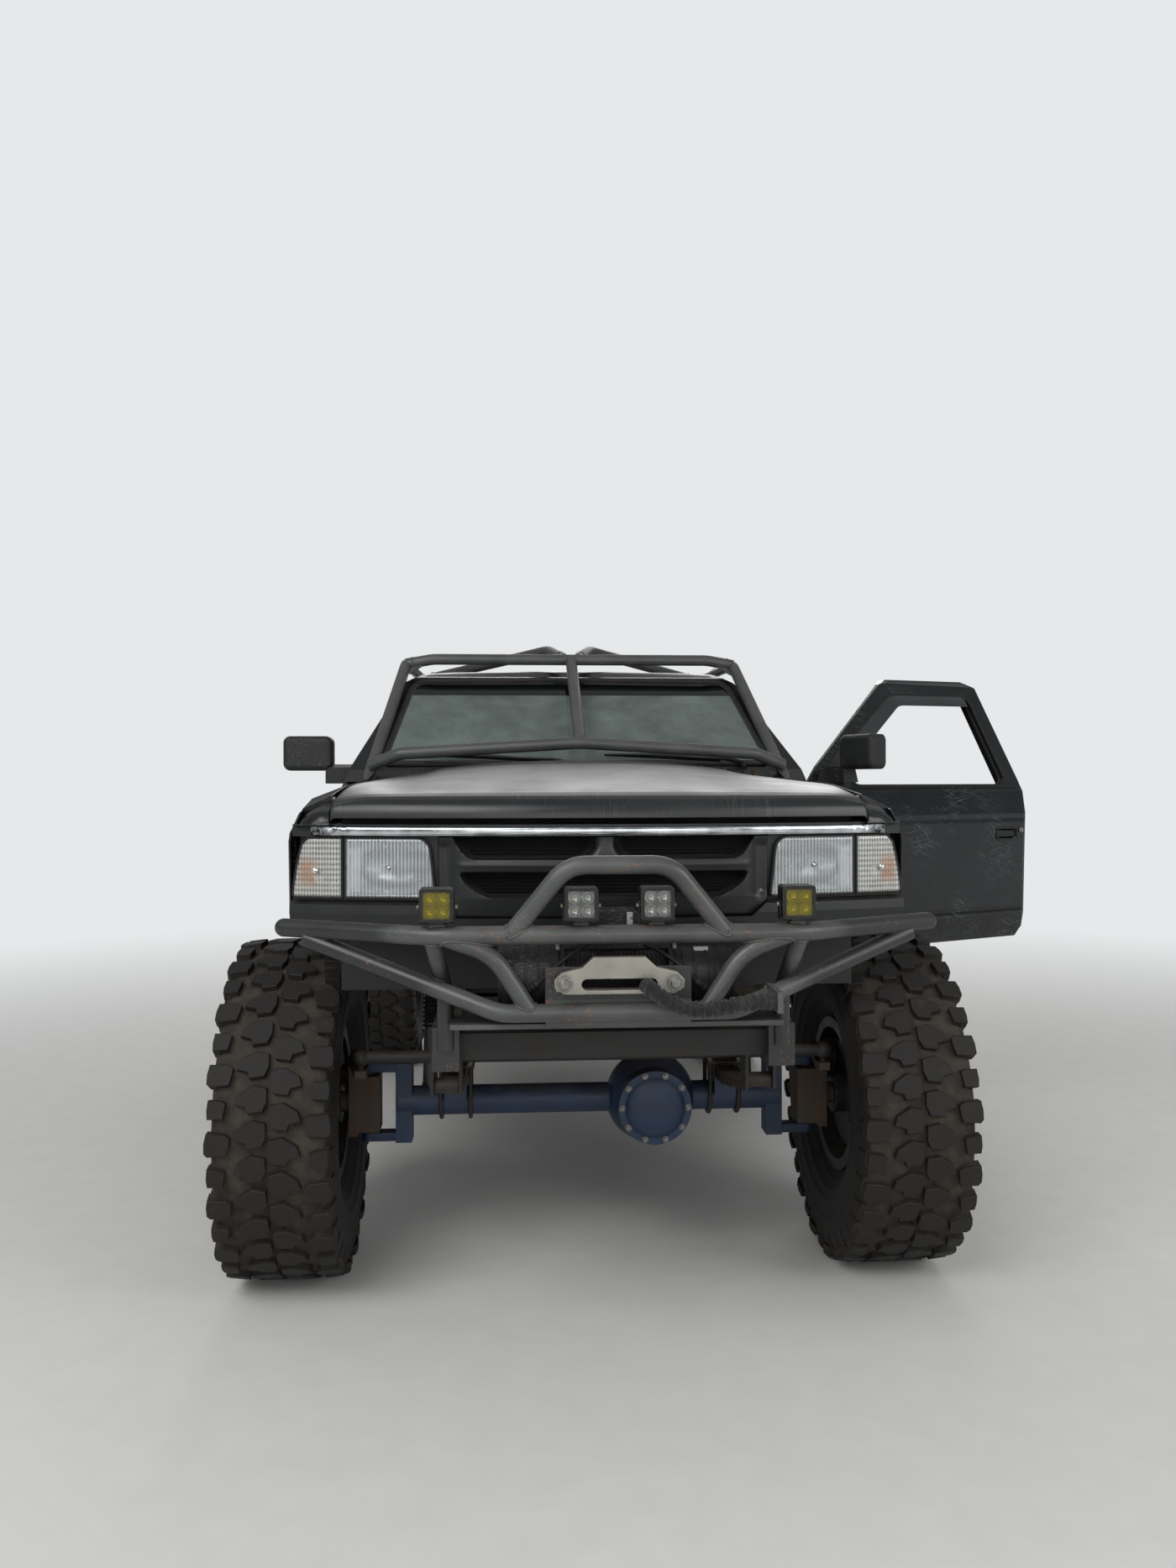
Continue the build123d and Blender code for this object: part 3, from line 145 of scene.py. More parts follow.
def makeStage():
    # a wide flat floor and an even pale world; the camera, glass and metal see the pale tone, the
    # car gets the plain light
    half = 60.0
    mesh = bpy.data.meshes.new("studioFloor")
    mesh.from_pydata([(-half, -half, 0), (half, -half, 0), (half, half, 0), (-half, half, 0)], [],
                     [(0, 1, 2, 3)])
    floor = bpy.data.objects.new("studioFloor", mesh)
    bpy.context.scene.collection.objects.link(floor)
    material, tree = newMaterial("paleStudioFloor")
    place = addNode(tree, "TexCoord")
    speckle = addNode(tree, "TexNoise", {"Scale": 9.0, "Detail": 3.0}, {"Vector": place.outputs["Object"]})
    tone = addNode(tree, "ValToRGB", links={"Fac": speckle.outputs["Fac"]},
                   stops=[(0.3, worldLook["floor"]), (0.7, worldLook["floorSeen"])])
    shader = addNode(tree, "BsdfPrincipled", {"Roughness": 0.85, "Specular IOR Level": 0.2},
                     {"Base Color": tone})
    # far from the car the floor fades into the pale tone of the backdrop
    away = addNode(tree, "VectorMath", {"operation": "LENGTH"}, {0: place.outputs["Object"]})
    fade = addNode(tree, "MapRange", {"From Min": worldLook["fadeFrom"], "From Max": worldLook["fadeTo"],
                                      "interpolation_type": "SMOOTHSTEP"},
                   {"Value": away.outputs["Value"]})
    pale = addNode(tree, "Emission", {"Color": srgb(worldLook["seen"])})
    both = addNode(tree, "MixShader", links={"Fac": fade, 1: shader, 2: pale})
    addNode(tree, "OutputMaterial", links={"Surface": both})
    mesh.materials.append(material)

    world = bpy.data.worlds.new("studioWorld")
    bpy.context.scene.world = world
    world.use_nodes = True
    tree = world.node_tree
    tree.nodes.clear()
    path = addNode(tree, "LightPath")
    seen = addNode(tree, "Math", {"operation": "MAXIMUM"},
                   {0: path.outputs["Is Camera Ray"], 1: path.outputs["Is Transmission Ray"]})
    direction = addNode(tree, "TexCoord")
    height = addNode(tree, "SeparateXYZ", links={"Vector": direction.outputs["Generated"]})
    sky = addNode(tree, "ValToRGB", links={"Fac": height.outputs["Z"]},
                  stops=[(0.0, "#b4b6b8"), (0.25, "#c8cacc"), (0.75, "#f2f4f5")])
    pale = addNode(tree, "Background", {"Color": srgb(worldLook["seen"]), "Strength": 1.0})
    plain = addNode(tree, "Background", {"Strength": worldLook["light"]}, {"Color": sky})
    both = addNode(tree, "MixShader", links={"Fac": seen, 1: plain, 2: pale})
    addNode(tree, "OutputWorld", links={"Surface": both})

    for name, row in lights.items():
        data = bpy.data.lights.new(name + "Softbox", "AREA")
        data.shape = "RECTANGLE"
        data.size, data.size_y = row["size"]
        data.energy = row["watts"]
        lamp = bpy.data.objects.new(name + "Softbox", data)
        lamp.location = toMetres(row["at"])
        aim = Vector(toMetres((0, 1200, 1000))) - lamp.location
        lamp.rotation_euler = aim.to_track_quat("-Z", "Y").to_euler()
        bpy.context.scene.collection.objects.link(lamp)


makeCamera()
makeStage()
bpy.context.scene.view_settings.view_transform = "Standard"
print("camera, floor and lights placed")


# Finishes


def startFinish(name):
    # gives the material, its tree and the object's coordinates in millimetres
    material, tree = newMaterial(name)
    place = addNode(tree, "TexCoord")
    inMillimetres = addNode(tree, "VectorMath", {"operation": "SCALE", "Scale": 1000.0},
                            {"Vector": place.outputs["Object"]})
    return material, tree, inMillimetres


def noiseAt(tree, place, size, detail=4.0, stretch=(1, 1, 1), roughness=0.55):
    # a noise whose features are size millimetres across, drawn out along an axis by stretch
    squeezed = addNode(tree, "VectorMath",
                       {"operation": "MULTIPLY", 1: tuple(1 / (size * s) for s in stretch)}, {0: place})
    return addNode(tree, "TexNoise", {"Scale": 1.0, "Detail": detail, "Roughness": roughness},
                   {"Vector": squeezed}).outputs["Fac"]


def rampOf(tree, source, low, high, first=0.0, last=1.0):
    # a straight climb from first at low to last at high, held flat outside
    return addNode(tree, "MapRange", {"From Min": low, "From Max": high, "To Min": first, "To Max": last},
                   {"Value": source}).outputs[0]


def mixOf(tree, amount, first, second):
    # first where amount is 0 and second where it is 1; a colour may be a hex text or a socket
    node = addNode(tree, "Mix", {"data_type": "RGBA"}, {0: amount})
    for socket, value in ((6, first), (7, second)):
        if isinstance(value, str):
            node.inputs[socket].default_value = srgb(value)
        else:
            tree.links.new(value, node.inputs[socket])
    return node.outputs[2]


def weighOf(tree, kind, first, second):
    # a sum of arithmetic on two numbers or sockets
    node = addNode(tree, "Math", {"operation": kind})
    for socket, value in ((0, first), (1, second)):
        if isinstance(value, (int, float)):
            node.inputs[socket].default_value = value
        else:
            tree.links.new(value, node.inputs[socket])
    return node.outputs[0]


def makeFinish(name, look):
    # a worn coat over a base: two slow tones, dust on faces that look up, worn edges,
    # fine scratches and a grain
    material, tree, place = startFinish(name)
    slow = noiseAt(tree, place, look.get("toneSize", 260), 5.0)
    colour = mixOf(tree, rampOf(tree, slow, 0.35, 0.68), look["tones"][0], look["tones"][1])
    rough = rampOf(tree, slow, 0.35, 0.7, look["rough"][0], look["rough"][1])
    shape = addNode(tree, "NewGeometry")
    if "dust" in look:
        tint, most = look["dust"]
        upward = addNode(tree, "SeparateXYZ", links={"Vector": shape.outputs["Normal"]}).outputs["Z"]
        patches = noiseAt(tree, place, look.get("dustSize", 70), 7.0, roughness=0.7)
        lying = weighOf(tree, "MULTIPLY", rampOf(tree, upward, look.get("dustFrom", 0.45), 0.97),
                        rampOf(tree, patches, 0.32, 0.76))
        amount = weighOf(tree, "MULTIPLY", lying, most)
        colour = mixOf(tree, amount, colour, tint)
        rough = weighOf(tree, "ADD", rough, weighOf(tree, "MULTIPLY", amount, 0.35))
    if "scratch" in look:
        tint, most, length = look["scratch"]
        spots = noiseAt(tree, place, 190, 3.0)
        for degrees in look.get("scratchTurns", (0,)):
            leaning = addNode(tree, "VectorRotate", {"rotation_type": "X_AXIS", "Angle": radians(degrees)},
                              {"Vector": place})
            line = noiseAt(tree, leaning, length, 2.0, look.get("scratchWay", (6, 1, 0.16)), 0.4)
            cut = weighOf(tree, "MULTIPLY", rampOf(tree, line, 0.655, 0.68), rampOf(tree, spots, 0.47, 0.66))
            colour = mixOf(tree, weighOf(tree, "MULTIPLY", cut, most), colour, tint)
    if "held" in look:
        # where the piece's own depth attribute asks for it, a tint in broken patches: dark pitting on the
        # bright strip's bent ends, and painted shade in the grille's deep openings
        tint, size = look["held"]
        asked = addNode(tree, "Attribute", {"attribute_name": "depth"}).outputs["Fac"]
        patches = noiseAt(tree, place, size, 5.0, roughness=0.7)
        broken = rampOf(tree, patches, 0.4, 0.56, 0.15 if size < 100 else 0.9)
        colour = mixOf(tree, weighOf(tree, "MULTIPLY", asked, broken), colour, tint)
        rough = weighOf(tree, "MAXIMUM", rough, weighOf(tree, "MULTIPLY", asked, 0.95))
    if "rear" in look:
        # parts that lie further back than a plane, and a box round the tray, are drawn darker: road dirt with
        # painted shade, the shade that the tubes in front cast on them
        tint, near, far, half, low, high = look["rear"]
        parts = addNode(tree, "SeparateXYZ", links={"Vector": place})
        sideways = weighOf(tree, "SUBTRACT", parts.outputs["X"], float(origin[0]) * 1000)
        aside = addNode(tree, "Math", {"operation": "ABSOLUTE"}, {0: sideways})
        trayDirtAndShade = weighOf(tree, "MULTIPLY", rampOf(tree, aside.outputs[0], half, half - 2),
                         rampOf(tree, parts.outputs["Z"], low, low + 2))
        trayDirtAndShade = weighOf(tree, "MULTIPLY", trayDirtAndShade, rampOf(tree, parts.outputs["Z"], high, high - 2))
        dirtAndShadeBehind = weighOf(tree, "MAXIMUM", rampOf(tree, parts.outputs["Y"], near, far), trayDirtAndShade)
        colour = mixOf(tree, weighOf(tree, "MULTIPLY", dirtAndShadeBehind, 0.85), colour, tint)
    if "chips" in look:
        # stone chips down to primer, thick in a few places
        tint, most = look["chips"]
        spots = weighOf(tree, "MULTIPLY",
                        rampOf(tree, noiseAt(tree, place, 9, 4.0, roughness=0.7), 0.605, 0.63),
                        rampOf(tree, noiseAt(tree, place, 200, 2.0), 0.46, 0.6))
        colour = mixOf(tree, weighOf(tree, "MULTIPLY", spots, most), colour, tint)
    size, strength = look["grain"]
    bump = noiseAt(tree, place, size, 3.0)
    normal = addNode(tree, "Bump", {"Strength": strength, "Distance": 0.001}, {"Height": bump})
    if "edge" in look:
        # coat worn off where the rounded normal leaves the face's own
        tint, most = look["edge"]
        soft = addNode(tree, "Bevel", {"samples": 4, "Radius": 0.0035})
        tree.links.new(soft.outputs[0], normal.inputs["Normal"])
        bent = addNode(tree, "VectorMath", {"operation": "DOT_PRODUCT"},
                       {0: soft.outputs[0], 1: shape.outputs["Normal"]})
        chips = noiseAt(tree, place, 14, 6.0, roughness=0.75)
        worn = weighOf(tree, "MULTIPLY", rampOf(tree, bent.outputs["Value"], 0.985, 0.9),
                       rampOf(tree, chips, 0.42, 0.6))
        colour = mixOf(tree, weighOf(tree, "MULTIPLY", worn, most), colour, tint)
    settings = {"Metallic": look.get("metal", 0.0), "Specular IOR Level": look.get("gloss", 0.5)}
    if "coat" in look:
        settings["Coat Weight"], settings["Coat Roughness"] = look["coat"]
    if "sheen" in look:
        settings["Sheen Weight"] = look["sheen"]
    shader = addNode(tree, "BsdfPrincipled", settings,
                     {"Base Color": colour, "Roughness": rough, "Normal": normal})
    addNode(tree, "OutputMaterial", links={"Surface": shader})
    return material


finishes = {
    # alkyd body enamel, sprayed years ago: near-black charcoal, brushed by branches, a film of
    # dust where it can lie
    "charcoalEnamel": {"tones": ("#0f1012", "#181a1c"), "rough": (0.18, 0.3), "gloss": 0.4, "toneSize": 420,
                       "dust": ("#57534b", 0.26), "dustFrom": 0.7, "dustSize": 300,
                       "scratch": ("#7b8082", 0.42, 70.0), "grain": (1.6, 0.03),
                       "scratchWay": (3, 1, 0.018), "scratchTurns": (38, -24, 68), "edge": ("#3d4042", 0.35)},
    # the same coat on the cab's pillars, out of the branches' reach
    "pillarEnamel": {"tones": ("#0e0f11", "#16181a"), "rough": (0.2, 0.32), "gloss": 0.35, "toneSize": 420,
                     "dust": ("#57534b", 0.26), "dustFrom": 0.8, "dustSize": 300, "grain": (1.6, 0.03)},
    # the bonnet's enamel has gone chalky in the sun: a satin grey with a lighter bloom on top
    "fadedEnamel": {"tones": ("#17181a", "#222324"), "rough": (0.28, 0.42), "gloss": 0.44, "toneSize": 330,
                    "dust": ("#6b6a66", 0.42), "dustFrom": 0.86, "dustSize": 420,
                    "scratch": ("#7b7d7c", 0.45, 60.0), "grain": (1.2, 0.04),
                    "scratchWay": (0.024, 1, 3), "edge": ("#4d4e4e", 0.25)},
    # powder-coated steel tube: satin dark grey with stone chips and rub marks
    "tubePowderCoat": {"tones": ("#3a3b3b", "#494a4a"), "rough": (0.34, 0.48), "toneSize": 160, "gloss": 0.5,
                       "dust": ("#665f54", 0.32), "scratch": ("#8d9090", 0.8, 3.2), "grain": (0.9, 0.09),
                       "edge": ("#757069", 0.5), "chips": ("#6d4a34", 0.8)},
    # the bumper's tubes have the same coat; its tray and brackets behind them are drawn near-black: road dirt
    # with painted shade
    "bumperPowderCoat": {"tones": ("#3a3b3b", "#494a4a"), "rough": (0.32, 0.46), "toneSize": 160,
                         "gloss": 0.5,
                         "dust": ("#665f54", 0.3), "scratch": ("#8d9090", 0.8, 3.2), "grain": (0.9, 0.09),
                         "edge": ("#757069", 0.5), "chips": ("#7a4a2c", 0.85),
                         "rear": ("#191a1b", -2388, -2366, 172, 996, 1100)},
    # injection-moulded polypropylene: black, fine texture, greyed by sun; the near-black tint it holds by the
    # depth attribute is painted shade in the grille's deep openings
    "mouldedPolypropylene": {"tones": ("#0f1011", "#181a1b"), "rough": (0.36, 0.5), "gloss": 0.45,
                             "toneSize": 150,
                             "dust": ("#4e493f", 0.25), "scratch": ("#45484a", 0.35, 3.0),
                             "grain": (0.8, 0.12), "held": ("#050506", 900)},
    # the same plastic in the grille's openings, always in shade: darker and duller
    "shadedPolypropylene": {"tones": ("#070707", "#0c0c0d"), "rough": (0.6, 0.7), "gloss": 0.1,
                            "toneSize": 60, "grain": (0.8, 0.1)},
    # coarse textured nylon of the mirrors and winch covers
    "texturedNylon": {"tones": ("#131415", "#1d1e20"), "rough": (0.5, 0.66), "toneSize": 90, "gloss": 0.4,
                      "dust": ("#58524a", 0.3), "grain": (1.4, 0.4), "edge": ("#3b3c3d", 0.4),
                      "scratch": ("#85898a", 0.7, 16.0), "scratchWay": (1, 3, 0.07)},
    # satin chassis enamel over steel, dusty and browned by road dirt
    "chassisEnamel": {"dustFrom": 0.2, "tones": ("#161616", "#25221f"), "rough": (0.5, 0.7), "toneSize": 110,
                      "gloss": 0.4,
                      "dust": ("#5f5344", 0.6), "grain": (2.2, 0.25), "edge": ("#5d4130", 0.6)},
    # dark blue axle enamel, muddy on top and rubbed to primer at its edges
    "axleEnamel": {"dustFrom": 0.2, "tones": ("#142238", "#1a2d48"), "rough": (0.42, 0.6), "toneSize": 90,
                   "gloss": 0.45,
                   "dust": ("#5b5042", 0.7), "grain": (2.0, 0.25), "edge": ("#6e6a64", 0.7)},
    # grey cast iron, sand-cast: rough grain with a brown bloom of rust
    "castIron": {"dustFrom": 0.2, "tones": ("#3c3732", "#4e3d31"), "rough": (0.6, 0.8), "metal": 0.4,
                 "toneSize": 60,
                 "dust": ("#5d5142", 0.5), "grain": (2.6, 0.5), "edge": ("#6d6a65", 0.5)},
    # spring steel, once painted: black with rust between the leaves
    "springSteel": {"dustFrom": 0.2, "tones": ("#211f1c", "#3b2f26"), "rough": (0.55, 0.75), "metal": 0.3,
                    "toneSize": 45,
                    "dust": ("#5d5142", 0.6), "grain": (1.8, 0.3), "edge": ("#5f402d", 0.7)},
    # pressed steel wheel, satin black enamel with grey dust
    "wheelEnamel": {"tones": ("#151516", "#202021"), "rough": (0.4, 0.55), "toneSize": 100, "gloss": 0.45,
                    "dust": ("#655c50", 0.5), "dustSize": 40, "scratch": ("#7a7875", 0.6, 3.0),
                    "grain": (1.4, 0.12),
                    "edge": ("#7b7872", 0.7)},
    # clear-anodised aluminium plate, gone grey-beige with wear: soft grain of the rolled plate
    "anodisedAluminium": {"tones": ("#85827a", "#9c998f"), "rough": (0.4, 0.55), "metal": 0.7, "toneSize": 70,
                          "dust": ("#6f695d", 0.45), "dustSize": 20, "scratch": ("#5d594f", 0.55, 2.0),
                          "scratchWay": (5, 1, 0.3), "grain": (0.7, 0.18), "edge": ("#c4c0b4", 0.6)},
    # die-cast aluminium lamp housings, black powder coat rubbed through on the rims
    "podCasting": {"tones": ("#0b0b0c", "#131314"), "rough": (0.4, 0.5), "toneSize": 40, "gloss": 0.35,
                   "dust": ("#4b463d", 0.15), "grain": (0.7, 0.2), "edge": ("#8c877c", 0.3)},
    # bright dipped aluminium strip: mirror-like, hazed by dust and pitted dark where it was bent
    "brightStrip": {"tones": ("#a6a9ab", "#cbced0"), "rough": (0.14, 0.28), "metal": 1.0, "toneSize": 60,
                    "dust": ("#6f6c66", 0.3), "grain": (0.9, 0.04), "held": ("#1b1b1b", 16)},
    # oily cast engine metal
    "engineCasting": {"dustFrom": 0.2, "tones": ("#2a2826", "#3d3934"), "rough": (0.5, 0.7), "metal": 0.5,
                      "toneSize": 90,
                      "dust": ("#4b4439", 0.6), "grain": (2.4, 0.35), "edge": ("#6f6a62", 0.4)},
    # mild steel exhaust: brown heat rust with darker streaks
    "rustySteel": {"dustFrom": 0.2, "tones": ("#4e3424", "#6c4b32"), "rough": (0.65, 0.85), "metal": 0.35,
                   "toneSize": 35,
                   "dust": ("#5a4d3e", 0.5), "grain": (1.4, 0.5), "edge": ("#7c7268", 0.4)},
    # blow-moulded polyethylene fuel tank
    "tankPolyethylene": {"tones": ("#131416", "#1b1c1e"), "rough": (0.5, 0.62), "toneSize": 140,
                         "dust": ("#5b5044", 0.6), "grain": (1.1, 0.15)},
    # brazed aluminium radiator, dulled; its near-black tones are painted shade for the dark space behind the
    # grille
    "radiatorAluminiumInPaintedShade": {"tones": ("#101112", "#1b1b1c"), "rough": (0.5, 0.65), "metal": 0.3, "toneSize": 80,
                          "dust": ("#3b362f", 0.4), "grain": (1.0, 0.2)},
    # grained ABS dashboard, dark grey
    "grainedAbs": {"tones": ("#1f2022", "#28292c"), "rough": (0.5, 0.62), "toneSize": 150, "gloss": 0.45,
                   "dust": ("#6b665c", 0.3), "grain": (1.6, 0.45)},
    # zinc-plated steel fasteners, dulled and a little rusty in the corners
    "zincBolt": {"tones": ("#6d6c68", "#8a8882"), "rough": (0.32, 0.48), "metal": 0.85, "toneSize": 20,
                 "dust": ("#5d564b", 0.4), "grain": (0.6, 0.15), "edge": ("#a9a69e", 0.5)},
    # soft black rubber of seals and hoses
    "softRubber": {"tones": ("#0f0f10", "#171718"), "rough": (0.6, 0.75), "toneSize": 60, "gloss": 0.4,
                   "dust": ("#524c43", 0.3), "grain": (0.9, 0.12)},
    # vacuum-aluminised plastic: nearly a mirror, softened by years of haze
    "aluminisedBowl": {"tones": ("#c4c7c9", "#dfe1e2"), "rough": (0.16, 0.3), "metal": 1.0, "toneSize": 30,
                       "grain": (3.0, 0.05)},
    # the LED's phosphor: a small flat yellow square
    "ledChip": {"tones": ("#c9b24a", "#d8c566"), "rough": (0.3, 0.4), "grain": (0.5, 0.05)},
    # white enamelled side plate inside the lamp
    "whiteEnamel": {"tones": ("#d3d6d7", "#e2e4e4"), "rough": (0.3, 0.4), "grain": (2, 0.05)},
    # black ceramic print round the windscreen
    "ceramicFrit": {"tones": ("#0c0d0d", "#131414"), "rough": (0.25, 0.35), "gloss": 0.4,
                    "dust": ("#5b564c", 0.3),
                    "grain": (2, 0.02)},
    # smoke-grey acrylic of the doors' wind deflectors, scratched
    "smokedAcrylic": {"tones": ("#1d2021", "#2a2d2f"), "rough": (0.3, 0.42), "gloss": 0.6,
                      "scratch": ("#6e7376", 0.5, 3.0),
                      "grain": (2, 0.02)},
    # silvered mirror glass
    "mirrorSilver": {"tones": ("#b9bec1", "#c6cacc"), "rough": (0.03, 0.08), "metal": 1.0,
                     "grain": (5, 0.01)},
    # last year's leaves and needles, dry and brown
    "dryLeaf": {"tones": ("#55432e", "#86693e"), "rough": (0.6, 0.8), "toneSize": 9, "grain": (1, 0.3)},
    # sand-cast aluminium, dulled by heat
    "castAluminium": {"dustFrom": 0.2, "tones": ("#6b6a66", "#85837d"), "rough": (0.42, 0.6), "metal": 0.8,
                      "toneSize": 40,
                      "dust": ("#5d564b", 0.6), "grain": (2.0, 0.35), "edge": ("#a5a29a", 0.4)},
    # milky polyethylene of the bottles, yellowed
    "milkyPolyethylene": {"dustFrom": 0.3, "tones": ("#a9a48f", "#c2beaa"), "rough": (0.4, 0.55),
                          "toneSize": 50,
                          "dust": ("#6b6455", 0.5), "grain": (1.4, 0.1)},
    # bare steel plates on the winch, pale and dull
    "paleSteel": {"tones": ("#a9aaa6", "#c3c4c0"), "rough": (0.35, 0.5), "toneSize": 12, "grain": (1, 0.1)},
}
made = {name: makeFinish(name, look) for name, look in finishes.items()}
print("finishes made:", len(made))


def makeGlass(name, tint, film, rough, dust):
    # a tinted see-through pane that still throws its reflections, with a dusty film over it
    material, tree, place = startFinish(name)
    patches = noiseAt(tree, place, 130, 6.0, roughness=0.65)
    clear = addNode(tree, "BsdfTransparent", {"Color": srgb(tint)})
    gloss = addNode(tree, "BsdfGlossy", {"Roughness": rough, "Color": srgb("#ffffff")})
    facing = addNode(tree, "Fresnel", {"IOR": 1.5})
    pane = addNode(tree, "MixShader", links={"Fac": facing, 1: clear, 2: gloss})
    haze = addNode(tree, "BsdfDiffuse", {"Color": srgb(dust)})
    amount = rampOf(tree, patches, 0.35, 0.75, film * 0.4, film)
    both = addNode(tree, "MixShader", links={"Fac": amount, 1: pane, 2: haze})
    addNode(tree, "OutputMaterial", links={"Surface": both})
    return material


def makeFlutedLens(name, look):
    # pressed polycarbonate: see-through, with a painted highlight and a painted shade line on every flute and
    # band, standing in for the light that the flutes bend, and a grey sun haze
    material, tree, place = startFinish(name)
    parts = addNode(tree, "SeparateXYZ", links={"Vector": place})
    # painted highlight and shade: a sine across each flute and band sets the milk's tone between dark and
    # light
    waves = [addNode(tree, "Math", {"operation": "SINE"},
                     {0: weighOf(tree, "MULTIPLY", parts.outputs[axis], 2 * pi / step)})
             for axis, step in (("X", look["flute"]), ("Z", look["band"]))]
    lines = weighOf(tree, "ADD", waves[0].outputs[0],
                    weighOf(tree, "MULTIPLY", waves[1].outputs[0], look["bands"]))
    patch = addNode(tree, "Attribute", {"attribute_name": "depth"}).outputs["Fac"]
    tone = mixOf(tree, patch, mixOf(tree, rampOf(tree, lines, -1.2, 1.2), look["tones"][0], look["tones"][1]),
                 look["patch"])
    clear = addNode(tree, "BsdfTransparent", {"Color": srgb("#eef1f1")})
    milk = addNode(tree, "BsdfDiffuse", links={"Color": tone})
    gloss = addNode(tree, "BsdfGlossy", {"Roughness": 0.12, "Color": srgb("#ffffff")})
    patches = noiseAt(tree, place, 90, 3.0)
    # the haze is a little thicker on the painted highlight lines
    haze = weighOf(tree, "ADD", rampOf(tree, patches, 0.3, 0.7, look["milk"] * 0.8, look["milk"]),
                   weighOf(tree, "MULTIPLY", rampOf(tree, lines, -1.2, 1.2), 0.14))
    body = addNode(tree, "MixShader", links={"Fac": haze, 1: clear, 2: milk})
    facing = addNode(tree, "Fresnel", {"IOR": 1.58})
    both = addNode(tree, "MixShader", links={"Fac": facing, 1: body, 2: gloss})
    addNode(tree, "OutputMaterial", links={"Surface": both})
    return material


def makeRubber():
    # carcass rubber: near-black on the tread's tops, brown dried mud kept in the grooves,
    # which the depth attribute gives
    material, tree, place = startFinish("muddyRubber")
    depth = addNode(tree, "Attribute", {"attribute_name": "depth"}).outputs["Fac"]
    slow = noiseAt(tree, place, 55, 6.0, roughness=0.7)
    fine = noiseAt(tree, place, 6, 5.0)
    top = mixOf(tree, fine, "#171615", "#24211f")
    mud = mixOf(tree, slow, "#2a2724", "#49423a")
    caught = weighOf(tree, "MULTIPLY", rampOf(tree, depth, 0.25, 0.95), rampOf(tree, slow, 0.3, 0.58))
    dusty = weighOf(tree, "MAXIMUM", caught, rampOf(tree, slow, 0.56, 0.75, 0.0, 0.4))
    bump = addNode(tree, "Bump", {"Strength": 0.35, "Distance": 0.0015},
                   {"Height": weighOf(tree, "ADD", fine, slow)})
    shader = addNode(tree, "BsdfPrincipled", {"Specular IOR Level": 0.3},
                     {"Base Color": mixOf(tree, dusty, top, mud),
                      "Roughness": rampOf(tree, dusty, 0.0, 1.0, 0.66, 0.92), "Normal": bump})
    addNode(tree, "OutputMaterial", links={"Surface": shader})
    return material


def makeWeave(name, tones, thread, sheen=0.3):
    # plain-woven cloth: warp and weft bands cross at the thread's spacing, each thread crowned
    material, tree, place = startFinish(name)
    parts = addNode(tree, "SeparateXYZ", links={"Vector": place})
    waves = []
    for axis in "XYZ":
        phase = weighOf(tree, "MULTIPLY", parts.outputs[axis], 2 * pi / thread)
        waves.append(addNode(tree, "Math", {"operation": "SINE"}, {0: phase}).outputs[0])
    cloth = weighOf(tree, "MULTIPLY", waves[0], weighOf(tree, "ADD", waves[1], waves[2]))
    slow = noiseAt(tree, place, 60, 5.0)
    colour = mixOf(tree, rampOf(tree, cloth, -1.0, 1.0), tones[0], tones[1])
    colour = mixOf(tree, rampOf(tree, slow, 0.45, 0.7, 0.0, 0.35), colour, tones[2])
    bump = addNode(tree, "Bump", {"Strength": 0.4, "Distance": 0.0006}, {"Height": cloth})
    shader = addNode(tree, "BsdfPrincipled",
                     {"Roughness": 0.85, "Sheen Weight": sheen, "Specular IOR Level": 0.2},
                     {"Base Color": colour, "Normal": bump})
    addNode(tree, "OutputMaterial", links={"Surface": shader})
    return material


# columns of the panes: tint of what is seen through, share of dust film, roughness, colour of the film
glasses = {
    # laminated windscreen, green-grey and filmed with dust
    "laminatedGlass": ("#c4cfca", 0.5, 0.03, "#8d9993"),
    # the same screen's inner pane and the tempered glass of the doors, a shade darker
    "innerGlass": ("#a3aea9", 0.12, 0.03, "#6f746f"),
    "temperedGlass": ("#6f7975", 0.08, 0.03, "#6f746f"),
    # the band of shade printed on the screen's top edge
    "tintedBand": ("#4a5a5c", 0.2, 0.05, "#1c2324"),
    # clear and amber polycarbonate of the LED pods' covers
    "clearPolycarbonate": ("#f2f4f4", 0.10, 0.05, "#b9b9b4"),
    "amberPolycarbonate": ("#efe84a", 0.24, 0.05, "#a09626"),
    # red and amber acrylic of the tail lamps
    "redAcrylic": ("#c01210", 0.4, 0.06, "#8a1512"),
    "amberAcrylic": ("#e07a14", 0.4, 0.06, "#b05a12"),
}
for name, look in glasses.items():
    made[name] = makeGlass(name, *look)
# pressed polycarbonate of the headlamps and of the corner lamps; the tones are the painted shade and painted
# highlight of the flute lines
fluted = {
    "flutedPolycarbonate": {"flute": 9.5, "band": 40, "bands": 0.15, "milk": 0.24,
                            "tones": ("#a3a8ab", "#e2e5e6"),
                            "patch": "#f4f6f6"},
    "markerPolycarbonate": {"flute": 8, "band": 14, "bands": 0.9, "milk": 0.4,
                            "tones": ("#9a9a94", "#e2e2dc"),
                            "patch": "#c58f68"},
}
for name, look in fluted.items():
    made[name] = makeFlutedLens(name, look)
made["muddyRubber"] = makeRubber()
# grey cloth of the bench, and the dark synthetic rope
made["seatWeave"] = makeWeave("seatWeave", ("#3b3d42", "#55585e", "#6a6459"), 3.0)
made["ropeWeave"] = makeWeave("ropeWeave", ("#131315", "#27272a", "#4b4740"), 2.4, 0.15)

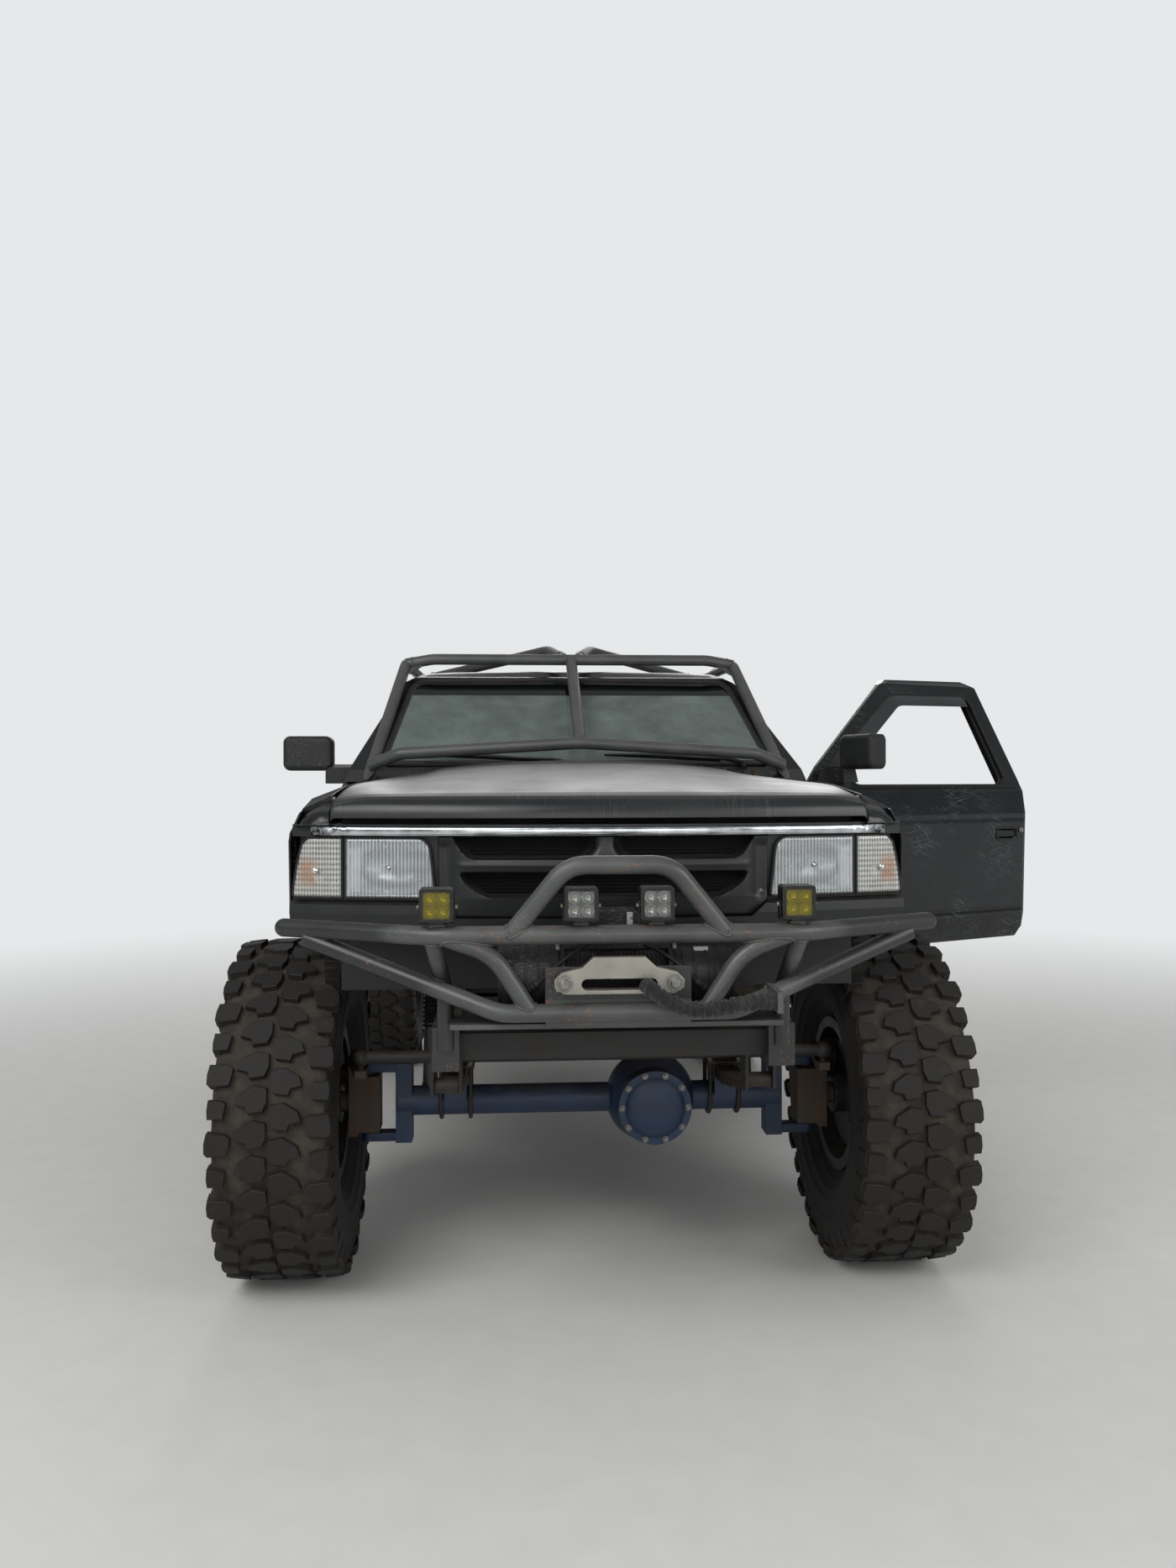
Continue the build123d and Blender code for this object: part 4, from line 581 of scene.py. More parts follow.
nodeFinish = {
    "pillarEnamel": ["cab_shell"],
    "charcoalEnamel": ["front_fenders", "door_left", "door_right", "bed_box", "tailgate"],
    "fadedEnamel": ["bonnet"],
    "bumperPowderCoat": ["front_bumper"],
    "tubePowderCoat": ["rear_bumper", "cage_side_tubes", "cage_crossbars", "cage_screen_guard",
                       "cage_braces", "rock_sliders", "shock_absorbers"],
    "mouldedPolypropylene": ["front_panel", "grille"],
    "texturedNylon": ["mirror_left", "mirror_right", "winch"],
    "chassisEnamel": ["ladder_frame", "tie_rod", "driveshafts"],
    "axleEnamel": ["front_axle", "rear_axle"],
    "castIron": ["knuckle_left", "knuckle_right"],
    "springSteel": ["leaf_springs"],
    "wheelEnamel": ["wheel_front_left", "wheel_front_right", "wheel_rear_left", "wheel_rear_right"],
    "anodisedAluminium": ["fairlead"],
    "podCasting": ["pod_housings"],
    "brightStrip": ["bright_trim"],
    "engineCasting": ["engine_gearbox"],
    "rustySteel": ["exhaust"],
    "tankPolyethylene": ["fuel_tank"],
    "radiatorAluminiumInPaintedShade": ["radiator"],
    "grainedAbs": ["dashboard", "steering_wheel"],
    "seatWeave": ["bench_seat"],
    "ropeWeave": ["winch_rope"],
    "muddyRubber": ["tyre_front_left", "tyre_front_right", "tyre_rear_left", "tyre_rear_right"],
    "innerGlass": ["cab_glass"],
    "temperedGlass": ["door_glass_right"],
    "clearPolycarbonate": ["headlamps", "marker_lamps", "pod_lenses"],
    "redAcrylic": ["tail_lamps"],
}
for finish, names in nodeFinish.items():
    for name in names:
        nodes[name].data.materials.clear()
        nodes[name].data.materials.append(made[finish])


# Surfaces worked out on grids


def gridFaces(rows, columns, closeRows=False, closeColumns=False):
    # quads between neighbouring points of a grid numbered row by row
    row, column = np.meshgrid(np.arange(rows if closeRows else rows - 1),
                              np.arange(columns if closeColumns else columns - 1), indexing="ij")
    nextRow, nextColumn = (row + 1) % rows, (column + 1) % columns
    corners = [row * columns + column, row * columns + nextColumn, nextRow * columns + nextColumn,
               nextRow * columns + column]
    return np.stack(corners, axis=-1).reshape(-1, 4)


def cappedFaces(rows, columns):
    # a grid closed round its columns, with a face over its first row and its last
    cap = np.arange(columns)[None]
    return [gridFaces(rows, columns, closeColumns=True), cap[:, ::-1], cap + (rows - 1) * columns]


def gridOf(rows, columns):
    # the two coordinates of a grid's points; rows and columns are (first, last, count)
    return np.meshgrid(np.linspace(*rows), np.linspace(*columns), indexing="ij")


def bell(value, middle, width):
    # a bell curve: e to the minus square of the distance from the middle over the width
    return np.exp(-((value - middle) / width) ** 2)


def rolled(rim, reach):
    # a rim's roll: 1 on the edge, falling with a square to 0 at a reach inside it
    return (1 - np.clip(rim / reach, 0, 1)) ** 2


def acrossOf(along):
    # the unit direction of along, and two unit directions across it
    along = np.asarray(along, float) / np.linalg.norm(along)
    first = np.cross(along, np.eye(3)[np.argmin(np.abs(along))])
    first /= np.linalg.norm(first)
    return along, first, np.cross(along, first)


def joinForms(forms):
    # several forms as one: points one after another, faces counted on
    points, faces, start = [], [], 0
    for formPoints, groups in forms:
        points.append(formPoints)
        faces += [group + start for group in groups]
        start += len(formPoints)
    return np.concatenate(points), faces


def repeatForm(form, placed):
    # copies of one form: placed is an array (copies, points, 3) of its points in each place
    copies, count = placed.shape[:2]
    shift = (np.arange(copies) * count)[:, None, None]
    return placed.reshape(-1, 3), [(group[None] + shift).reshape(-1, group.shape[1]) for group in form[1]]


def turnForm(form, axis, degrees, about=(0, 0, 0)):
    # the same form turned about an axis through a point
    turn = np.array(Matrix.Rotation(radians(degrees), 3, Vector(axis)))
    return (form[0] - about) @ turn.T + about, form[1]


def moveForm(form, by):
    return form[0] + np.asarray(by, float), form[1]


def mirrorForm(form):
    # the same form on the other side of the centre plane, its faces turned back outwards
    return form[0] * (-1, 1, 1), [group[:, ::-1] for group in form[1]]


def bothSides(form):
    return joinForms([form, mirrorForm(form)])


def roundedBlock(low, high, radius=2.0, steps=3):
    # a ball's surface, each eighth of it moved out to a corner of the block;
    # the gaps between become flat faces
    low, high = np.minimum(low, high).astype(float), np.maximum(low, high).astype(float)
    centre, half = (low + high) / 2, (high - low) / 2
    radius = min(radius, *(half * 0.98))
    quarter = np.linspace(0, pi / 2, steps + 1)
    around = (np.arange(4)[:, None] * pi / 2 + quarter).ravel()
    upward = np.concatenate([quarter - pi / 2, quarter])
    turn, rise = np.meshgrid(around, upward)
    ball = np.stack([np.cos(rise) * np.cos(turn), np.cos(rise) * np.sin(turn), np.sin(rise)], axis=-1)
    sideX = np.repeat([1, -1, -1, 1], steps + 1) + 0 * rise
    sideY = np.repeat([1, 1, -1, -1], steps + 1) + 0 * rise
    sideZ = np.repeat([-1, 1], steps + 1)[:, None] + 0 * rise
    points = centre + np.stack([sideX, sideY, sideZ], axis=-1) * (half - radius) + radius * ball
    columns = 4 * (steps + 1)
    ends = np.arange(4) * (steps + 1)
    last = (2 * steps + 1) * columns
    return points.reshape(-1, 3), [gridFaces(2 * (steps + 1), columns, closeColumns=True), ends[None, ::-1],
                                   ends[None] + last]


def turned(profile, start, along, steps=32, closed=False):
    # a profile of (distance along the axis, radius) carried round the axis that leaves
    # start in the direction along
    profile = np.asarray(profile, float)
    along, first, second = acrossOf(along)
    angle = np.arange(steps) * 2 * pi / steps
    ring = np.cos(angle)[:, None] * first + np.sin(angle)[:, None] * second
    points = np.asarray(start) + profile[:, 0, None, None] * along + profile[:, 1, None, None] * ring[None]
    faces = [gridFaces(len(profile), steps, True, True)] if closed else cappedFaces(len(profile), steps)
    return points.reshape(-1, 3), faces


def frameOf(path, closed=False):
    # the unit tangent of each point of a path, and two directions across it that turn as little as they can
    ahead = np.roll(path, -1, 0) - np.roll(path, 1, 0) if closed else np.gradient(path, axis=0)
    ahead /= np.linalg.norm(ahead, axis=1, keepdims=True)
    spread = np.abs(ahead).mean(axis=0)
    level = np.eye(3)[np.argmin(spread)]
    side = np.cross(ahead, level)
    side /= np.linalg.norm(side, axis=1, keepdims=True)
    return ahead, side, np.cross(side, ahead)


def tubeAlong(path, radius, sides=14, closed=False):
    # a circle carried along a path; radius may differ from point to point and round the circle
    path = np.asarray(path, float)
    side, top = frameOf(path, closed)[1:]
    angle = np.arange(sides) * 2 * pi / sides
    radius = np.asarray(radius, float).reshape(-1, 1) if np.ndim(radius) == 1 else radius
    radius = np.broadcast_to(radius, (len(path), sides))
    ring = np.cos(angle)[:, None] * side[:, None] + np.sin(angle)[:, None] * top[:, None]
    points = path[:, None] + radius[..., None] * ring
    faces = [gridFaces(len(path), sides, True, True)] if closed else cappedFaces(len(path), sides)
    return points.reshape(-1, 3), faces


def bentPath(corners, bend, steps=8):
    # straight runs joined at each corner by a parabola that starts a bend's length before it
    corners = np.asarray(corners, float)
    t = np.linspace(0, 1, steps)[:, None]
    rows = [corners[:1]]
    for before, corner, after in zip(corners, corners[1:], corners[2:]):
        back, on = before - corner, after - corner
        reach = min(bend, 0.49 * np.linalg.norm(back), 0.49 * np.linalg.norm(on))
        first = corner + back * reach / np.linalg.norm(back)
        last = corner + on * reach / np.linalg.norm(on)
        rows.append((1 - t) ** 2 * first + 2 * t * (1 - t) * corner + t ** 2 * last)
    return np.concatenate(rows + [corners[-1:]])


def offsetOutline(outline, inset):
    # each corner moved inwards along the line that halves it, so every side moves by the same amount
    before = outline - np.roll(outline, 1, 0)
    after = np.roll(outline, -1, 0) - outline
    sides = [np.stack([v[:, 1], -v[:, 0]], axis=1) / np.linalg.norm(v, axis=1, keepdims=True)
             for v in (before, after)]
    middle = sides[0] + sides[1]
    return outline - inset * 2 * middle / (middle ** 2).sum(axis=1, keepdims=True)


def anticlockwise(outline):
    # the outline in the order in which its area, summed from cross products of neighbours, is positive
    outline = np.asarray(outline, float)
    ahead = np.roll(outline, -1, 0)
    area = (outline[:, 0] * ahead[:, 1] - ahead[:, 0] * outline[:, 1]).sum()
    return outline if area > 0 else outline[::-1]


def stacked(rings, axes):
    # outlines at their depths, one after another; axes names where u, v and depth go
    flat = np.concatenate([np.column_stack([ring, np.full(len(ring), depth)]) for ring, depth in rings])
    return flat[:, [axes.index(axis) for axis in "xyz"]]


def plate(outline, depths, bevel=1.0, axes="xzy"):
    # an outline carried from one depth to another, with its rims cut back by a bevel
    outline = anticlockwise(outline)
    low, high = depths
    bevel = min(bevel, abs(high - low) * 0.49)
    small = offsetOutline(outline, bevel)
    rings = [(small, low), (outline, low + bevel), (outline, high - bevel), (small, high)]
    return stacked(rings, axes), cappedFaces(4, len(outline))


def roundedOutline(width, height, radius, steps=6, centre=(0, 0)):
    # a rectangle with quarter-circle corners
    quarter = np.linspace(0, pi / 2, steps)
    rows = []
    for k, (sx, sy) in enumerate(((1, 1), (-1, 1), (-1, -1), (1, -1))):
        angle = quarter + k * pi / 2
        rows.append(np.column_stack([centre[0] + sx * (width / 2 - radius) + radius * np.cos(angle),
                                     centre[1] + sy * (height / 2 - radius) + radius * np.sin(angle)]))
    return np.concatenate(rows)


def frameRing(outline, width, depths, axes="xzy"):
    # a picture-frame strip: the outline outside, the same outline moved inwards by width inside
    outline = anticlockwise(outline)
    inner = offsetOutline(outline, width)
    low, high = depths
    rings = [(outline, low), (outline, high), (inner, high), (inner, low)]
    return stacked(rings, axes), [gridFaces(4, len(outline), True, True)]


def rimOf(rows, columns):
    # the numbers of a grid's outer points, once round
    index = np.arange(rows * columns).reshape(rows, columns)
    return np.concatenate([index[0, :-1], index[:-1, -1], index[-1, :0:-1], index[:0:-1, 0]])


def shellOf(first, second):
    # two sheets of the same grid as one closed shell, joined round their rims by a skirt
    rows, columns = first.shape[:2]
    count = rows * columns
    grid, rim = gridFaces(rows, columns), rimOf(rows, columns)
    skirt = np.stack([rim, np.roll(rim, -1), np.roll(rim, -1) + count, rim + count], axis=-1)
    return np.concatenate([first.reshape(-1, 3), second.reshape(-1, 3)]), [grid, grid[:, ::-1] + count, skirt]


def backedSheet(face, back):
    # a sheet whose rim is carried back to the points that back gives and closed there with one face
    rows, columns = face.shape[:2]
    rim = rimOf(rows, columns)
    ring = rows * columns + np.arange(len(rim))
    skirt = np.stack([rim, np.roll(rim, -1), np.roll(ring, -1), ring], axis=-1)
    points = face.reshape(-1, 3)
    return np.concatenate([points, back(points[rim])]), [gridFaces(rows, columns), skirt, ring[None, ::-1]]


def roundedCorners(outline, reach, steps=6):
    # a closed outline with a parabola across each corner, starting and ending a reach from it
    outline = np.asarray(outline, float)
    t = np.linspace(0, 1, steps)[:, None]
    rows = []
    for before, corner, after in zip(np.roll(outline, 1, 0), outline, np.roll(outline, -1, 0)):
        near = [min(reach, 0.48 * np.linalg.norm(v - corner)) for v in (before, after)]
        first = corner + (before - corner) * near[0] / np.linalg.norm(before - corner)
        last = corner + (after - corner) * near[1] / np.linalg.norm(after - corner)
        rows.append((1 - t) ** 2 * first + 2 * t * (1 - t) * corner + t ** 2 * last)
    return np.concatenate(rows)


def bandForm(outer, inner, place, thick):
    # a flat band between two outlines with as many points each; place turns (u, v, height) into x, y, z
    rings = [place(outer[:, 0], outer[:, 1], 0.0), place(outer[:, 0], outer[:, 1], thick),
             place(inner[:, 0], inner[:, 1], thick), place(inner[:, 0], inner[:, 1], 0.0)]
    return np.concatenate(rings), [gridFaces(4, len(outer), True, True)]


def smooth(value, low, high):
    # rises from 0 at low to 1 at high with flat ends: three times the square less twice the cube
    t = np.clip((value - low) / (high - low), 0, 1)
    return t * t * (3 - 2 * t)


def hexBolt(at, along, size, height=0.6):
    # a washer and a six-sided head whose rim is chamfered
    washer = turned([(0, size * 0.72), (size * 0.12, size * 0.72)], at, along, 20)
    high = size * height
    head = turned([(size * 0.1, size * 0.5), (high * 0.85, size * 0.5), (high, size * 0.42)], at, along, 6)
    return joinForms([washer, head])


def screwHead(at, along, radius):
    # a low dome with a socket in its middle
    return turned([(0, radius), (radius * 0.3, radius), (radius * 0.6, radius * 0.75),
                   (radius * 0.68, radius * 0.5),
                   (radius * 0.68, radius * 0.38), (radius * 0.3, radius * 0.36)], at, along, 12)


# the part's own slots and the finishes that show them
slotFinishes = {
    "black_plastic": ["mouldedPolypropylene", "shadedPolypropylene", "texturedNylon", "grainedAbs",
                      "softRubber", "ceramicFrit", "smokedAcrylic"],
    "body_paint": ["charcoalEnamel", "pillarEnamel"], "bonnet_paint": ["fadedEnamel"],
    "tube_grey": ["tubePowderCoat"], "pod_housing": ["podCasting"], "rope_fibre": ["ropeWeave"],
    "window_glass": ["laminatedGlass", "tintedBand"], "seat_cloth": ["seatWeave"], "rubber": ["muddyRubber"],
    "lamp_lens": ["flutedPolycarbonate", "markerPolycarbonate"],
                "chrome_trim": ["brightStrip", "mirrorSilver"],
    "pod_lens": ["clearPolycarbonate", "amberPolycarbonate"], "tail_red": ["redAcrylic", "amberAcrylic"],
    "spring_steel": ["springSteel"], "axle_paint": ["axleEnamel"]}
slotOf = {finish: slot for slot, names in slotFinishes.items() for finish in names}


def makePiece(name, form, finish, body="chassis", slot=None, sharp=38, depth=None):
    # puts a form's points and faces into a mesh, turns its faces outwards and lets it ride on a body
    slot = slot or slotOf.get(finish)
    points, groups = form
    mesh = bpy.data.meshes.new(name)
    loops = np.concatenate([group.ravel() for group in groups]).astype(np.int32)
    sizes = np.concatenate([np.full(len(group), group.shape[1]) for group in groups]).astype(np.int32)
    mesh.vertices.add(len(points))
    mesh.vertices.foreach_set("co", toMetres(points).astype(np.float32).ravel())
    mesh.loops.add(len(loops))
    mesh.loops.foreach_set("vertex_index", loops)
    mesh.polygons.add(len(sizes))
    mesh.polygons.foreach_set("loop_start", (np.cumsum(sizes) - sizes).astype(np.int32))
    mesh.update(calc_edges=True)
    if depth is not None:
        values = mesh.attributes.new("depth", "FLOAT", "POINT")
        values.data.foreach_set("value", np.asarray(depth, np.float32))
    work = bmesh.new()
    work.from_mesh(mesh)
    bmesh.ops.remove_doubles(work, verts=work.verts, dist=1e-6)
    bmesh.ops.recalc_face_normals(work, faces=work.faces)
    work.to_mesh(mesh)
    work.free()
    mesh.shade_smooth()
    mesh.set_sharp_from_angle(angle=radians(sharp))
    mesh.materials.append(made[finish])
    piece = bpy.data.objects.new(name, mesh)
    bpy.context.scene.collection.objects.link(piece)
    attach(piece, body)
    return piece


# Winch rope: a bunched woven sleeve from the fairlead to the tab on the bumper's lower tube

rope = {"sleevePoints": [(60, -408.3, 1038), (60, -442, 1038), (128, -442, 992), (212, -428, 983),
                         (288, -428, 1002), (351.7, -428, 1002)],
        "sleeveRadius": 20.0, "lineFrom": (60, -284.3, 1038), "lineTo": (60, -409, 1038), "lineRadius": 6.0,
        "pleat": 0.16, "pleatLength": 17.0}


def routePoints(points):
    # the smooth line of a cord's route: a NURBS curve of order 3 through its ends, read back as points
    curve = bpy.data.curves.new("route", "CURVE")
    curve.dimensions = "3D"
    curve.resolution_u = 24
    spline = curve.splines.new("NURBS")
    spline.points.add(len(points) - 1)
    for point, place in zip(spline.points, toMetres(points)):
        point.co = (*place, 1)
    spline.order_u = 3
    spline.use_endpoint_u = True
    holder = bpy.data.objects.new("route", curve)
    bpy.context.scene.collection.objects.link(holder)
    mesh = bpy.data.meshes.new_from_object(holder)
    line = np.zeros(len(mesh.vertices) * 3)
    mesh.vertices.foreach_get("co", line)
    bpy.data.objects.remove(holder)
    return (line.reshape(-1, 3) - origin) * 1000


def evenly(line, step=None, count=None):
    # the same line with points a step apart, or with count points, by its running length
    run = np.concatenate([[0], np.cumsum(np.linalg.norm(np.diff(line, axis=0), axis=1))])
    places = np.linspace(0, run[-1], count or max(int(run[-1] / step), 8))
    return np.column_stack([np.interp(places, run, column) for column in line.T]), places


def makeRope():
    # the sleeve's radius swells and pinches in slanting pleats: sines of the length and the
    # angle round it, added up
    line, run = evenly(routePoints(rope["sleevePoints"]), 1.6)
    sides = 40
    angle = np.arange(sides) * 2 * pi / sides
    s, a = run[:, None], angle[None]
    pleat = 2 * pi / rope["pleatLength"]
    wave = (np.sin(pleat * s + 1.6 * np.sin(a + 0.02 * s)) * 0.55
            + np.sin(pleat * 1.73 * s + 2 * a + 1.1) * 0.3 + np.sin(pleat * 0.61 * s - 3 * a) * 0.3
            + np.sin(5 * a + 0.11 * s) * 0.14)
    ends = np.clip(np.minimum(s, run[-1] - s) / 14, 0, 1)
    radius = rope["sleeveRadius"] * (0.86 + rope["pleat"] * wave * (0.35 + 0.65 * ends))
    sleeve = makePiece("ropeSleeve", tubeAlong(line, radius, sides), "ropeWeave", sharp=80)
    # the rope itself behind the fairlead: six strands laid round each other
    first, last = np.array([rope["lineFrom"], rope["lineTo"]], float)
    steps = 60
    straight = first + np.linspace(0, 1, steps)[:, None] * (last - first)
    slanting = 6 * angle[None] + 0.9 * np.arange(steps)[:, None]
    strands = rope["lineRadius"] * (0.86 + 0.14 * np.abs(np.sin(slanting)))
    lead = makePiece("ropeLine", tubeAlong(straight, strands, sides), "ropeWeave", sharp=80)
    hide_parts("winch_rope")
    toMetres(rope["sleevePoints"][0])
    toMetres(line).tolist()


makeRope()
print("rope laid")


# Tyres: a carcass turned round its axle, with staggered blocks on the tread and
# biting ribs down the shoulders

tyre = {"radius": 507.5, "halfWidth": 171, "lugs": 34,
        "halfTrack": 905, "axleZ": 508,
        # columns: name, side, y of the axle
        "wheels": [("front_left", 1, 640), ("front_right", -1, 640), ("rear_left", 1, 3383),
                   ("rear_right", -1, 3383)],
        # carcass profile, columns: x, radius
        "carcass": [(104, 219), (116, 246), (131, 264), (135, 267), (135, 272), (149, 292), (154, 296),
                    (154, 302), (162, 326),
                    (166, 330), (166, 336), (168.5, 368), (168, 380), (170, 383), (170, 388), (168, 391),
                    (168, 404), (163, 436),
                    (157, 460), (148, 476), (128, 484), (90, 487.5), (45, 489), (0, 489.5)],
        # block outlines as shares of the half width and of the pitch, columns: x, along the tread
        "inner": [(0.03, -0.34), (0.24, -0.42), (0.47, -0.16), (0.52, 0.12), (0.34, 0.22), (0.31, 0.4),
                  (0.08, 0.34), (0.02, 0.06)],
        "outer": [(0.58, -0.26), (0.66, -0.36), (0.955, -0.38), (0.985, -0.1), (0.985, 0.2), (0.93, 0.3),
                  (0.63, 0.26), (0.6, 0.05)],
        "outerShort": [(0.66, -0.24), (0.72, -0.3), (0.94, -0.32), (0.955, 0.0), (0.94, 0.24), (0.7, 0.24)]}


def crown(x):
    # the tread's top radius falls off towards the shoulders with the fourth power of
    # the distance from the middle
    return tyre["radius"] - 9 * (np.abs(x) / tyre["halfWidth"]) ** 4


def treadBlocks(outline, side, phase, picks):
    # each block: its outline at the root, at the top's rim and just inside it, bent round the axle
    flat = np.array(outline, float)
    if side < 0:
        flat = flat[::-1]
    pitch = 2 * pi / tyre["lugs"]
    rings = [(flat * (1, 1.1), -30.0, 1.0), (flat, -7.0, 0.35), (flat * (1, 0.98), -2.2, 0.0),
             (flat * (0.995, 0.9), 0.0, 0.0)]
    x = np.concatenate([side * np.clip(ring[:, 0], 0, 0.995) * tyre["halfWidth"]
                        for ring, drop, worn in rings])
    along = np.concatenate([ring[:, 1] for ring, drop, worn in rings]) * pitch
    radius = crown(x) + np.concatenate([np.full(len(flat), drop) for ring, drop, worn in rings])
    worn = np.concatenate([np.full(len(flat), value) for ring, drop, value in rings])
    angle = along[None] + (picks[:, None] + phase) * pitch
    points = np.stack([x + 0 * angle, radius * np.cos(angle), radius * np.sin(angle)], axis=-1)
    count = len(flat)
    form = (None, [gridFaces(4, count, closeColumns=True), np.arange(count)[None] + 3 * count])
    joined = repeatForm(form, points)
    return joined, np.tile(worn, len(picks))


def sideBiters(side, phase, picks):
    # ribs that run down the shoulder: a tapered bar along the carcass profile, standing 7 mm proud
    radii = np.array([488, 470, 448, 424, 408])
    profile = np.array(tyre["carcass"])
    flank = profile[(profile[:, 1] > 395) & (profile[:, 1] < 480)]
    base = np.interp(radii, flank[:, 1], flank[:, 0])
    proud = np.array([2.0, 8.0, 6.5, 4.0, -2.0])
    width = np.array([0.3, 0.29, 0.24, 0.2, 0.15])
    pitch = 2 * pi / tyre["lugs"]
    across = np.array([-1, -0.8, 0.8, 1])
    lift = np.array([-6, 1, 1, -6])
    x = side * np.minimum(base[:, None] + np.where(lift > 0, proud[:, None], lift[None]), 171)
    along = width[:, None] * across[None] * pitch
    angle = along[None] + ((picks + phase) * pitch)[:, None, None]
    points = np.stack([x[None] + 0 * angle, radii[None, :, None] * np.cos(angle),
                       radii[None, :, None] * np.sin(angle)], axis=-1)
    form = (None, cappedFaces(len(radii), len(lift)))
    depth = np.tile(np.where(lift > 0, 0.25, 1.0), len(radii))
    return repeatForm(form, points.reshape(len(picks), -1, 3)), np.tile(depth, len(picks))


def makeTyreForm():
    half = np.array(tyre["carcass"], float)
    whole = np.concatenate([half, half[-2::-1] * (-1, 1)])
    forms, depths = [], []
    profile = np.concatenate([whole, [(-104, 218.6), (104, 218.6)]])
    forms.append(turned(profile, (0, 0, 0), (1, 0, 0), 120, closed=True))
    # the tread's floor is muddy, the side walls are only dusty
    depths.append(np.repeat(np.where(profile[:, 1] > 470, 1.0, 0.3), 120))
    every = np.arange(tyre["lugs"])
    even, odd = every[::2], every[1::2]
    for side, phase in ((1, 0.0), (-1, 0.5)):
        for outline, shift, picks in ((tyre["inner"], 0.0, every), (tyre["outer"], 0.32, even),
                                      (tyre["outerShort"], 0.3, odd)):
            form, depth = treadBlocks(outline, side, phase + shift, picks)
            forms.append(form)
            depths.append(depth)
        form, depth = sideBiters(side, phase + 0.3, every)
        forms.append(form)
        depths.append(depth)
    return joinForms(forms), np.concatenate(depths)


def makeTyres():
    form, depth = makeTyreForm()
    for name, side, y in tyre["wheels"]:
        placed = moveForm(form, (side * tyre["halfTrack"], y, tyre["axleZ"]))
        piece = makePiece("mudTyre_" + name, placed, "muddyRubber", "wheel_" + name, sharp=32, depth=depth)
        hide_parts("tyre_" + name)


makeTyres()
print("tyres turned")


# Lamps: fluted lenses over aluminised bowls, in the nose's plan arc

nose = {"arc": 2779.0}
lamps = {"low": 1196, "high": 1356, "inner": 446, "innerLean": 18, "split": 693, "outer": 833,
         "outerLean": 30, "corner": 34, "flute": 9.5, "fluteDepth": 0.6, "bowlDepth": 44}


def noseY(x):
    # how far the nose's arc lies behind its middle at a distance x from the centre plane
    return nose["arc"] - np.sqrt(nose["arc"] ** 2 - np.asarray(x, float) ** 2)


def cornerCut(z, low, high, radius):
    # how far a side moves in where a quarter circle rounds its top and a smaller one its bottom
    up = np.clip((z - (high - radius)) / radius, 0, 1)
    down = np.clip(((low + radius * 0.25) - z) / (radius * 0.25), 0, 1)
    return radius * (1 - np.sqrt(1 - up ** 2)) + radius * 0.25 * (1 - np.sqrt(1 - down ** 2))


def lampSpan(kind, z):
    # the lamp's inner and outer edge at a height
    share = (z - lamps["low"]) / (lamps["high"] - lamps["low"])
    if kind == "head":
        inner = lamps["inner"] + lamps["innerLean"] * share
        inner = inner + cornerCut(z, lamps["low"], lamps["high"], lamps["corner"])
        return inner, np.full_like(z, lamps["split"] - 4.0)
    outer = lamps["outer"] - lamps["outerLean"] * share ** 1.6
    outer = outer - cornerCut(z, lamps["low"], lamps["high"], lamps["corner"] * 0.8)
    return np.full_like(z, lamps["split"] + 4.0), outer


def lampGrid(kind, columns, rows, back, relief):
    # points over the lamp's outline; relief gives how far each lies behind the nose's arc
    z, u = gridOf((lamps["low"] + 0.5, lamps["high"] - 0.5, rows), (0, 1, columns))
    inner, outer = lampSpan(kind, z)
    x = inner + (outer - inner) * u
    rim = np.minimum(np.minimum(u, 1 - u) * (outer - inner), np.minimum(z - lamps["low"], lamps["high"] - z))
    return np.stack([x, noseY(x) + back + relief(x, z, rim), z], axis=-1)


def lensForm(kind):
    # the fluted front and a plain back 4 mm behind, with the rim rolled back over 7 mm
    columns, rows = (150, 40) if kind == "head" else (90, 40)

    def back(x, z, rim):
        return 7 * rolled(rim, 9)

    def front(x, z, rim):
        flutes = lamps["fluteDepth"] * np.cos(2 * pi * x / lamps["flute"]) * np.clip((rim - 9) / 5, 0, 1)
        bands = 0.5 * np.cos(2 * pi * z / 14) * (kind == "marker")
        return back(x, z, rim) + flutes + bands

    return shellOf(lampGrid(kind, columns, rows, 4.0, front), lampGrid(kind, columns, rows, 8.0, back))


def bowlForm(kind):
    # the bright inside, sunk behind a stepped rim: its depth is a paraboloid to the power of 0.7
    middleX, middleZ = (556, 1280) if kind == "head" else (760, 1272)
    reachX, reachZ = (98, 64) if kind == "head" else (52, 62)

    def depth(x, z, rim):
        inside = 1 - ((x - middleX) / reachX) ** 2 - ((z - middleZ) / reachZ) ** 2
        stepped = np.sign(np.sin((z - 1200) / 21 * pi)) * smooth(np.abs(x - middleX), reachX * 0.9, reachX)
        hollow = (lamps["bowlDepth"] - 16) * np.clip(inside, 0, 1) ** 0.7
        return 10 * smooth(rim, 6, 14) * (1 + 0.4 * stepped) + hollow

    first = lampGrid(kind, 64, 44, 13.0, depth)
    return shellOf(first, first + (0, 2.0, 0))


def rimForm(kind):
    # a dark bezel round the lens: a rounded bar carried along the lamp's outline on the nose's arc
    z = np.linspace(lamps["low"], lamps["high"], 40)
    inner, outer = lampSpan(kind, z)
    share = np.linspace(0, 1, 24)[1:-1]
    x = np.concatenate([inner, inner[-1] + (outer[-1] - inner[-1]) * share, outer[::-1],
                        outer[0] + (inner[0] - outer[0]) * share])
    height = np.concatenate([z, z[-1] + 0 * share, z[::-1], z[0] + 0 * share])
    line = np.column_stack([x, noseY(x) + 9.0, height])
    return tubeAlong(line, 3.4, 8, closed=True)


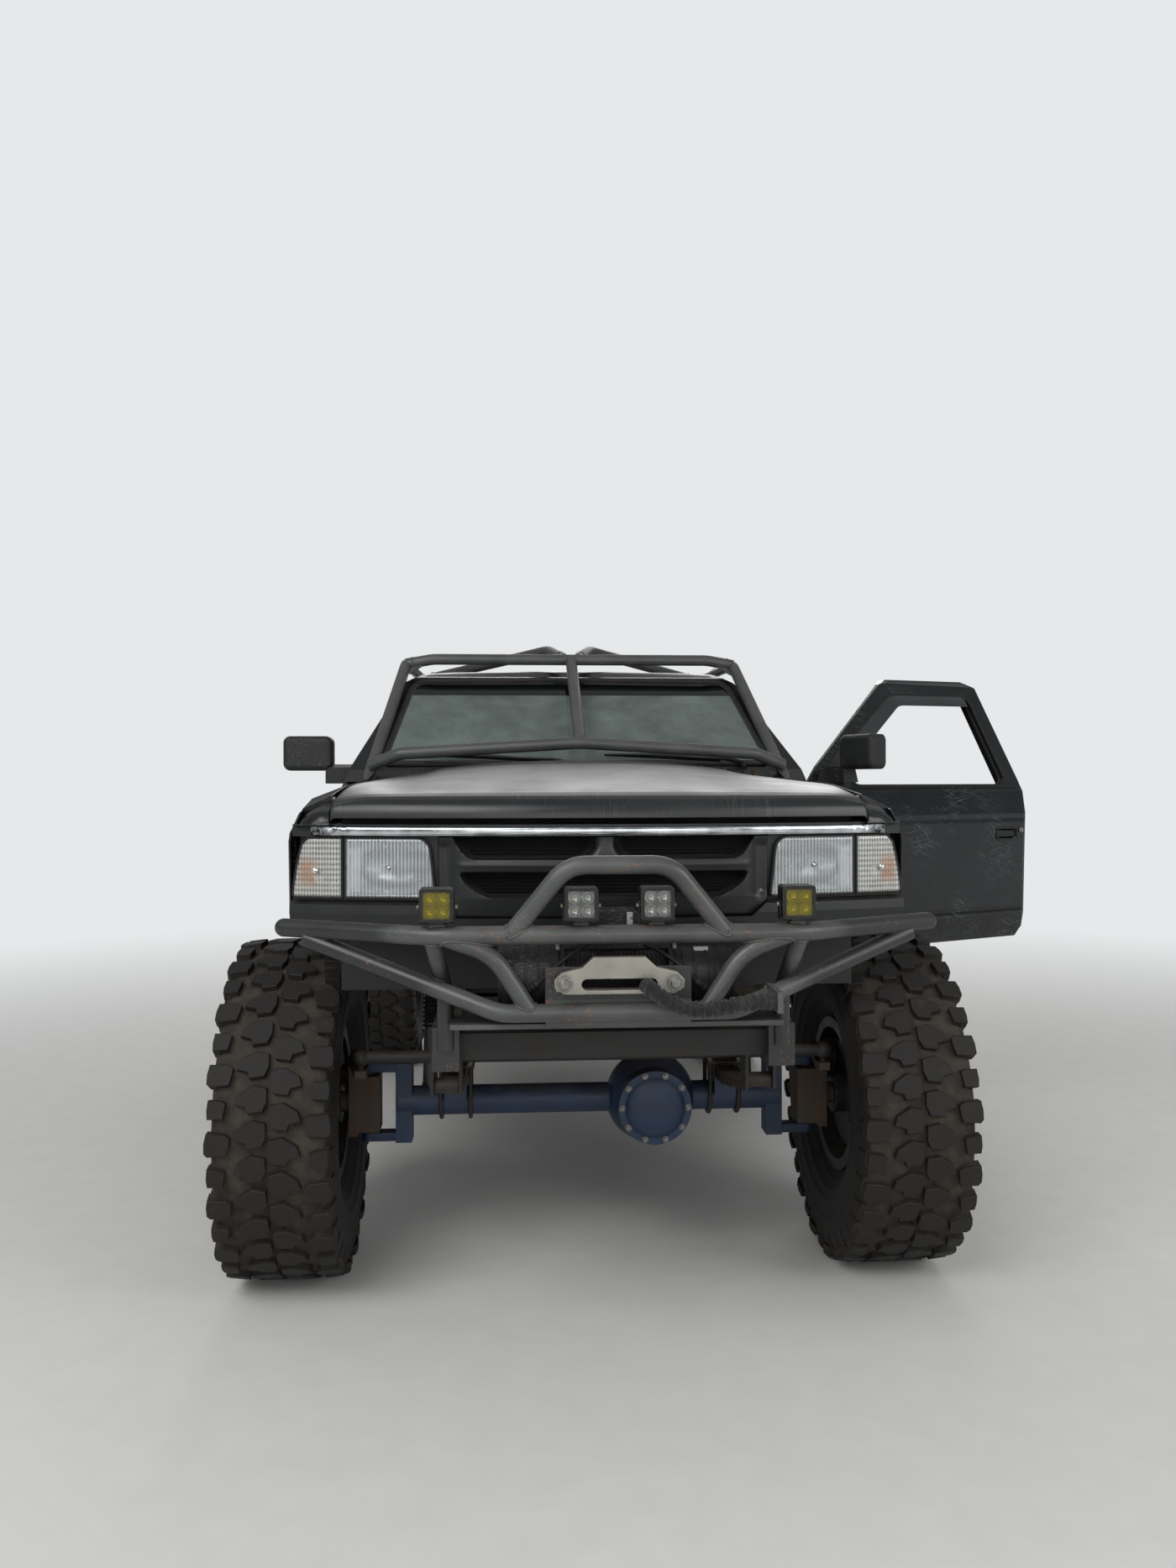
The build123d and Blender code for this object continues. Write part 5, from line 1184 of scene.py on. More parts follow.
def makeLamps():
    bowls = []
    for kind, node in (("head", "headlamps"), ("marker", "marker_lamps")):
        lens = bothSides(lensForm(kind))
        x, z = np.abs(lens[0][:, 0]), lens[0][:, 2]
        # a clear strip at the headlamp's outer end, and the amber inner shell that shows through the marker's
        patch = smooth(x, 640, 652) * (1 - smooth(x, 676, 684)) * 0.75
        patch = patch * smooth(z, 1206, 1216) * (1 - smooth(z, 1322, 1334))
        if kind == "marker":
            patch = 0.75 * np.exp(-((x - 790) / 26) ** 4 - ((z - 1262) / 36) ** 4)
        finish = {"head": "flutedPolycarbonate", "marker": "markerPolycarbonate"}[kind]
        lens = makePiece(kind + "LampLenses", lens, finish, sharp=30, depth=patch)
        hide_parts(node)
        bowls.append(bowlForm(kind))
    inset = np.array([(640, 1316), (668, 1322), (676, 1222), (652, 1220)])
    plateY = noseY(650) + 15
    makePiece("lampSidePlates", bothSides(plate(inset, (plateY, plateY + 3))), "whiteEnamel")
    bulb = turned([(0, 9), (8, 9), (16, 8), (24, 7), (28, 3), (29, 0.5)], (570, 86, 1278), (0, -1, 0), 20)
    makePiece("lampBowls", bothSides(joinForms(bowls)), "aluminisedBowl", sharp=30)
    makePiece("lampBulbs", bothSides(bulb), "aluminisedBowl")
    amber = turned([(0, 8), (14, 9), (22, 7), (26, 1)], (768, 120, 1268), (0, -1, 0), 16)
    makePiece("markerBulbs", bothSides(amber), "aluminisedBowl")
    makePiece("lampRims", bothSides(joinForms([rimForm("head"), rimForm("marker")])), "softRubber")


# LED pods: four bright bowls behind a clear or amber cover, with a screw in each corner of the rim

pods = {"places": (-418, -88, 88, 418), "y": -384, "z": 1222, "size": 78, "spacing": 15.2, "screwIn": 5.2,
        "fins": 7, "finStep": 9.6,
        "bowl": [(8.6, 14.8), (1.0, 14.4), (3.0, 12.2), (5.6, 8.0), (7.0, 4.0), (7.2, 0.6)]}
corners = [(-1, -1), (-1, 1), (1, -1), (1, 1)]


def podSpots(x, depth):
    # the middles of a pod's four LEDs, at a depth behind its face
    step = pods["spacing"]
    return [np.array((x + dx * step, pods["y"] + depth, pods["z"] + dz * step)) for dx, dz in corners]


def podBowls(x):
    return joinForms([turned(pods["bowl"], at, (0, 1, 0), 28) for at in podSpots(x, 1.2)])


def podChips(x):
    # each LED's flat square, with four posts round it
    forms = []
    for at in podSpots(x, 6.2):
        forms.append(roundedBlock(at - (2.6, 1.4, 2.6), at + (2.6, 1.4, 2.6), 0.6, 2))
        for a in np.arange(4) * pi / 2 + pi / 4:
            forms.append(turned([(0, 1.0), (2.6, 0.6)], at + (7.2 * cos(a), -1.0, 7.2 * sin(a)), (0, -1, 0),
                                8))
    return joinForms(forms)


def makePods():
    half = pods["size"] / 2
    for tone, places in (("clear", pods["places"][1:3]), ("amber", pods["places"][::3])):
        cover = [plate(roundedOutline(2 * (half - 7.6), 2 * (half - 7.6), 4, centre=(x, pods["z"])),
                       (pods["y"] - 0.2, pods["y"] + 1.6), 0.6) for x in places]
        covers = makePiece(tone + "PodCovers", joinForms(cover), tone + "Polycarbonate")
        if tone == "clear":
            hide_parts("pod_lenses")
    makePiece("podBowls", joinForms([podBowls(x) for x in pods["places"]]), "aluminisedBowl", sharp=50)
    makePiece("podChips", joinForms([podChips(x) for x in pods["places"]]), "ledChip")
    screws, rims, brackets, fins = [], [], [], []
    for x in pods["places"]:
        reach = half - pods["screwIn"]
        for dx in (-1, 1):
            for dz in (-1, 1):
                at = (x + dx * reach, pods["y"] + 0.5, pods["z"] + dz * reach)
                screws.append(screwHead(at, (0, -1, 0), 3.4))
            screws.append(hexBolt((x + dx * (half + 1.5), pods["y"] + 28, pods["z"] - 6), (dx, 0, 0), 11))
        outline = roundedOutline(pods["size"] - 0.6, pods["size"] - 0.6, 9, 6, (x, pods["z"]))
        rims.append(frameRing(outline, 8.2, (pods["y"] - 3.0, pods["y"] + 4.0)))
        # a bent strap: two cheeks beside the pod and a foot under it
        left, right, low, high = x - half - 1.6, x + half + 1.6, pods["z"] - half - 4.6, pods["z"] + 4
        bends = [(u, pods["y"] + 28, v) for u, v in ((left, high), (left, low), (right, low), (right, high))]
        path = bentPath(bends, 8)
        thick, wide = np.array([(-1.3, -9), (1.3, -9), (1.3, 9), (-1.3, 9)]).T[:, None, :, None]
        rearward = np.array([0, 1.0, 0])
        points = path[:, None] + thick * np.cross(frameOf(path)[0], rearward)[:, None] + wide * rearward
        brackets.append((points.reshape(-1, 3), cappedFaces(len(path), 4)))
        for z in pods["z"] - half + 10 + np.arange(pods["fins"]) * pods["finStep"]:
            fins.append(roundedBlock((x - half + 5, pods["y"] + 51.5, z - 1.4),
                                     (x + half - 5, pods["y"] + 60, z + 1.4), 0.8, 2))
    makePiece("podScrews", joinForms(screws), "zincBolt")
    makePiece("podRims", joinForms(rims), "podCasting", sharp=50)
    makePiece("podBrackets", joinForms(brackets), "podCasting")
    makePiece("podFins", joinForms(fins), "podCasting")


# Grille: louvres across its openings, a plain divider in the middle of the bar and
# screws at its lower corners

grille = {"low": 1144.5, "high": 1357.5, "half": 439, "cornerHalf": 394, "cornerHigh": 1186, "recess": 47,
          "openings": [(1297, 1392, 366, 424, 30), (1196, 1268, 322, 404, 34)], "slatGap": 9.0}


def insideOpening(x, z, low, high, lowHalf, highHalf, radius):
    # distance inwards from an opening's edge: a rectangle whose half width
    # changes with height, corners rounded
    half = lowHalf + (highHalf - lowHalf) * np.clip((z - low) / (high - low), 0, 1)
    dx, dz = radius - (half - np.abs(x)), radius - np.minimum(z - low, high - z)
    return radius - np.hypot(np.maximum(dx, 0), np.maximum(dz, 0))


def grilleDepth(x, z):
    # how far the face lies behind the nose's arc: scooped ends, a boss in the middle and
    # openings sunk behind the bar
    ends = 13 * bell(np.abs(x), 418, 24) * smooth(z, 1170, 1215) * (1 - smooth(z, 1330, 1356))
    sill = 0.30 * np.maximum(1196 - z, 0)
    bar = -3.0 * bell(z, 1284, 8) * (1 - smooth(np.abs(x), 372, 412)) + 3.0 * smooth(np.abs(x), 372, 412)
    sunk = 0
    for low, high, lowHalf, highHalf, radius in grille["openings"]:
        sunk = np.maximum(sunk, smooth(insideOpening(x, z, low, high, lowHalf, highHalf, radius), 0, 11))
    pillar = np.exp(-(np.abs(x) / (34 + 34 * (1 - smooth(z, 1292, 1336)))) ** 4) * smooth(z, 1280, 1294)
    return 3 + ends + sill + bar + grille["recess"] * sunk * (1 - pillar) + 5 * pillar * smooth(z, 1300, 1350)


def makeGrille():
    z, u = gridOf((grille["low"], grille["high"], 76), (-1, 1, 280))
    slope = (grille["half"] - grille["cornerHalf"]) / (grille["cornerHigh"] - grille["low"])
    half = np.minimum(grille["half"], grille["cornerHalf"] + slope * (z - grille["low"]))
    x = u * half
    rim = np.minimum(half - np.abs(x), np.minimum(z - grille["low"], grille["high"] + 30 - z))
    face = np.stack([x, noseY(x) + grilleDepth(x, z) + 4 * rolled(rim, 5), z], axis=-1)
    body = backedSheet(face, lambda ring: np.column_stack([ring[:, 0], noseY(ring[:, 0]) + 66, ring[:, 2]]))
    # painted shade: the deeper the face lies behind the arc, the more of the finish's near-black tint it
    # takes
    shade = np.concatenate([smooth(grilleDepth(x, z), 16, 40).ravel(), np.zeros(len(body[0]) - x.size)])
    panel = makePiece("grillePanel", body, "mouldedPolypropylene", sharp=50, depth=shade)
    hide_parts("grille")
    # a slat: a flat bar on the nose's arc, across the opening at its height
    slats = []
    ahead, up = np.array([(-3, -1.0), (3, -1.0), (3, 1.0), (-3, 1.0)]).T
    for low, high, lowHalf, highHalf in [row[:4] for row in grille["openings"]]:
        for height in np.arange(low + 8, min(high, grille["high"]) - 5, grille["slatGap"]):
            reach = lowHalf + (highHalf - lowHalf) * (height - low) / (high - low) - 24
            across = np.linspace(-reach, reach, 50)[:, None]
            points = np.stack([across + 0 * ahead, noseY(across) + 45.5 + ahead, height + up + 0 * across],
                              axis=-1)
            slats.append((points.reshape(-1, 3), cappedFaces(len(across), len(ahead))))
    makePiece("grilleSlats", joinForms(slats), "shadedPolypropylene")
    screws = [screwHead((x, float(noseY(x)) + 4.0, 1212), (0, -1, 0), 5) for x in (-418, 418)]
    makePiece("grilleScrews", joinForms(screws), "zincBolt")


# Bright strip over the grille: a rounded bar on the nose's arc, crumpled at its ends

strip = {"low": 1361.4, "high": 1384.6, "reach": 780}


def makeStrip():
    # the bar's front is half an ellipse, drawn in by sines of two lengths where it is crumpled
    columns, sides = 500, 12
    x = np.linspace(-strip["reach"], strip["reach"], columns)
    angle = np.linspace(0, pi, sides)
    middle, half = (strip["low"] + strip["high"]) / 2, (strip["high"] - strip["low"]) / 2
    along = x[:, None]
    dents = 0.6 * np.sin(along / 7.0 + angle * 2) + 0.5 * np.sin(along / 3.1 - angle * 3)
    crush = smooth(np.abs(along), 640, 760) * dents
    y = noseY(along) - 5.6 * np.sin(angle) ** 0.6 + 1.6 * crush
    z = middle - half * np.cos(angle) + 0 * along
    face = np.stack([along + 0 * z, y, z], axis=-1)
    backs = [np.stack([x, noseY(x) + 18, np.full(columns, strip[edge])], axis=-1)[:, None]
             for edge in ("high", "low")]
    points = np.concatenate([face] + backs, axis=1)
    ring = sides + 2
    wear = np.repeat(smooth(np.abs(x), 690, 770), ring)
    form = points.reshape(-1, 3), cappedFaces(columns, ring)
    piece = makePiece("brightStrip", form, "brightStrip", sharp=60, depth=wear)
    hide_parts("bright_trim")


# Bonnet: one crowned sheet from the lip's roll back to the hinges, with a raised middle that fades forwards

# columns of the runs: length behind the lip, height in the middle, height at the edge
bonnet = {"runs": [(0, 1408, 1408), (1, 1420, 1420), (4, 1433, 1433), (10, 1445, 1444.5), (22, 1457, 1455.5),
                   (40, 1466.5, 1464),
                   (70, 1476, 1471), (120, 1485.5, 1476), (200, 1496, 1481), (320, 1509, 1488),
                   (480, 1524, 1496), (800, 1554, 1507), (1000, 1569.5, 1512), (1123, 1577.5, 1515)],
          "frontHalf": 728, "rearHalf": 742, "thick": 15, "edge": 16, "cornerDrop": 15,
          "knuckles": (-430, 430), "ribHalf": 735, "ribBelow": 26, "ribReach": (250, 1060)}


def makeBonnet():
    # across: a parabola between the edge's and the middle's height, a raised field and
    # rolled rims; along: the runs
    rows, columns = 110, 140
    run, middle, edgeRun = np.array(bonnet["runs"], float).T
    steps = np.linspace(0, 1, rows) ** 1.7 * run[-1]
    fine = np.linspace(0, run[-1], 2400)
    kernel = np.hanning(61) / np.hanning(61).sum()

    def softened(values):
        # a run of heights, evened out over about 25 mm past the lip's roll
        line = np.interp(fine, run, values)
        padded = np.concatenate([2 * line[0] - line[30:0:-1], line, 2 * line[-1] - line[-2:-32:-1]])
        even = np.convolve(padded, kernel, "valid")
        return np.interp(steps, fine, line + (even - line) * smooth(fine, 60, 160))

    centre, edge = softened(middle)[:, None], softened(edgeRun)[:, None]
    # columns lie closer together towards the rims
    u = np.sin(np.linspace(-1, 1, columns) * pi / 2 * 0.93) / np.sin(pi / 2 * 0.93)
    half = np.interp(steps, [0, 160, run[-1]],
                     [bonnet["frontHalf"], bonnet["frontHalf"], bonnet["rearHalf"]])[:, None]
    steps = steps[:, None]
    x = half * u
    y = steps + noseY(x) * (1 - steps / run[-1]) ** 1.3
    plateau = 9 * (1 - smooth(np.abs(x), 470, 560)) * smooth(y, 420, 1000)
    rim = half - np.abs(x)
    rollOff = 9 * (1 - np.sqrt(1 - rolled(rim, bonnet["edge"])))
    corner = np.clip((np.abs(x) - 600) / 127, 0, 1) ** 2.2 * (1 - smooth(y, 60, 420)) * smooth(steps, 3, 30)
    z = edge + (centre - edge) * (1 - u ** 2) + plateau - 5.4 * smooth(y, 420, 1000)
    z = z - rollOff - bonnet["cornerDrop"] * corner
    outer = np.stack([x, y, z], axis=-1)
    lip = 1 - smooth(steps, 10, 60)
    inner = outer + np.stack([-np.sign(x) * 4 * (rim < 2), 13 * lip + 0 * x,
                              -bonnet["thick"] * (1 - lip) + 0 * x], axis=-1)
    panel = makePiece("bonnetSkin", shellOf(outer, inner), "fadedEnamel", body="bonnet", sharp=45)
    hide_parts("bonnet")
    knuckles = []
    for x in bonnet["knuckles"]:
        knuckles += [roundedBlock((x + near, 1060, 1537), (x + near + 15, 1123, 1551), 3)
                     for near in (-26, 11)]
        knuckles.append(turned([(0, 4.5), (32, 4.5)], (x - 16, 1114, 1545), (1, 0, 0), 16))
    makePiece("bonnetKnuckles", joinForms(knuckles), "chassisEnamel", body="bonnet")

    def ribAlong(x, y):
        # a tube under the skin, following its parabola across and its runs along
        crowned = np.interp(y, run, middle - edgeRun) * (1 - (x / bonnet["ribHalf"]) ** 2)
        height = np.interp(y, run, edgeRun) + crowned
        return tubeAlong(np.column_stack([x + 0 * y, y + 0 * x, height - bonnet["ribBelow"]]), 12, 8)

    ribs = [ribAlong(x, np.linspace(*bonnet["ribReach"], 24)) for x in (-600, 600, -300, 300)]
    ribs += [ribAlong(np.linspace(-600, 600, 40), y) for y in (250, 640, 1060)]
    makePiece("bonnetRibs", joinForms(ribs), "charcoalEnamel", body="bonnet", slot="bonnet_paint")


# Windscreen dressing: printed border, tinted top band, seal, wipers, cowl panel and caught leaves

screen = {"low": (1216, 1545), "high": (1738, 1930),
          "outline": [(-716, 1566), (716, 1566), (634, 1906), (0, 1915), (-634, 1906)],
          "pane": (0.4, 4.4), "frit": 14, "band": 1846}


def onScreen(x, z, out):
    # a point on the windscreen's outer face at x and height z, and out millimetres off it
    (y0, z0), (y1, z1) = screen["low"], screen["high"]
    slope = (y1 - y0) / (z1 - z0)
    length = np.hypot(y1 - y0, z1 - z0)
    return np.stack([x, y0 + (z - z0) * slope - out * (z1 - z0) / length, z + out * (y1 - y0) / length],
                    axis=-1)


def makeScreen():
    # the pane is bonded over the pillars, with a printed rim and a band of shade, and a rubber seal round it
    outline, (inside, outside) = np.array(screen["outline"], float), screen["pane"]
    band = np.array([(-640, screen["band"]), (640, screen["band"]), (625, 1897), (0, 1905), (-625, 1897)],
                    float)
    sheets = []
    for shape, low, high in ((roundedCorners(offsetOutline(outline, 2), 44), inside, outside),
                             (band, outside + 0.1, outside + 0.5)):
        points, faces = plate(shape, (0, 1), 0.2)
        sheets.append((onScreen(points[:, 0], points[:, 2], low + (high - low) * points[:, 1]), faces))
    makePiece("screenPane", sheets[0], "laminatedGlass")
    makePiece("screenTint", sheets[1], "tintedBand")
    rim = roundedCorners(offsetOutline(outline, screen["frit"]), 36)
    border = bandForm(roundedCorners(outline, 44), rim, lambda x, z, out: onScreen(x, z, outside + 0.1 + out),
                      0.5)
    makePiece("screenBorder", border, "ceramicFrit")
    seal = roundedCorners(offsetOutline(outline, -2), 46, 8)
    makePiece("screenSeal", tubeAlong(onScreen(seal[:, 0], seal[:, 1], 2.5), 6.5, 10, closed=True),
              "softRubber")


# columns of the wipers: x of the pivot, x of the blade's tip
wipers = {"arms": [(612, 128), (-40, -540)], "pivotZ": 1560.0, "tipZ": 1584.0, "bladeHalf": 215}


def makeWipers():
    # an arm on its hub, and a blade whose back bows off its rubber edge by a parabola
    forms, rubber = [], []
    for pivotX, tipX in wipers["arms"]:
        base = onScreen(pivotX, wipers["pivotZ"], 15)
        tip = onScreen(tipX, wipers["tipZ"], 17)
        middle = base + (tip - base) * 0.62 + (0, -6, 10)
        line = bentPath([base, base + (tip - base) * 0.12 + (0, -10, 12), middle], 60, 14)
        forms.append(tubeAlong(line, np.linspace(9, 4.5, len(line)), 8))
        forms.append(turned([(0, 17), (14, 15), (20, 9), (21, 1)], base + (0, 8, -12), (0, -0.6, 0.8), 20))
        run = (tip - base) / np.linalg.norm(tip - base)
        start, end = middle - run * wipers["bladeHalf"], middle + run * wipers["bladeHalf"]
        along = np.linspace(0, 1, 40)[:, None]
        bow = start + (end - start) * along + np.array([0, -0.6, 0.8]) * (9 * (1 - (2 * along - 1) ** 2) - 6)
        forms.append(tubeAlong(bow, 4.2 + 2.5 * (1 - (2 * along[:, 0] - 1) ** 2), 8))
        edge = start + (end - start) * along + np.array([0, 0.6, -0.8]) * 9
        rubber.append(tubeAlong(edge, 3.2, 6))
    makePiece("wiperArms", joinForms(forms), "mouldedPolypropylene")
    makePiece("wiperBlades", joinForms(rubber), "softRubber")


cowl = {"half": 700, "front": 1134, "rear": 1226, "foot": (1130, 1499), "slope": 0.545, "crown": 4.9,
        "slotStep": 24, "leaves": 260}


def cowlZ(x, y):
    # the panel's height: a slope that starts at its foot, crowned across by a parabola
    footY, footZ = cowl["foot"]
    return footZ + (y - footY) * cowl["slope"] + cowl["crown"] * (1 - (x / cowl["half"]) ** 2)


def makeCowl():
    # a sloping moulded panel with two fields of slots, and leaves lying in the gap before the glass
    x, y = gridOf((-cowl["half"], cowl["half"], 420), (cowl["front"], cowl["rear"], 18))
    fields = smooth(np.abs(np.abs(x) - 350), 270, 250) * smooth(y, 1148, 1156) * (1 - smooth(y, 1206, 1214))
    slots = 5.0 * fields * (0.5 + 0.5 * np.cos(2 * pi * x / cowl["slotStep"])) ** 2
    top = np.stack([x, y, cowlZ(x, y) + 6 - slots], axis=-1)
    makePiece("cowlPanel", shellOf(top, top - (0, 0, 9)), "mouldedPolypropylene", sharp=40)
    # a leaf: six corners round a low middle, sized, turned and tilted by chance
    chance = np.random.default_rng(7)
    count = cowl["leaves"]
    leaf = np.array([(-1, 0, 0), (-0.4, 0.36, 0.16), (0.3, 0.34, 0.2), (1, 0, 0.1), (0.3, -0.34, 0.2),
                     (-0.4, -0.36, 0.16), (0, 0, -0.05)])
    faces = np.array([(0, 1, 6), (1, 2, 6), (2, 3, 6), (3, 4, 6), (4, 5, 6), (5, 0, 6)])
    size = chance.uniform(7, 19, (count, 1, 1))
    narrow = chance.uniform(0.25, 1, (count, 1, 1))
    turn = chance.uniform(0, 2 * pi, (count, 1))
    tilt = chance.uniform(-0.5, 0.5, (count, 1))
    stretch = np.concatenate([1 + 0 * narrow, narrow, 1 + 0 * narrow], axis=2)
    long, wide, high = np.moveaxis(leaf * size * stretch, 2, 0)
    tilted = np.stack([long * np.cos(turn) - wide * np.sin(turn), long * np.sin(turn) + wide * np.cos(turn),
                       high + tilt * long], axis=-1)
    spread = np.clip(chance.normal(120, 240, count), -640, 640)
    back = chance.uniform(1150, 1216, count)
    height = cowlZ(spread, back) + chance.uniform(9, 15, count)
    placed = tilted + np.stack([spread, back, height], axis=-1)[:, None]
    both = np.concatenate([placed, placed - (0, 0, 0.5)], axis=1)
    rim = np.arange(6)
    skirt = np.stack([rim, (rim + 1) % 6, (rim + 1) % 6 + 7, rim + 7], axis=-1)
    triangles = repeatForm((leaf, [faces, faces[:, ::-1] + 7]), both)[1]
    sides = repeatForm((leaf, [skirt]), both)[1]
    makePiece("leafLitter", (both.reshape(-1, 3), triangles + sides), "dryLeaf", sharp=20)


# Winch: wound rope, rounded covers, tie bars' nuts, leads to the motor and gearbox

winch = {"y": -250, "z": 1040, "wound": 55, "turn": 9.6, "half": 120, "coverInner": 134, "coverLength": 142,
         "gearRadius": 78, "motorRadius": 66, "leadRadius": 4.2,
         "lead": [(52, -276, 1120), (84, -306, 1112), (130, -330, 1086), (168, -334, 1052),
                  (186, -330, 1034)],
         "boot": [(-4, 5), (0, 8.5), (4, 9.5), (9, 9.5), (11, 8.4), (13, 9.5), (18, 9.5), (20, 8.4),
                  (22, 10.5), (36, 10.5), (38, 6)]}


def makeWinch():
    # wound rope: a drum whose radius rises and falls once for each turn, slanting
    # with the angle, in uneven layers
    rows, columns = 320, 48
    x = np.linspace(-winch["half"], winch["half"], rows)[:, None]
    angle = np.arange(columns) * 2 * pi / columns
    slant = x + winch["turn"] * angle / (2 * pi)
    layers = 5.0 * np.sin(x / 31.0 + 0.6) + 3.0 * np.sin(x / 12.0 + 2 * np.sin(angle))
    turns = 4.2 * np.abs(np.sin(pi * slant / winch["turn"]))
    radius = winch["wound"] + layers * 0.6 + turns + 0.8 * np.sin(24 * angle + x * 1.9)
    points = np.stack([x + 0 * angle, winch["y"] + radius * np.cos(angle),
                       winch["z"] + radius * np.sin(angle)], axis=-1)
    makePiece("winchRopeTurns", (points.reshape(-1, 3), cappedFaces(rows, columns)), "ropeWeave", sharp=70)
    covers, inner, long = [], winch["coverInner"], winch["coverLength"]
    for side, radius in ((-1, winch["gearRadius"]), (1, winch["motorRadius"])):
        at = (side * inner, winch["y"], winch["z"])
        profile = [(0, radius * 0.98), (3, radius), (long - 16, radius), (long - 6, radius * 0.96),
                   (long, radius * 0.86), (long + 2, radius * 0.4), (long + 2, 4)]
        covers.append(turned(profile, at, (side, 0, 0), 48))
        for start in (22, 50, 78, 106):
            rib = [(start, radius + 0.2), (start + 1, radius + 2.2), (start + 5, radius + 2.2),
                   (start + 6, radius + 0.2)]
            covers.append(turned(rib, at, (side, 0, 0), 48))
    covers.append(roundedBlock((-68, -276, 1100), (58, -184, 1196), 14, 5))
    covers.append(roundedBlock((-60, -279, 1112), (50, -270, 1184), 4, 3))
    makePiece("winchCovers", joinForms(covers), "texturedNylon", slot="winch_plastic")
    nuts = []
    for side in (-1, 1):
        for dy in (-36, 36):
            nuts.append(hexBolt((side * inner, winch["y"] + dy, winch["z"] + 70), (side, 0, 0), 17))
        for k in range(6):
            a = k * pi / 3 + 0.3
            nuts.append(screwHead((side * 277, winch["y"] + 52 * cos(a), winch["z"] + 52 * sin(a)),
                                  (side, 0, 0), 4.5))
        nuts.append(hexBolt((side * 128, winch["y"] - 48, 960), (0, -1, 0), 13))
        for dz in (-60, 60):
            nuts.append(screwHead((side * 44 - 5, -279.5, 1148 + dz * 0.5), (0, -1, 0), 4))
    makePiece("winchNuts", joinForms(nuts), "zincBolt")
    for side, name in ((-1, "Gear"), (1, "Motor")):
        route = np.array(winch["lead"], float) * (side, 1, 1)
        line, run = evenly(routePoints(route), 2.0)
        lead = makePiece("winchLead" + name, tubeAlong(line, winch["leadRadius"], 12), "softRubber",
                         slot="winch_plastic")
        boot = turned(winch["boot"], route[-1], route[-1] - route[-2] + (side * 6, 6, 0), 20)
        bootPiece = makePiece("winchBoot" + name, boot, "softRubber", slot="winch_plastic")
        toMetres(route[0])
        toMetres(line).tolist()


def makeFairleadBolts():
    # two bolts 254 mm apart with flat heads
    bolts = [hexBolt((side * 127, -398.5, 1042), (0, -1, 0), 26, 0.42) for side in (-1, 1)]
    makePiece("fairleadBolts", joinForms(bolts), "zincBolt")


def makeWinchTags():
    # two bare plates on the control box and the motor's cover
    tags = [roundedBlock((27, -281, 1160), (41, -277, 1192), 1),
            roundedBlock((186, -281, 1082), (222, -276, 1108), 2)]
    makePiece("winchTags", joinForms(tags), "paleSteel")


# Weld beads: where one round tube meets another, the seam's saddle line with its ripples


def saddleWeld(start, towards, radius, mainAt, mainAlong, mainRadius, bead=3.4):
    # each line along the branch's skin is cut with the main tube's cylinder: the nearer
    # root of a square equation
    start, towards, mainAt, mainAlong = (np.asarray(v, float) for v in (start, towards, mainAt, mainAlong))
    way, first, second = acrossOf(towards - start)
    angle = np.arange(64) * 2 * pi / 64
    skin = start + radius * (np.cos(angle)[:, None] * first + np.sin(angle)[:, None] * second)
    across = way - (way @ mainAlong) * mainAlong
    offset = (skin - mainAt) - ((skin - mainAt) @ mainAlong)[:, None] * mainAlong
    a, b, c = across @ across, 2 * offset @ across, (offset ** 2).sum(1) - mainRadius ** 2
    root = np.sqrt(np.maximum(b ** 2 - 4 * a * c, 0))
    reach = (-b - root) / (2 * a)
    line = skin + reach[:, None] * way
    closed = np.vstack([line, line[:1]])
    steps, ripples = 256, 20
    places = np.arange(steps) * 64 / steps
    seam = np.column_stack([np.interp(places, np.arange(65), column) for column in closed.T])
    ripple = bead * (0.85 + 0.22 * np.abs(np.sin(np.arange(steps) * pi * ripples / steps)))
    return tubeAlong(seam, ripple, 8, closed=True)


# columns of the branches: the main tube's middle, how much less its radius is, where the branch
# comes from and its foot, both from that middle, and how much less its own radius is
tubes = {"radius": 22.2,
         "branches": [((0, -360, 1150), 0, (170, -13, 85), (246, -2, 6), 0.6),
                      ((0, -360, 1150), 0, (330, 1, -30), (412, 1, 0), 1.6),
                      ((0, -360, 1150), 0, (404, 60, -80), (430, 12, -8), 2),
                      ((0, -360, 970), 1, (235, 1, 50), (204, 1, 2), 1.6)]}


def makeWelds():
    forms = []
    for side in (-1, 1):
        for main, mainLess, start, foot, less in tubes["branches"]:
            ends = [np.array(main) + np.array(place) * (side, 1, 1) for place in (start, foot)]
            forms.append(saddleWeld(*ends, tubes["radius"] - less, main, (1, 0, 0),
                                    tubes["radius"] - mainLess))
    makePiece("bumperWelds", joinForms(forms), "tubePowderCoat", sharp=60)


# Body sides: pressed skins a few millimetres proud of the solids, with a belt crease and a lower crease

# columns of the fender: length, x low, x and z of its crease, x and z of its shoulder
side = {"proud": 3.4, "belt": 1366, "lower": 990, "bedArch": 622, "bedFloor": 864, "bedTop": 1371,
        "sillZ": 806, "axle": (3383, 508),
        "fender": [(118, 840, 845, 1352, 812, 1424), (480, 862, 873, 1370, 838, 1456),
                   (850, 868, 880, 1376, 846, 1470), (1212, 868, 880, 1378, 848, 1478)]}


def cabX(z):
    # half the cab's width at a height
    return np.interp(z, [800, 960, 1372, 1462, 1905, 1948], [838, 868, 880, 866, 668, 600])


def pressed(z):
    # a crease is a ridge with a groove under it: two bell curves
    lines = 0
    for height in (side["belt"], side["lower"]):
        lines = lines + 1.6 * bell(z, height, 5.5) - 2.8 * bell(z, height - 12, 7)
    return lines


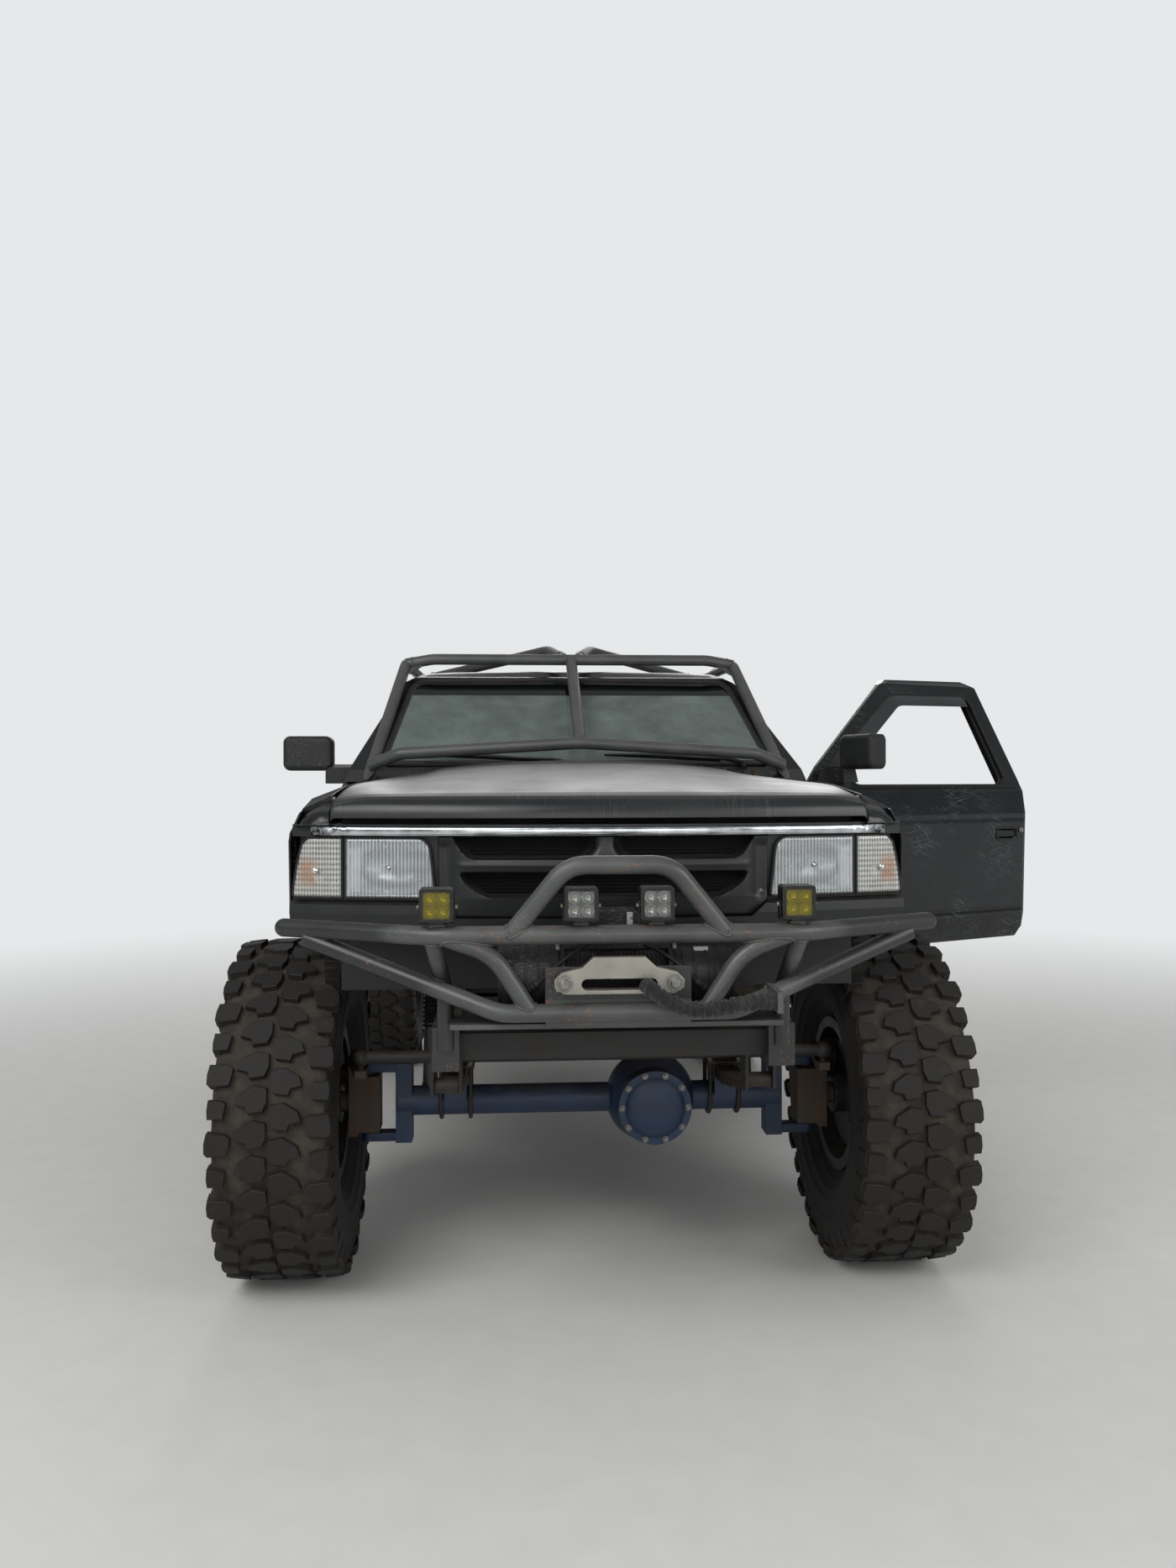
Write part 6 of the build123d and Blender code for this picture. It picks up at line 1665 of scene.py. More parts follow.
def fenderX(y, z):
    # the fender's outline at a length, read between the sections beside it
    rows = np.array(side["fender"], float)
    low, creaseX, creaseZ, shoulderX, shoulderZ = (np.interp(y, rows[:, 0], rows[:, k]) for k in range(1, 6))
    lower = low + (creaseX - low) * (z - 960) / (creaseZ - 960)
    upper = creaseX + (shoulderX - creaseX) * (z - creaseZ) / (shoulderZ - creaseZ)
    return np.where(z < creaseZ, lower, upper)


def sideSheet(yEdges, zEdges, xOf, rows, columns, extra=None):
    # a skin over a stretch of body side; its front, rear, low and high edges may lean; its rims roll inwards
    v, u = gridOf((0, 1, rows), (0, 1, columns))
    yMiddle = yEdges(np.full_like(v, 0.5))
    low, high = zEdges(yMiddle[0] + (yMiddle[1] - yMiddle[0]) * u)
    z = low + (high - low) * v
    front, back = yEdges((z - 800) / 600)
    y = front + (back - front) * u
    low, high = zEdges(y)
    z = low + (high - low) * v
    rim = np.minimum(np.minimum(z - low, high - z), np.minimum(y - front, back - y))
    x = xOf(y, z) + side["proud"] + pressed(z) - 3.0 * rolled(rim, 5)
    if extra is not None:
        x = x + extra(y, z)
    return backedSheet(np.stack([x, y, z], axis=-1), lambda ring: ring - (side["proud"] + 0.5, 0, 0))


def makeSides():
    def straight(front, back):
        return lambda share: (front + 0 * share, back + 0 * share)

    def archLow(y):
        # the front arch's cut edge, and the bed's round one, a little inside the solids' own
        return np.interp(y, [118, 150, 250, 960, 1130, 1172, 1212], [1113, 1113, 1155, 1155, 1014, 906, 806])

    fender = sideSheet(straight(166, 1211),
                       lambda y: (archLow(y), np.interp(y, [118, 480, 850, 1212], [1420, 1452, 1466, 1474])),
                       fenderX, 44, 110)
    axleY, axleZ = side["axle"]

    def bedEdges(y):
        # the arch's circle where it stands over the sill, and the rail
        circle = axleZ + np.sqrt(np.maximum(side["bedArch"] ** 2 - (y - axleY) ** 2, 0))
        return np.maximum(side["bedFloor"], circle), side["bedTop"] + 0 * y

    bed = sideSheet(straight(2674, 4400), bedEdges, lambda y, z: cabX(np.minimum(z, 1372)), 44, 150)
    quarter = sideSheet(straight(2362, 2652), lambda y: (side["sillZ"] + 0 * y, 1462 + 0 * y),
                        lambda y, z: cabX(z), 44, 20)
    makePiece("sideSkins", joinForms([bothSides(form) for form in (fender, bed, quarter)]), "charcoalEnamel",
              sharp=32)
    # the arches' lips: a tube round the bed's circle, and one along the fender's cut edge
    angle, reach = np.linspace(0.62, pi - 0.62, 60), side["bedArch"] + 5
    z = axleZ + reach * np.sin(angle)
    arches = [tubeAlong(np.column_stack([cabX(z) + 1, axleY + reach * np.cos(angle), z]), 6.0, 10)]
    front = bentPath([(1204, 812), (1172, 900), (1130, 1012), (960, 1152), (250, 1152), (160, 1112)], 60)
    front = [(fenderX(y, max(z, 960)) + 1.0 - 0.117 * max(960 - z, 0), y, max(z, 814)) for y, z in front]
    arches.append(tubeAlong(front, 5.0, 10))
    makePiece("archLips", bothSides(joinForms(arches)), "charcoalEnamel")
    rail = [(866, y, 1405.5) for y in np.linspace(2680, 4396, 40)]
    makePiece("bedRailCaps", bothSides(tubeAlong(rail, 7.5, 10)), "mouldedPolypropylene")
    flap = plate(roundedOutline(132, 132, 26, 6, (2900, 1236)), (883.2, 885.6), axes="yzx")
    makePiece("fuelFlap", flap, "charcoalEnamel")


def makeFenderCaps():
    # the fender's front corner over the lamp: its cross section, dropped by the bonnet's own roll
    # as it nears the front
    section = [(733.5, 1464), (760, 1453), (786, 1438), (808, 1423), (821, 1407), (829, 1390)]
    share, corners = np.linspace(0, 1, 30), np.linspace(0, 1, len(section))
    x, z = (np.interp(share, corners, column)[:, None] for column in np.array(section).T)
    steps = 115 * np.linspace(0, 1, 34) ** 2
    run, edge = np.array(bonnet["runs"], float).T[[0, 2]]
    drop = np.interp(120, run, edge) - np.interp(steps, run, edge)
    drop = drop + bonnet["cornerDrop"] * (1 - smooth(x, 733, 790)) * (1 - smooth(steps, 40, 112))
    outer = np.stack([x + 0 * steps, noseY(x) + 1 + steps, np.maximum(z - drop, 1389)], axis=-1)
    makePiece("fenderCaps", bothSides(shellOf(outer, outer + (-4, 3, -5))), "charcoalEnamel", sharp=60)


# Doors: skin, window frame, seals, deflector, handle, lock, inner trim and mirror glass

door = {"hinge": (868, 1230, 0), "open": -65,
        "frame": [(1231, 1476), (1231, 1500), (1293, 1557), (1743, 1893), (1801, 1917),
                  (2239, 1925), (2280, 1897), (2348, 1476)],
        "window": [(1432, 1484), (1432, 1622), (1772, 1858), (2216, 1868), (2275, 1484)],
        "handle": (2241, 1288),
        "low": 863, "high": 1474, "front": 1230,
        "sail": [(1246, 1478), (1428, 1478), (1428, 1628), (1300, 1540)],
        "deflector": [(1452, 1618), (1765, 1838), (1800, 1846), (2196, 1852)], "trimY": (1262, 2302),
        "trimZ": (925, 1440), "mirror": (995, 1612)}


def polarOutline(outline, centre, count):
    # the same outline with points at even angles about a centre
    steps = np.linspace(0, len(outline), len(outline) * 60, endpoint=False)
    closed = np.vstack([outline, outline[:1]])
    fine = np.column_stack([np.interp(steps, np.arange(len(closed)), column) for column in closed.T]) - centre
    angle = np.arctan2(fine[:, 1], fine[:, 0])
    order = np.argsort(angle)
    wanted = np.linspace(-pi, pi, count, endpoint=False)
    reach = np.interp(wanted, angle[order], np.hypot(*fine[order].T), period=2 * pi)
    return np.column_stack([centre[0] + reach * np.cos(wanted), centre[1] + reach * np.sin(wanted)])


def onDoor(y, z, out):
    # a point out millimetres off the closed door's face
    return np.stack([cabX(z) + out, y + 0 * z, z + 0 * y], axis=-1)


def doorForms():
    # the closed left door's forms and their finishes, each lofted off its face by an amount
    # that depends on the place
    forms = {}
    handleY, handleZ = door["handle"]

    def pocket(y, z):
        inside = smooth(54 - np.abs(y - handleY), 0, 5) * smooth(21 - np.abs(z - handleZ), 0, 5)
        return -15.5 * inside

    def edges(share):
        z = 800 + 600 * share
        return door["front"] + 0 * share, np.interp(z, [862, 900, 1462], [2322, 2349, 2349])

    def heights(y):
        return door["low"] + 0 * y, door["high"] + 0 * y

    forms["Skin"] = sideSheet(edges, heights, lambda y, z: cabX(z), 70, 150, pocket), "charcoalEnamel"
    middle = np.array([1900, 1660])
    outer = polarOutline(roundedCorners(door["frame"], 26), middle, 260)
    window = np.array(door["window"], float)
    inner = polarOutline(roundedCorners(offsetOutline(window, -5), 52, 10), middle, 260)
    band = bandForm(outer, inner, lambda y, z, out: onDoor(y, z, out - 8 * (out == 0)), 3.2)
    forms["Frame"] = band, "charcoalEnamel"
    sealY, sealZ = polarOutline(roundedCorners(offsetOutline(window, -1), 50, 10), middle, 200).T
    seals = [tubeAlong(onDoor(sealY, sealZ, out), size, 8, closed=True)
             for out, size in ((2.5, 6.0), (-22, 7.0))]
    forms["Seal"] = joinForms(seals), "softRubber"
    flat, faces = plate(roundedCorners(door["sail"], 18, 6), (0, 1), 0.3, axes="yzx")
    forms["Sail"] = (onDoor(flat[:, 1], flat[:, 2], 3.3 + 3.2 * flat[:, 0]), faces), "texturedNylon"
    # the deflector: a smoked strip that stands off the frame along the window's front slope and top
    path = evenly(bentPath(door["deflector"], 60, 14), count=90)[0]
    ahead = np.gradient(path, axis=0)
    ahead /= np.linalg.norm(ahead, axis=1, keepdims=True)
    share = np.linspace(0, 1, len(path))[:, None]
    taper = smooth(share, 0, 0.05) * (1 - smooth(share, 0.97, 1.0)) * 0.8 + 0.2
    across = np.linspace(0, 1, 10)
    shift = -14 + 50 * across
    y, z = path[:, :1] + ahead[:, 1:] * shift, path[:, 1:] - ahead[:, :1] * shift
    face = np.stack([cabX(z) + 3 + 24 * np.sin(across * pi / 2) * taper, y, z], axis=-1)
    forms["Deflector"] = shellOf(face, face - (2.6, 0, 0)), "smokedAcrylic"
    ring = frameRing(roundedOutline(122, 54, 12, 6, (handleY, handleZ)), 7, (880.6, 885.0), axes="yzx")
    paddle = roundedBlock((868.5, handleY - 46, handleZ - 4), (881, handleY + 46, handleZ + 15), 5, 4)
    forms["Handle"] = joinForms([ring, paddle]), "mouldedPolypropylene"
    lock = [(0, 12), (2.4, 12), (3.2, 10.4), (3.2, 7), (2.4, 6.6), (2.4, 0.6)]
    forms["Lock"] = turned(lock, (883.3, handleY + 82, handleZ + 14), (1, 0, 0), 24), "zincBolt"
    # the inner trim: a board with an armrest, a pocket line and a crank
    (front, rear), (low, high) = door["trimY"], door["trimZ"]
    z, y = gridOf((low, high, 60), (front, rear, 120))
    rim = np.minimum(np.minimum(y - front, rear - y), np.minimum(z - low, high - z))
    rest = 38 * smooth(260 - np.abs(y - 1830), 0, 40) * smooth(34 - np.abs(z - 1228), 0, 22)
    pouch = 16 * smooth(300 - np.abs(y - 1700), 0, 30) * smooth(70 - np.abs(z - 1010), 0, 24)
    inside = np.interp(z, [905, 960, 1372, 1462], [776, 792, 804, 806])
    x = inside - 3 - rest - pouch + 2.5 * rolled(rim, 14) - 1.2 * bell(z, 1130, 4)
    forms["Trim"] = backedSheet(np.stack([x, y, z], axis=-1), lambda ring: ring + (5, 0, 0)), "grainedAbs"
    crank = joinForms([turned([(0, 17), (8, 16), (12, 8), (13, 1)], (799, 1560, 1130), (-1, 0, 0), 20),
                       tubeAlong(bentPath([(788, 1560, 1130), (784, 1590, 1098), (778, 1612, 1078)], 12), 5.5,
                                 10),
                       turned([(0, 9), (18, 11), (26, 8), (27, 1)], (780, 1612, 1078), (-1, 0, 0), 16)])
    forms["Crank"] = crank, "mouldedPolypropylene"
    ring = frameRing(roundedOutline(96, 44, 12, 5, (1420, 1330)), 6, (792, 798), axes="yzx")
    paddle = roundedBlock((788, 1386, 1322), (797, 1450, 1340), 4, 3)
    forms["InnerHandle"] = joinForms([ring, paddle]), "mouldedPolypropylene"
    pane = plate(roundedOutline(150, 98, 18, 6, door["mirror"]), (1387.2, 1390.2), 1.2)
    forms["MirrorGlass"] = pane, "mirrorSilver"
    ring = frameRing(roundedOutline(166, 112, 22, 6, door["mirror"]), 8, (1386.0, 1394.0))
    forms["MirrorRim"] = ring, "texturedNylon"
    return forms


def makeDoors():
    # the left door's forms turned open about its hinge, and the right door's mirrored
    for name, (form, finish) in doorForms().items():
        slot = "chrome_trim" if name == "Lock" else None
        makePiece("leftDoor" + name, turnForm(form, (0, 0, 1), door["open"], door["hinge"]), finish,
                  "door_left", slot, 34)
        makePiece("rightDoor" + name, mirrorForm(form), finish, "door_right", slot, 34)


makeSides()
makeFenderCaps()
makeDoors()
print("body sides and doors skinned")
makeLamps()
makePods()
makeGrille()
makeStrip()
makeBonnet()
makeScreen()
makeWipers()
makeCowl()
makeWinch()
makeFairleadBolts()
makeWinchTags()
makeWelds()
print("nose dressed")


# Running gear: nuts, hubs, covers, clamps and boots

# columns: the springs' x and y, the axle covers' x, y and way, the shock absorbers' foot and head
gear = {"nuts": 6, "nutReach": 88, "springs": ((420, 640), (460, 3383)), "tube": 45,
        "covers": ((190, 494, -1), (0, 3529, 1)),
        "shocks": (((506, 706.6, 536.2), (500, 760, 900)), ((566, 3316.4, 536.2), (486, 3193, 880))),
        "coverBolts": 10, "nut": [(0, 13), (4, 13), (5, 10.5), (16, 10.5), (19, 8), (19, 1)],
        "dial": [(0, 43), (3, 43), (4, 38), (9, 37), (10, 30), (7, 28), (7, 1)],
        "cover": [(0, 92), (8, 89), (17, 74), (22, 48), (24, 1)], "folds": 11}


def makeHubs():
    for name, side, y in tyre["wheels"]:
        centre, way = np.array((side * tyre["halfTrack"], y, tyre["axleZ"])), (side, 0, 0)
        angle = np.arange(gear["nuts"]) * 2 * pi / gear["nuts"] + 0.2
        spots = [centre + (side * 45, gear["nutReach"] * cos(a), gear["nutReach"] * sin(a)) for a in angle]
        nuts = [turned(gear["nut"], spot, way, 6) for spot in spots]
        dial = turned(gear["dial"], centre + (side * 103.5, 0, 0), way, 40)
        grip = roundedBlock(centre + (side * 110, -27, -6), centre + (side * 115, 27, 6), 3)
        screws = [screwHead(centre + (side * 112.5, 33.5 * cos(a), 33.5 * sin(a)), way, 3.2) for a in angle]
        valve = turned([(0, 5), (14, 4.6), (15, 3.6), (30, 3.6), (31, 0.6)], centre + (side * 70, 0, 196),
                       (side, 0, -0.3), 12)
        makePiece("wheelNuts_" + name, joinForms(nuts + screws), "zincBolt", "wheel_" + name)
        makePiece("hubDial_" + name, joinForms([dial, grip, valve]), "castIron", "wheel_" + name, sharp=50)


def makeAxleDetail():
    # clamps: round bars bent in a half circle under each axle tube, with nuts over a plate
    forms, bolts, angle = [], [], np.linspace(0, -pi, 22)
    reach, axleZ = gear["tube"] + 8, tyre["axleZ"]
    for x, y in gear["springs"]:
        for barX in (x - 45, x + 45):
            bend = np.column_stack([np.full(len(angle), barX), y + reach * np.cos(angle),
                                    axleZ + reach * np.sin(angle)])
            bar = np.concatenate([[(barX, y + reach, 636)], bend, [(barX, y - reach, 636)]])
            forms.append(tubeAlong(bar, 6.5, 10))
            bolts += [hexBolt((barX, y + way * reach, 627), (0, 0, 1), 19, 0.7) for way in (-1, 1)]
        forms.append(roundedBlock((x - 58, y - 66, 619), (x + 58, y + 66, 627), 3))
        forms.append(roundedBlock((x - 26, y - 26, 626), (x + 26, y + 26, 660), 8, 4))
    makePiece("axleClamps", bothSides(joinForms(forms)), "springSteel")
    makePiece("axleBolts", bothSides(joinForms(bolts)), "zincBolt")
    bolts, domes = [], []
    for x, y, way in gear["covers"]:
        bolts += [hexBolt((x + 101 * cos(a), y, axleZ + 101 * sin(a)), (0, way, 0), 14)
                  for a in np.arange(gear["coverBolts"]) * 2 * pi / gear["coverBolts"]]
        domes.append(turned(gear["cover"], (x, y - way, axleZ), (0, way, 0), 48))
    makePiece("coverBolts", joinForms(bolts), "zincBolt")
    makePiece("axleCovers", joinForms(domes), "axleEnamel", sharp=60)
    # a boot: a pipe whose radius follows a sine along the shock absorber
    boots, rows = [], 70
    for foot, head in gear["shocks"]:
        foot, head = np.array(foot), np.array(head)
        line = foot + (head - foot) * np.linspace(0.5, 0.93, rows)[:, None]
        boots.append(tubeAlong(line, 27 + 4.5 * np.sin(np.linspace(0, 2 * pi * gear["folds"], rows)), 20))
    makePiece("shockBoots", bothSides(joinForms(boots)), "softRubber", slot="rubber", sharp=60)


# Seat: padded bench with sewn channels and two head rests, blown up as cloth

# columns of the sections: y, z of the pad's outline from the side
pads = {"inset": 13, "voxel": 0.016, "smallVoxel": 0.009, "pressure": 4.0, "cap": 0.026, "channel": 7.0,
        "channelWidth": 11,
        "channels": (-460, -230, 0, 230, 460), "half": 690, "headHalf": 128, "headX": 340, "frames": 20,
        "cushion": [(1745, 967), (1722, 1130), (1742, 1166), (1800, 1178), (2186, 1140), (2206, 1080),
                    (2198, 967)],
        "back": [(2196, 1146), (2304, 1618), (2332, 1638), (2380, 1626), (2398, 1580), (2334, 1106),
                 (2240, 1084)],
        "head": [(2296, 1628), (2296, 1760), (2312, 1780), (2354, 1780), (2372, 1760), (2372, 1628),
                 (2354, 1612), (2312, 1612)]}


def makePad(name, section, half, middle=0, channels=(), voxel="voxel", rest=None):
    # a section carried across and drawn in, remeshed, swollen under pressure with a cap on each
    # point's travel, then pressed in along its sewn channels by a bell curve across each one
    outline = offsetOutline(anticlockwise(section), pads["inset"])
    form = plate(outline, (middle - half + pads["inset"], middle + half - pads["inset"]), 16, axes="yzx")
    piece = makePiece(name, form, "seatWeave", sharp=180)
    remesh = piece.modifiers.new("voxels", "REMESH")
    remesh.voxel_size = pads[voxel]
    mesh = bpy.data.meshes.new_from_object(piece.evaluated_get(bpy.context.evaluated_depsgraph_get()))
    piece.modifiers.clear()
    piece.data = mesh
    mesh.name = name
    start = np.zeros(len(mesh.vertices) * 3)
    mesh.vertices.foreach_get("co", start)
    start = start.reshape(-1, 3)
    scene = bpy.context.scene
    swollen = start
    cloth = piece.modifiers.new("swell", "CLOTH")
    cloth.settings.use_pressure = True
    cloth.settings.uniform_pressure_force = pads["pressure"]
    cloth.settings.effector_weights.gravity = 0
    cloth.point_cache.frame_start, cloth.point_cache.frame_end = 1, pads["frames"]
    for step in range(1, pads["frames"] + 1):
        scene.frame_set(step)
    swollen = np.zeros(start.size)
    piece.evaluated_get(bpy.context.evaluated_depsgraph_get()).data.vertices.foreach_get("co", swollen)
    swollen = swollen.reshape(-1, 3)
    piece.modifiers.clear()
    scene.frame_set(1)
    move = swollen - start
    length = np.linalg.norm(move, axis=1, keepdims=True)
    move = move * np.minimum(1, pads["cap"] / np.maximum(length, 1e-6))
    normals = np.zeros(len(start) * 3)
    mesh.vertices.foreach_get("normal", normals)
    place = (start - origin) * 1000
    pressedIn = sum((bell(place[:, 0], x, pads["channelWidth"]) for x in channels), np.zeros(len(start)))
    if rest is not None:
        # flat where it lies on its base, and no channel underneath
        held = smooth(place[:, 2], rest, rest + 50)
        move, pressedIn = move * held[:, None], pressedIn * held
    points = start + move - normals.reshape(-1, 3) * pressedIn[:, None] * pads["channel"] * 0.001
    mesh.vertices.foreach_set("co", points.astype(np.float32).ravel())
    if not mesh.materials:
        mesh.materials.append(made["seatWeave"])
    mesh.shade_smooth()
    soft = piece.modifiers.new("soft", "SUBSURF")
    soft.levels = soft.render_levels = 1
    mesh.update()
    return piece


def makeSeat():
    pad = makePad("benchCushion", pads["cushion"], pads["half"], channels=pads["channels"], rest=975)
    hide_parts("bench_seat")
    makePad("benchBack", pads["back"], pads["half"], channels=pads["channels"])
    posts = []
    for x, name in ((-pads["headX"], "Right"), (pads["headX"], "Left")):
        makePad("headRest" + name, pads["head"], pads["headHalf"], x, voxel="smallVoxel")
        posts += [turned([(0, 6), (70, 6)], (x + dx, 2338, 1570), (0, 0, 1), 12) for dx in (-60, 60)]
    makePiece("headRestPosts", joinForms(posts), "zincBolt")
    makePiece("seatBase", roundedBlock((-600, 1790, 905.5), (600, 2180, 980), 8, 3), "mouldedPolypropylene")


# Cab inside: vents, gauges, radio's place, gear lever, pedals and the steering wheel

# columns of the pedals: x, half width, z
cab = {"wheel": (360, 1552, 1347), "wheelAxis": (0, 0.9063, 0.4226), "wheelDown": (0, 0.4226, -0.9063),
       "ring": 182,
       "grip": 13.5, "vents": (-640, -110, 110, 640),
       "pedals": ((250, 34, 1000), (350, 40, 1000), (440, 26, 980)),
       "gaiter": [(0, 62), (6, 58), (16, 44), (24, 46), (34, 34), (42, 36), (54, 24), (62, 25), (76, 12),
                  (80, 10)]}


def makeDashboard():
    # frames and blocks on the dashboard's face, and bright dials, knobs and rods between them
    forms, bright = [], []
    for x in cab["vents"]:
        forms.append(frameRing(roundedOutline(120, 58, 12, 5, (x, 1344)), 7, (1436, 1452)))
        forms += [roundedBlock((x - 52, 1440, z - 1.5), (x + 52, 1449, z + 1.5), 1.2, 2)
                  for z in np.arange(1324, 1368, 8.0)]
    # the gauge hood: an arch swept rearwards over two dials
    u, v = gridOf((0, pi, 40), (0, 1, 14))
    arch = np.stack([360 + 168 * np.cos(u), 1300 + 150 * v, 1400 + (66 + 10 * v) * np.sin(u) ** 0.6], axis=-1)
    forms.append(shellOf(arch, arch + (0, 0, 5)))
    forms.append(roundedBlock((200, 1330, 1392), (520, 1400, 1446), 8))
    for x in (290, 430):
        bright.append(turned([(0, 34), (4, 34), (5, 31), (2, 30), (2, 1)], (x, 1400, 1428), (0, 1, 0.1), 36))
        bright.append(roundedBlock((x - 1.2, 1403, 1424), (x + 1.2, 1405, 1450), 0.8, 2))
    forms.append(frameRing(roundedOutline(186, 56, 4, 3, (0, 1266)), 5, (1448, 1458)))
    forms.append(roundedBlock((-84, 1444, 1244), (84, 1454, 1288), 2))
    bright += [turned([(0, 9), (10, 8), (11, 6), (11, 0.5)], (x, 1453, 1266), (0, 1, 0), 16)
               for x in (-66, 66)]
    forms.append(frameRing(roundedOutline(330, 110, 14, 5, (-430, 1258)), 4, (1449, 1456)))
    forms.append(turned(cab["gaiter"], (60, 1610, 905), (0, 0.1, 1), 28))
    lever = bentPath([(60, 1618, 980), (60, 1640, 1120), (44, 1650, 1240)], 60)
    bright.append(tubeAlong(lever, 6.5, 12))
    forms.append(turned([(0, 8), (8, 17), (22, 22), (36, 20), (46, 10), (48, 1)], (44, 1650, 1232),
                        (-0.1, 0.1, 1), 24))
    for x, wide, z in cab["pedals"]:
        forms.append(roundedBlock((x - wide, 1296, z - 26), (x + wide, 1308, z + 26), 4))
        bright.append(tubeAlong([(x, 1300, z), (x, 1270, z + 60), (x, 1240, z + 150)], 6, 8))
    makePiece("dashFittings", joinForms(forms), "mouldedPolypropylene", slot="dash_plastic", sharp=40)
    makePiece("dashBright", joinForms(bright), "zincBolt", sharp=40)


def makeSteeringWheel():
    # a ring of round section, a turned boss and three spokes that are thinner in the middle
    axis, down, centre = (np.array(cab[key]) for key in ("wheelAxis", "wheelDown", "wheel"))
    t = np.arange(14) * 2 * pi / 14
    rim = turned(np.column_stack([cab["grip"] * np.sin(t), cab["ring"] + cab["grip"] * np.cos(t)]), centre,
                 axis, 72, closed=True)
    boss = turned([(-14, 40), (-8, 45), (6, 45), (14, 38), (17, 24), (17, 1)], centre, axis, 40)
    spokes = []
    for across, below in ((1, 0), (-1, 0), (0, -1)):
        way = across * np.array((1.0, 0, 0)) + below * down
        share = np.linspace(0, 1, 12)[:, None]
        spokes.append(tubeAlong(centre + way * (30 + 142 * share) + axis * (4 - 8 * share),
                                11 - 4 * np.sin(np.linspace(0, pi, 12)), 12))
    wheel = joinForms([rim, boss] + spokes)
    piece = makePiece("wheelRim", wheel, "mouldedPolypropylene", "steering_wheel", "dash_plastic", 50)
    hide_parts("steering_wheel")


# Roof: the pressed skin over the cab with its lengthwise ribs, and the drip rails over the doors

roof = {"half": 592, "front": 1752, "rear": 2552, "ribs": (-400, -200, 0, 200, 400), "crown": 9,
        "ribHeight": 3.5, "ribWidth": 13,
        "rail": [(1264, 1545), (1297, 1574), (1740, 1912), (1805, 1938), (2245, 1946), (2312, 1913),
                 (2368, 1492)],
        "rearWindow": [(-560, 1535), (560, 1535), (520, 1860), (0, 1866), (-520, 1860)]}


def makeRoof():
    # the lower of the cross section and the side profile, crowned by a parabola, with ribs as bell curves
    x, y = gridOf((-roof["half"], roof["half"], 130), (roof["front"], roof["rear"], 60))
    across = np.interp(np.abs(x), [0, 600], [1966, 1948])
    along = np.interp(y, [1738, 1800, 2250, 2560], [1930, 1951, 1966, 1950])
    rim = np.minimum(roof["half"] - np.abs(x), np.minimum(y - roof["front"], roof["rear"] - y))
    ribs = sum(bell(x, place, roof["ribWidth"]) for place in roof["ribs"])
    ribs = ribs * smooth(y, 1840, 1880) * (1 - smooth(y, 2450, 2490))
    crowned = roof["crown"] * (1 - (x / roof["half"]) ** 2) * smooth(rim, 0, 60)
    z = np.minimum(across, along) + 2 + crowned + roof["ribHeight"] * ribs - 2 * rolled(rim, 8)
    skin = backedSheet(np.stack([x, y, z], axis=-1), lambda ring: ring - (0, 0, 4))
    makePiece("roofSkin", skin, "pillarEnamel", sharp=40)
    y, z = bentPath(roof["rail"], 40).T
    makePiece("dripRails", bothSides(tubeAlong(np.column_stack([cabX(z) + 4, y, z]), 5, 8)), "charcoalEnamel")
    x, z = roundedCorners(offsetOutline(np.array(roof["rearWindow"], float), -4), 40, 8).T
    slope = np.column_stack([x, 2645 - (z - 1500) * 0.13, z])
    makePiece("rearWindowSeal", tubeAlong(slope, 8, 10, closed=True), "softRubber")


# Load bed, tail lamps, rear bumper's receiver and tailgate

# columns of the lenses: piece, finish, z low and high
rear = {"lampX": (810, 874), "lampY": (4380, 4407.5), "ribs": np.arange(-520, 521, 104),
        "hooks": (2760, 4290),
        "lenses": [("redTailLenses", "redAcrylic", 1266, 1338),
                   ("amberTailLenses", "amberAcrylic", 1186, 1262),
                   ("clearTailLenses", "clearPolycarbonate", 1104, 1182)]}


def makeRear():
    ribs = [roundedBlock((x - 30, 2700, 983), (x + 30, 4340, 991), 4) for x in rear["ribs"]]
    makePiece("bedRibs", joinForms(ribs), "charcoalEnamel")
    hooks = []
    for y in rear["hooks"]:
        bar = [(800, y - 32, 1250), (770, y - 32, 1262), (770, y + 32, 1262), (800, y + 32, 1250)]
        hooks += [tubeAlong(bentPath(bar, 14), 5, 10),
                  roundedBlock((790, y - 46, 1236), (798.5, y + 46, 1264), 3)]
    makePiece("tieDownHooks", bothSides(joinForms(hooks)), "zincBolt")
    (x0, x1), (y0, y1) = rear["lampX"], rear["lampY"]
    for name, finish, low, high in rear["lenses"]:
        # a rounded block with fine ribs across its rear face
        form = roundedBlock((x0 + 3, y0 + 8, low), (x1 - 3, y1, high), 5, 3)
        lines = [roundedBlock((x0 + 7, y1 - 1, z - 1.6), (x1 - 7, y1 + 1.2, z + 1.6), 1.2, 2)
                 for z in np.arange(low + 8, high - 5, 7.0)]
        piece = makePiece(name, bothSides(joinForms([form] + lines)), finish, slot="tail_red")
        if name == "redTailLenses":
            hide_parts("tail_lamps")
    makePiece("tailBowls", bothSides(roundedBlock((x0 + 1, y0, 1102), (x1 - 1, y0 + 6, 1340), 3)),
              "aluminisedBowl")
    middle = ((x0 + x1) / 2, 1220)
    ring = frameRing(roundedOutline(x1 - x0 + 6, 246, 8, 5, middle), 6, (y0, y1 + 0.8))
    makePiece("tailRims", bothSides(ring), "mouldedPolypropylene", sharp=50)
    receiver = frameRing(roundedOutline(78, 78, 8, 5, (0, 822)), 7, (4524, 4536.4))
    makePiece("receiverCollar", receiver, "chassisEnamel", sharp=50)


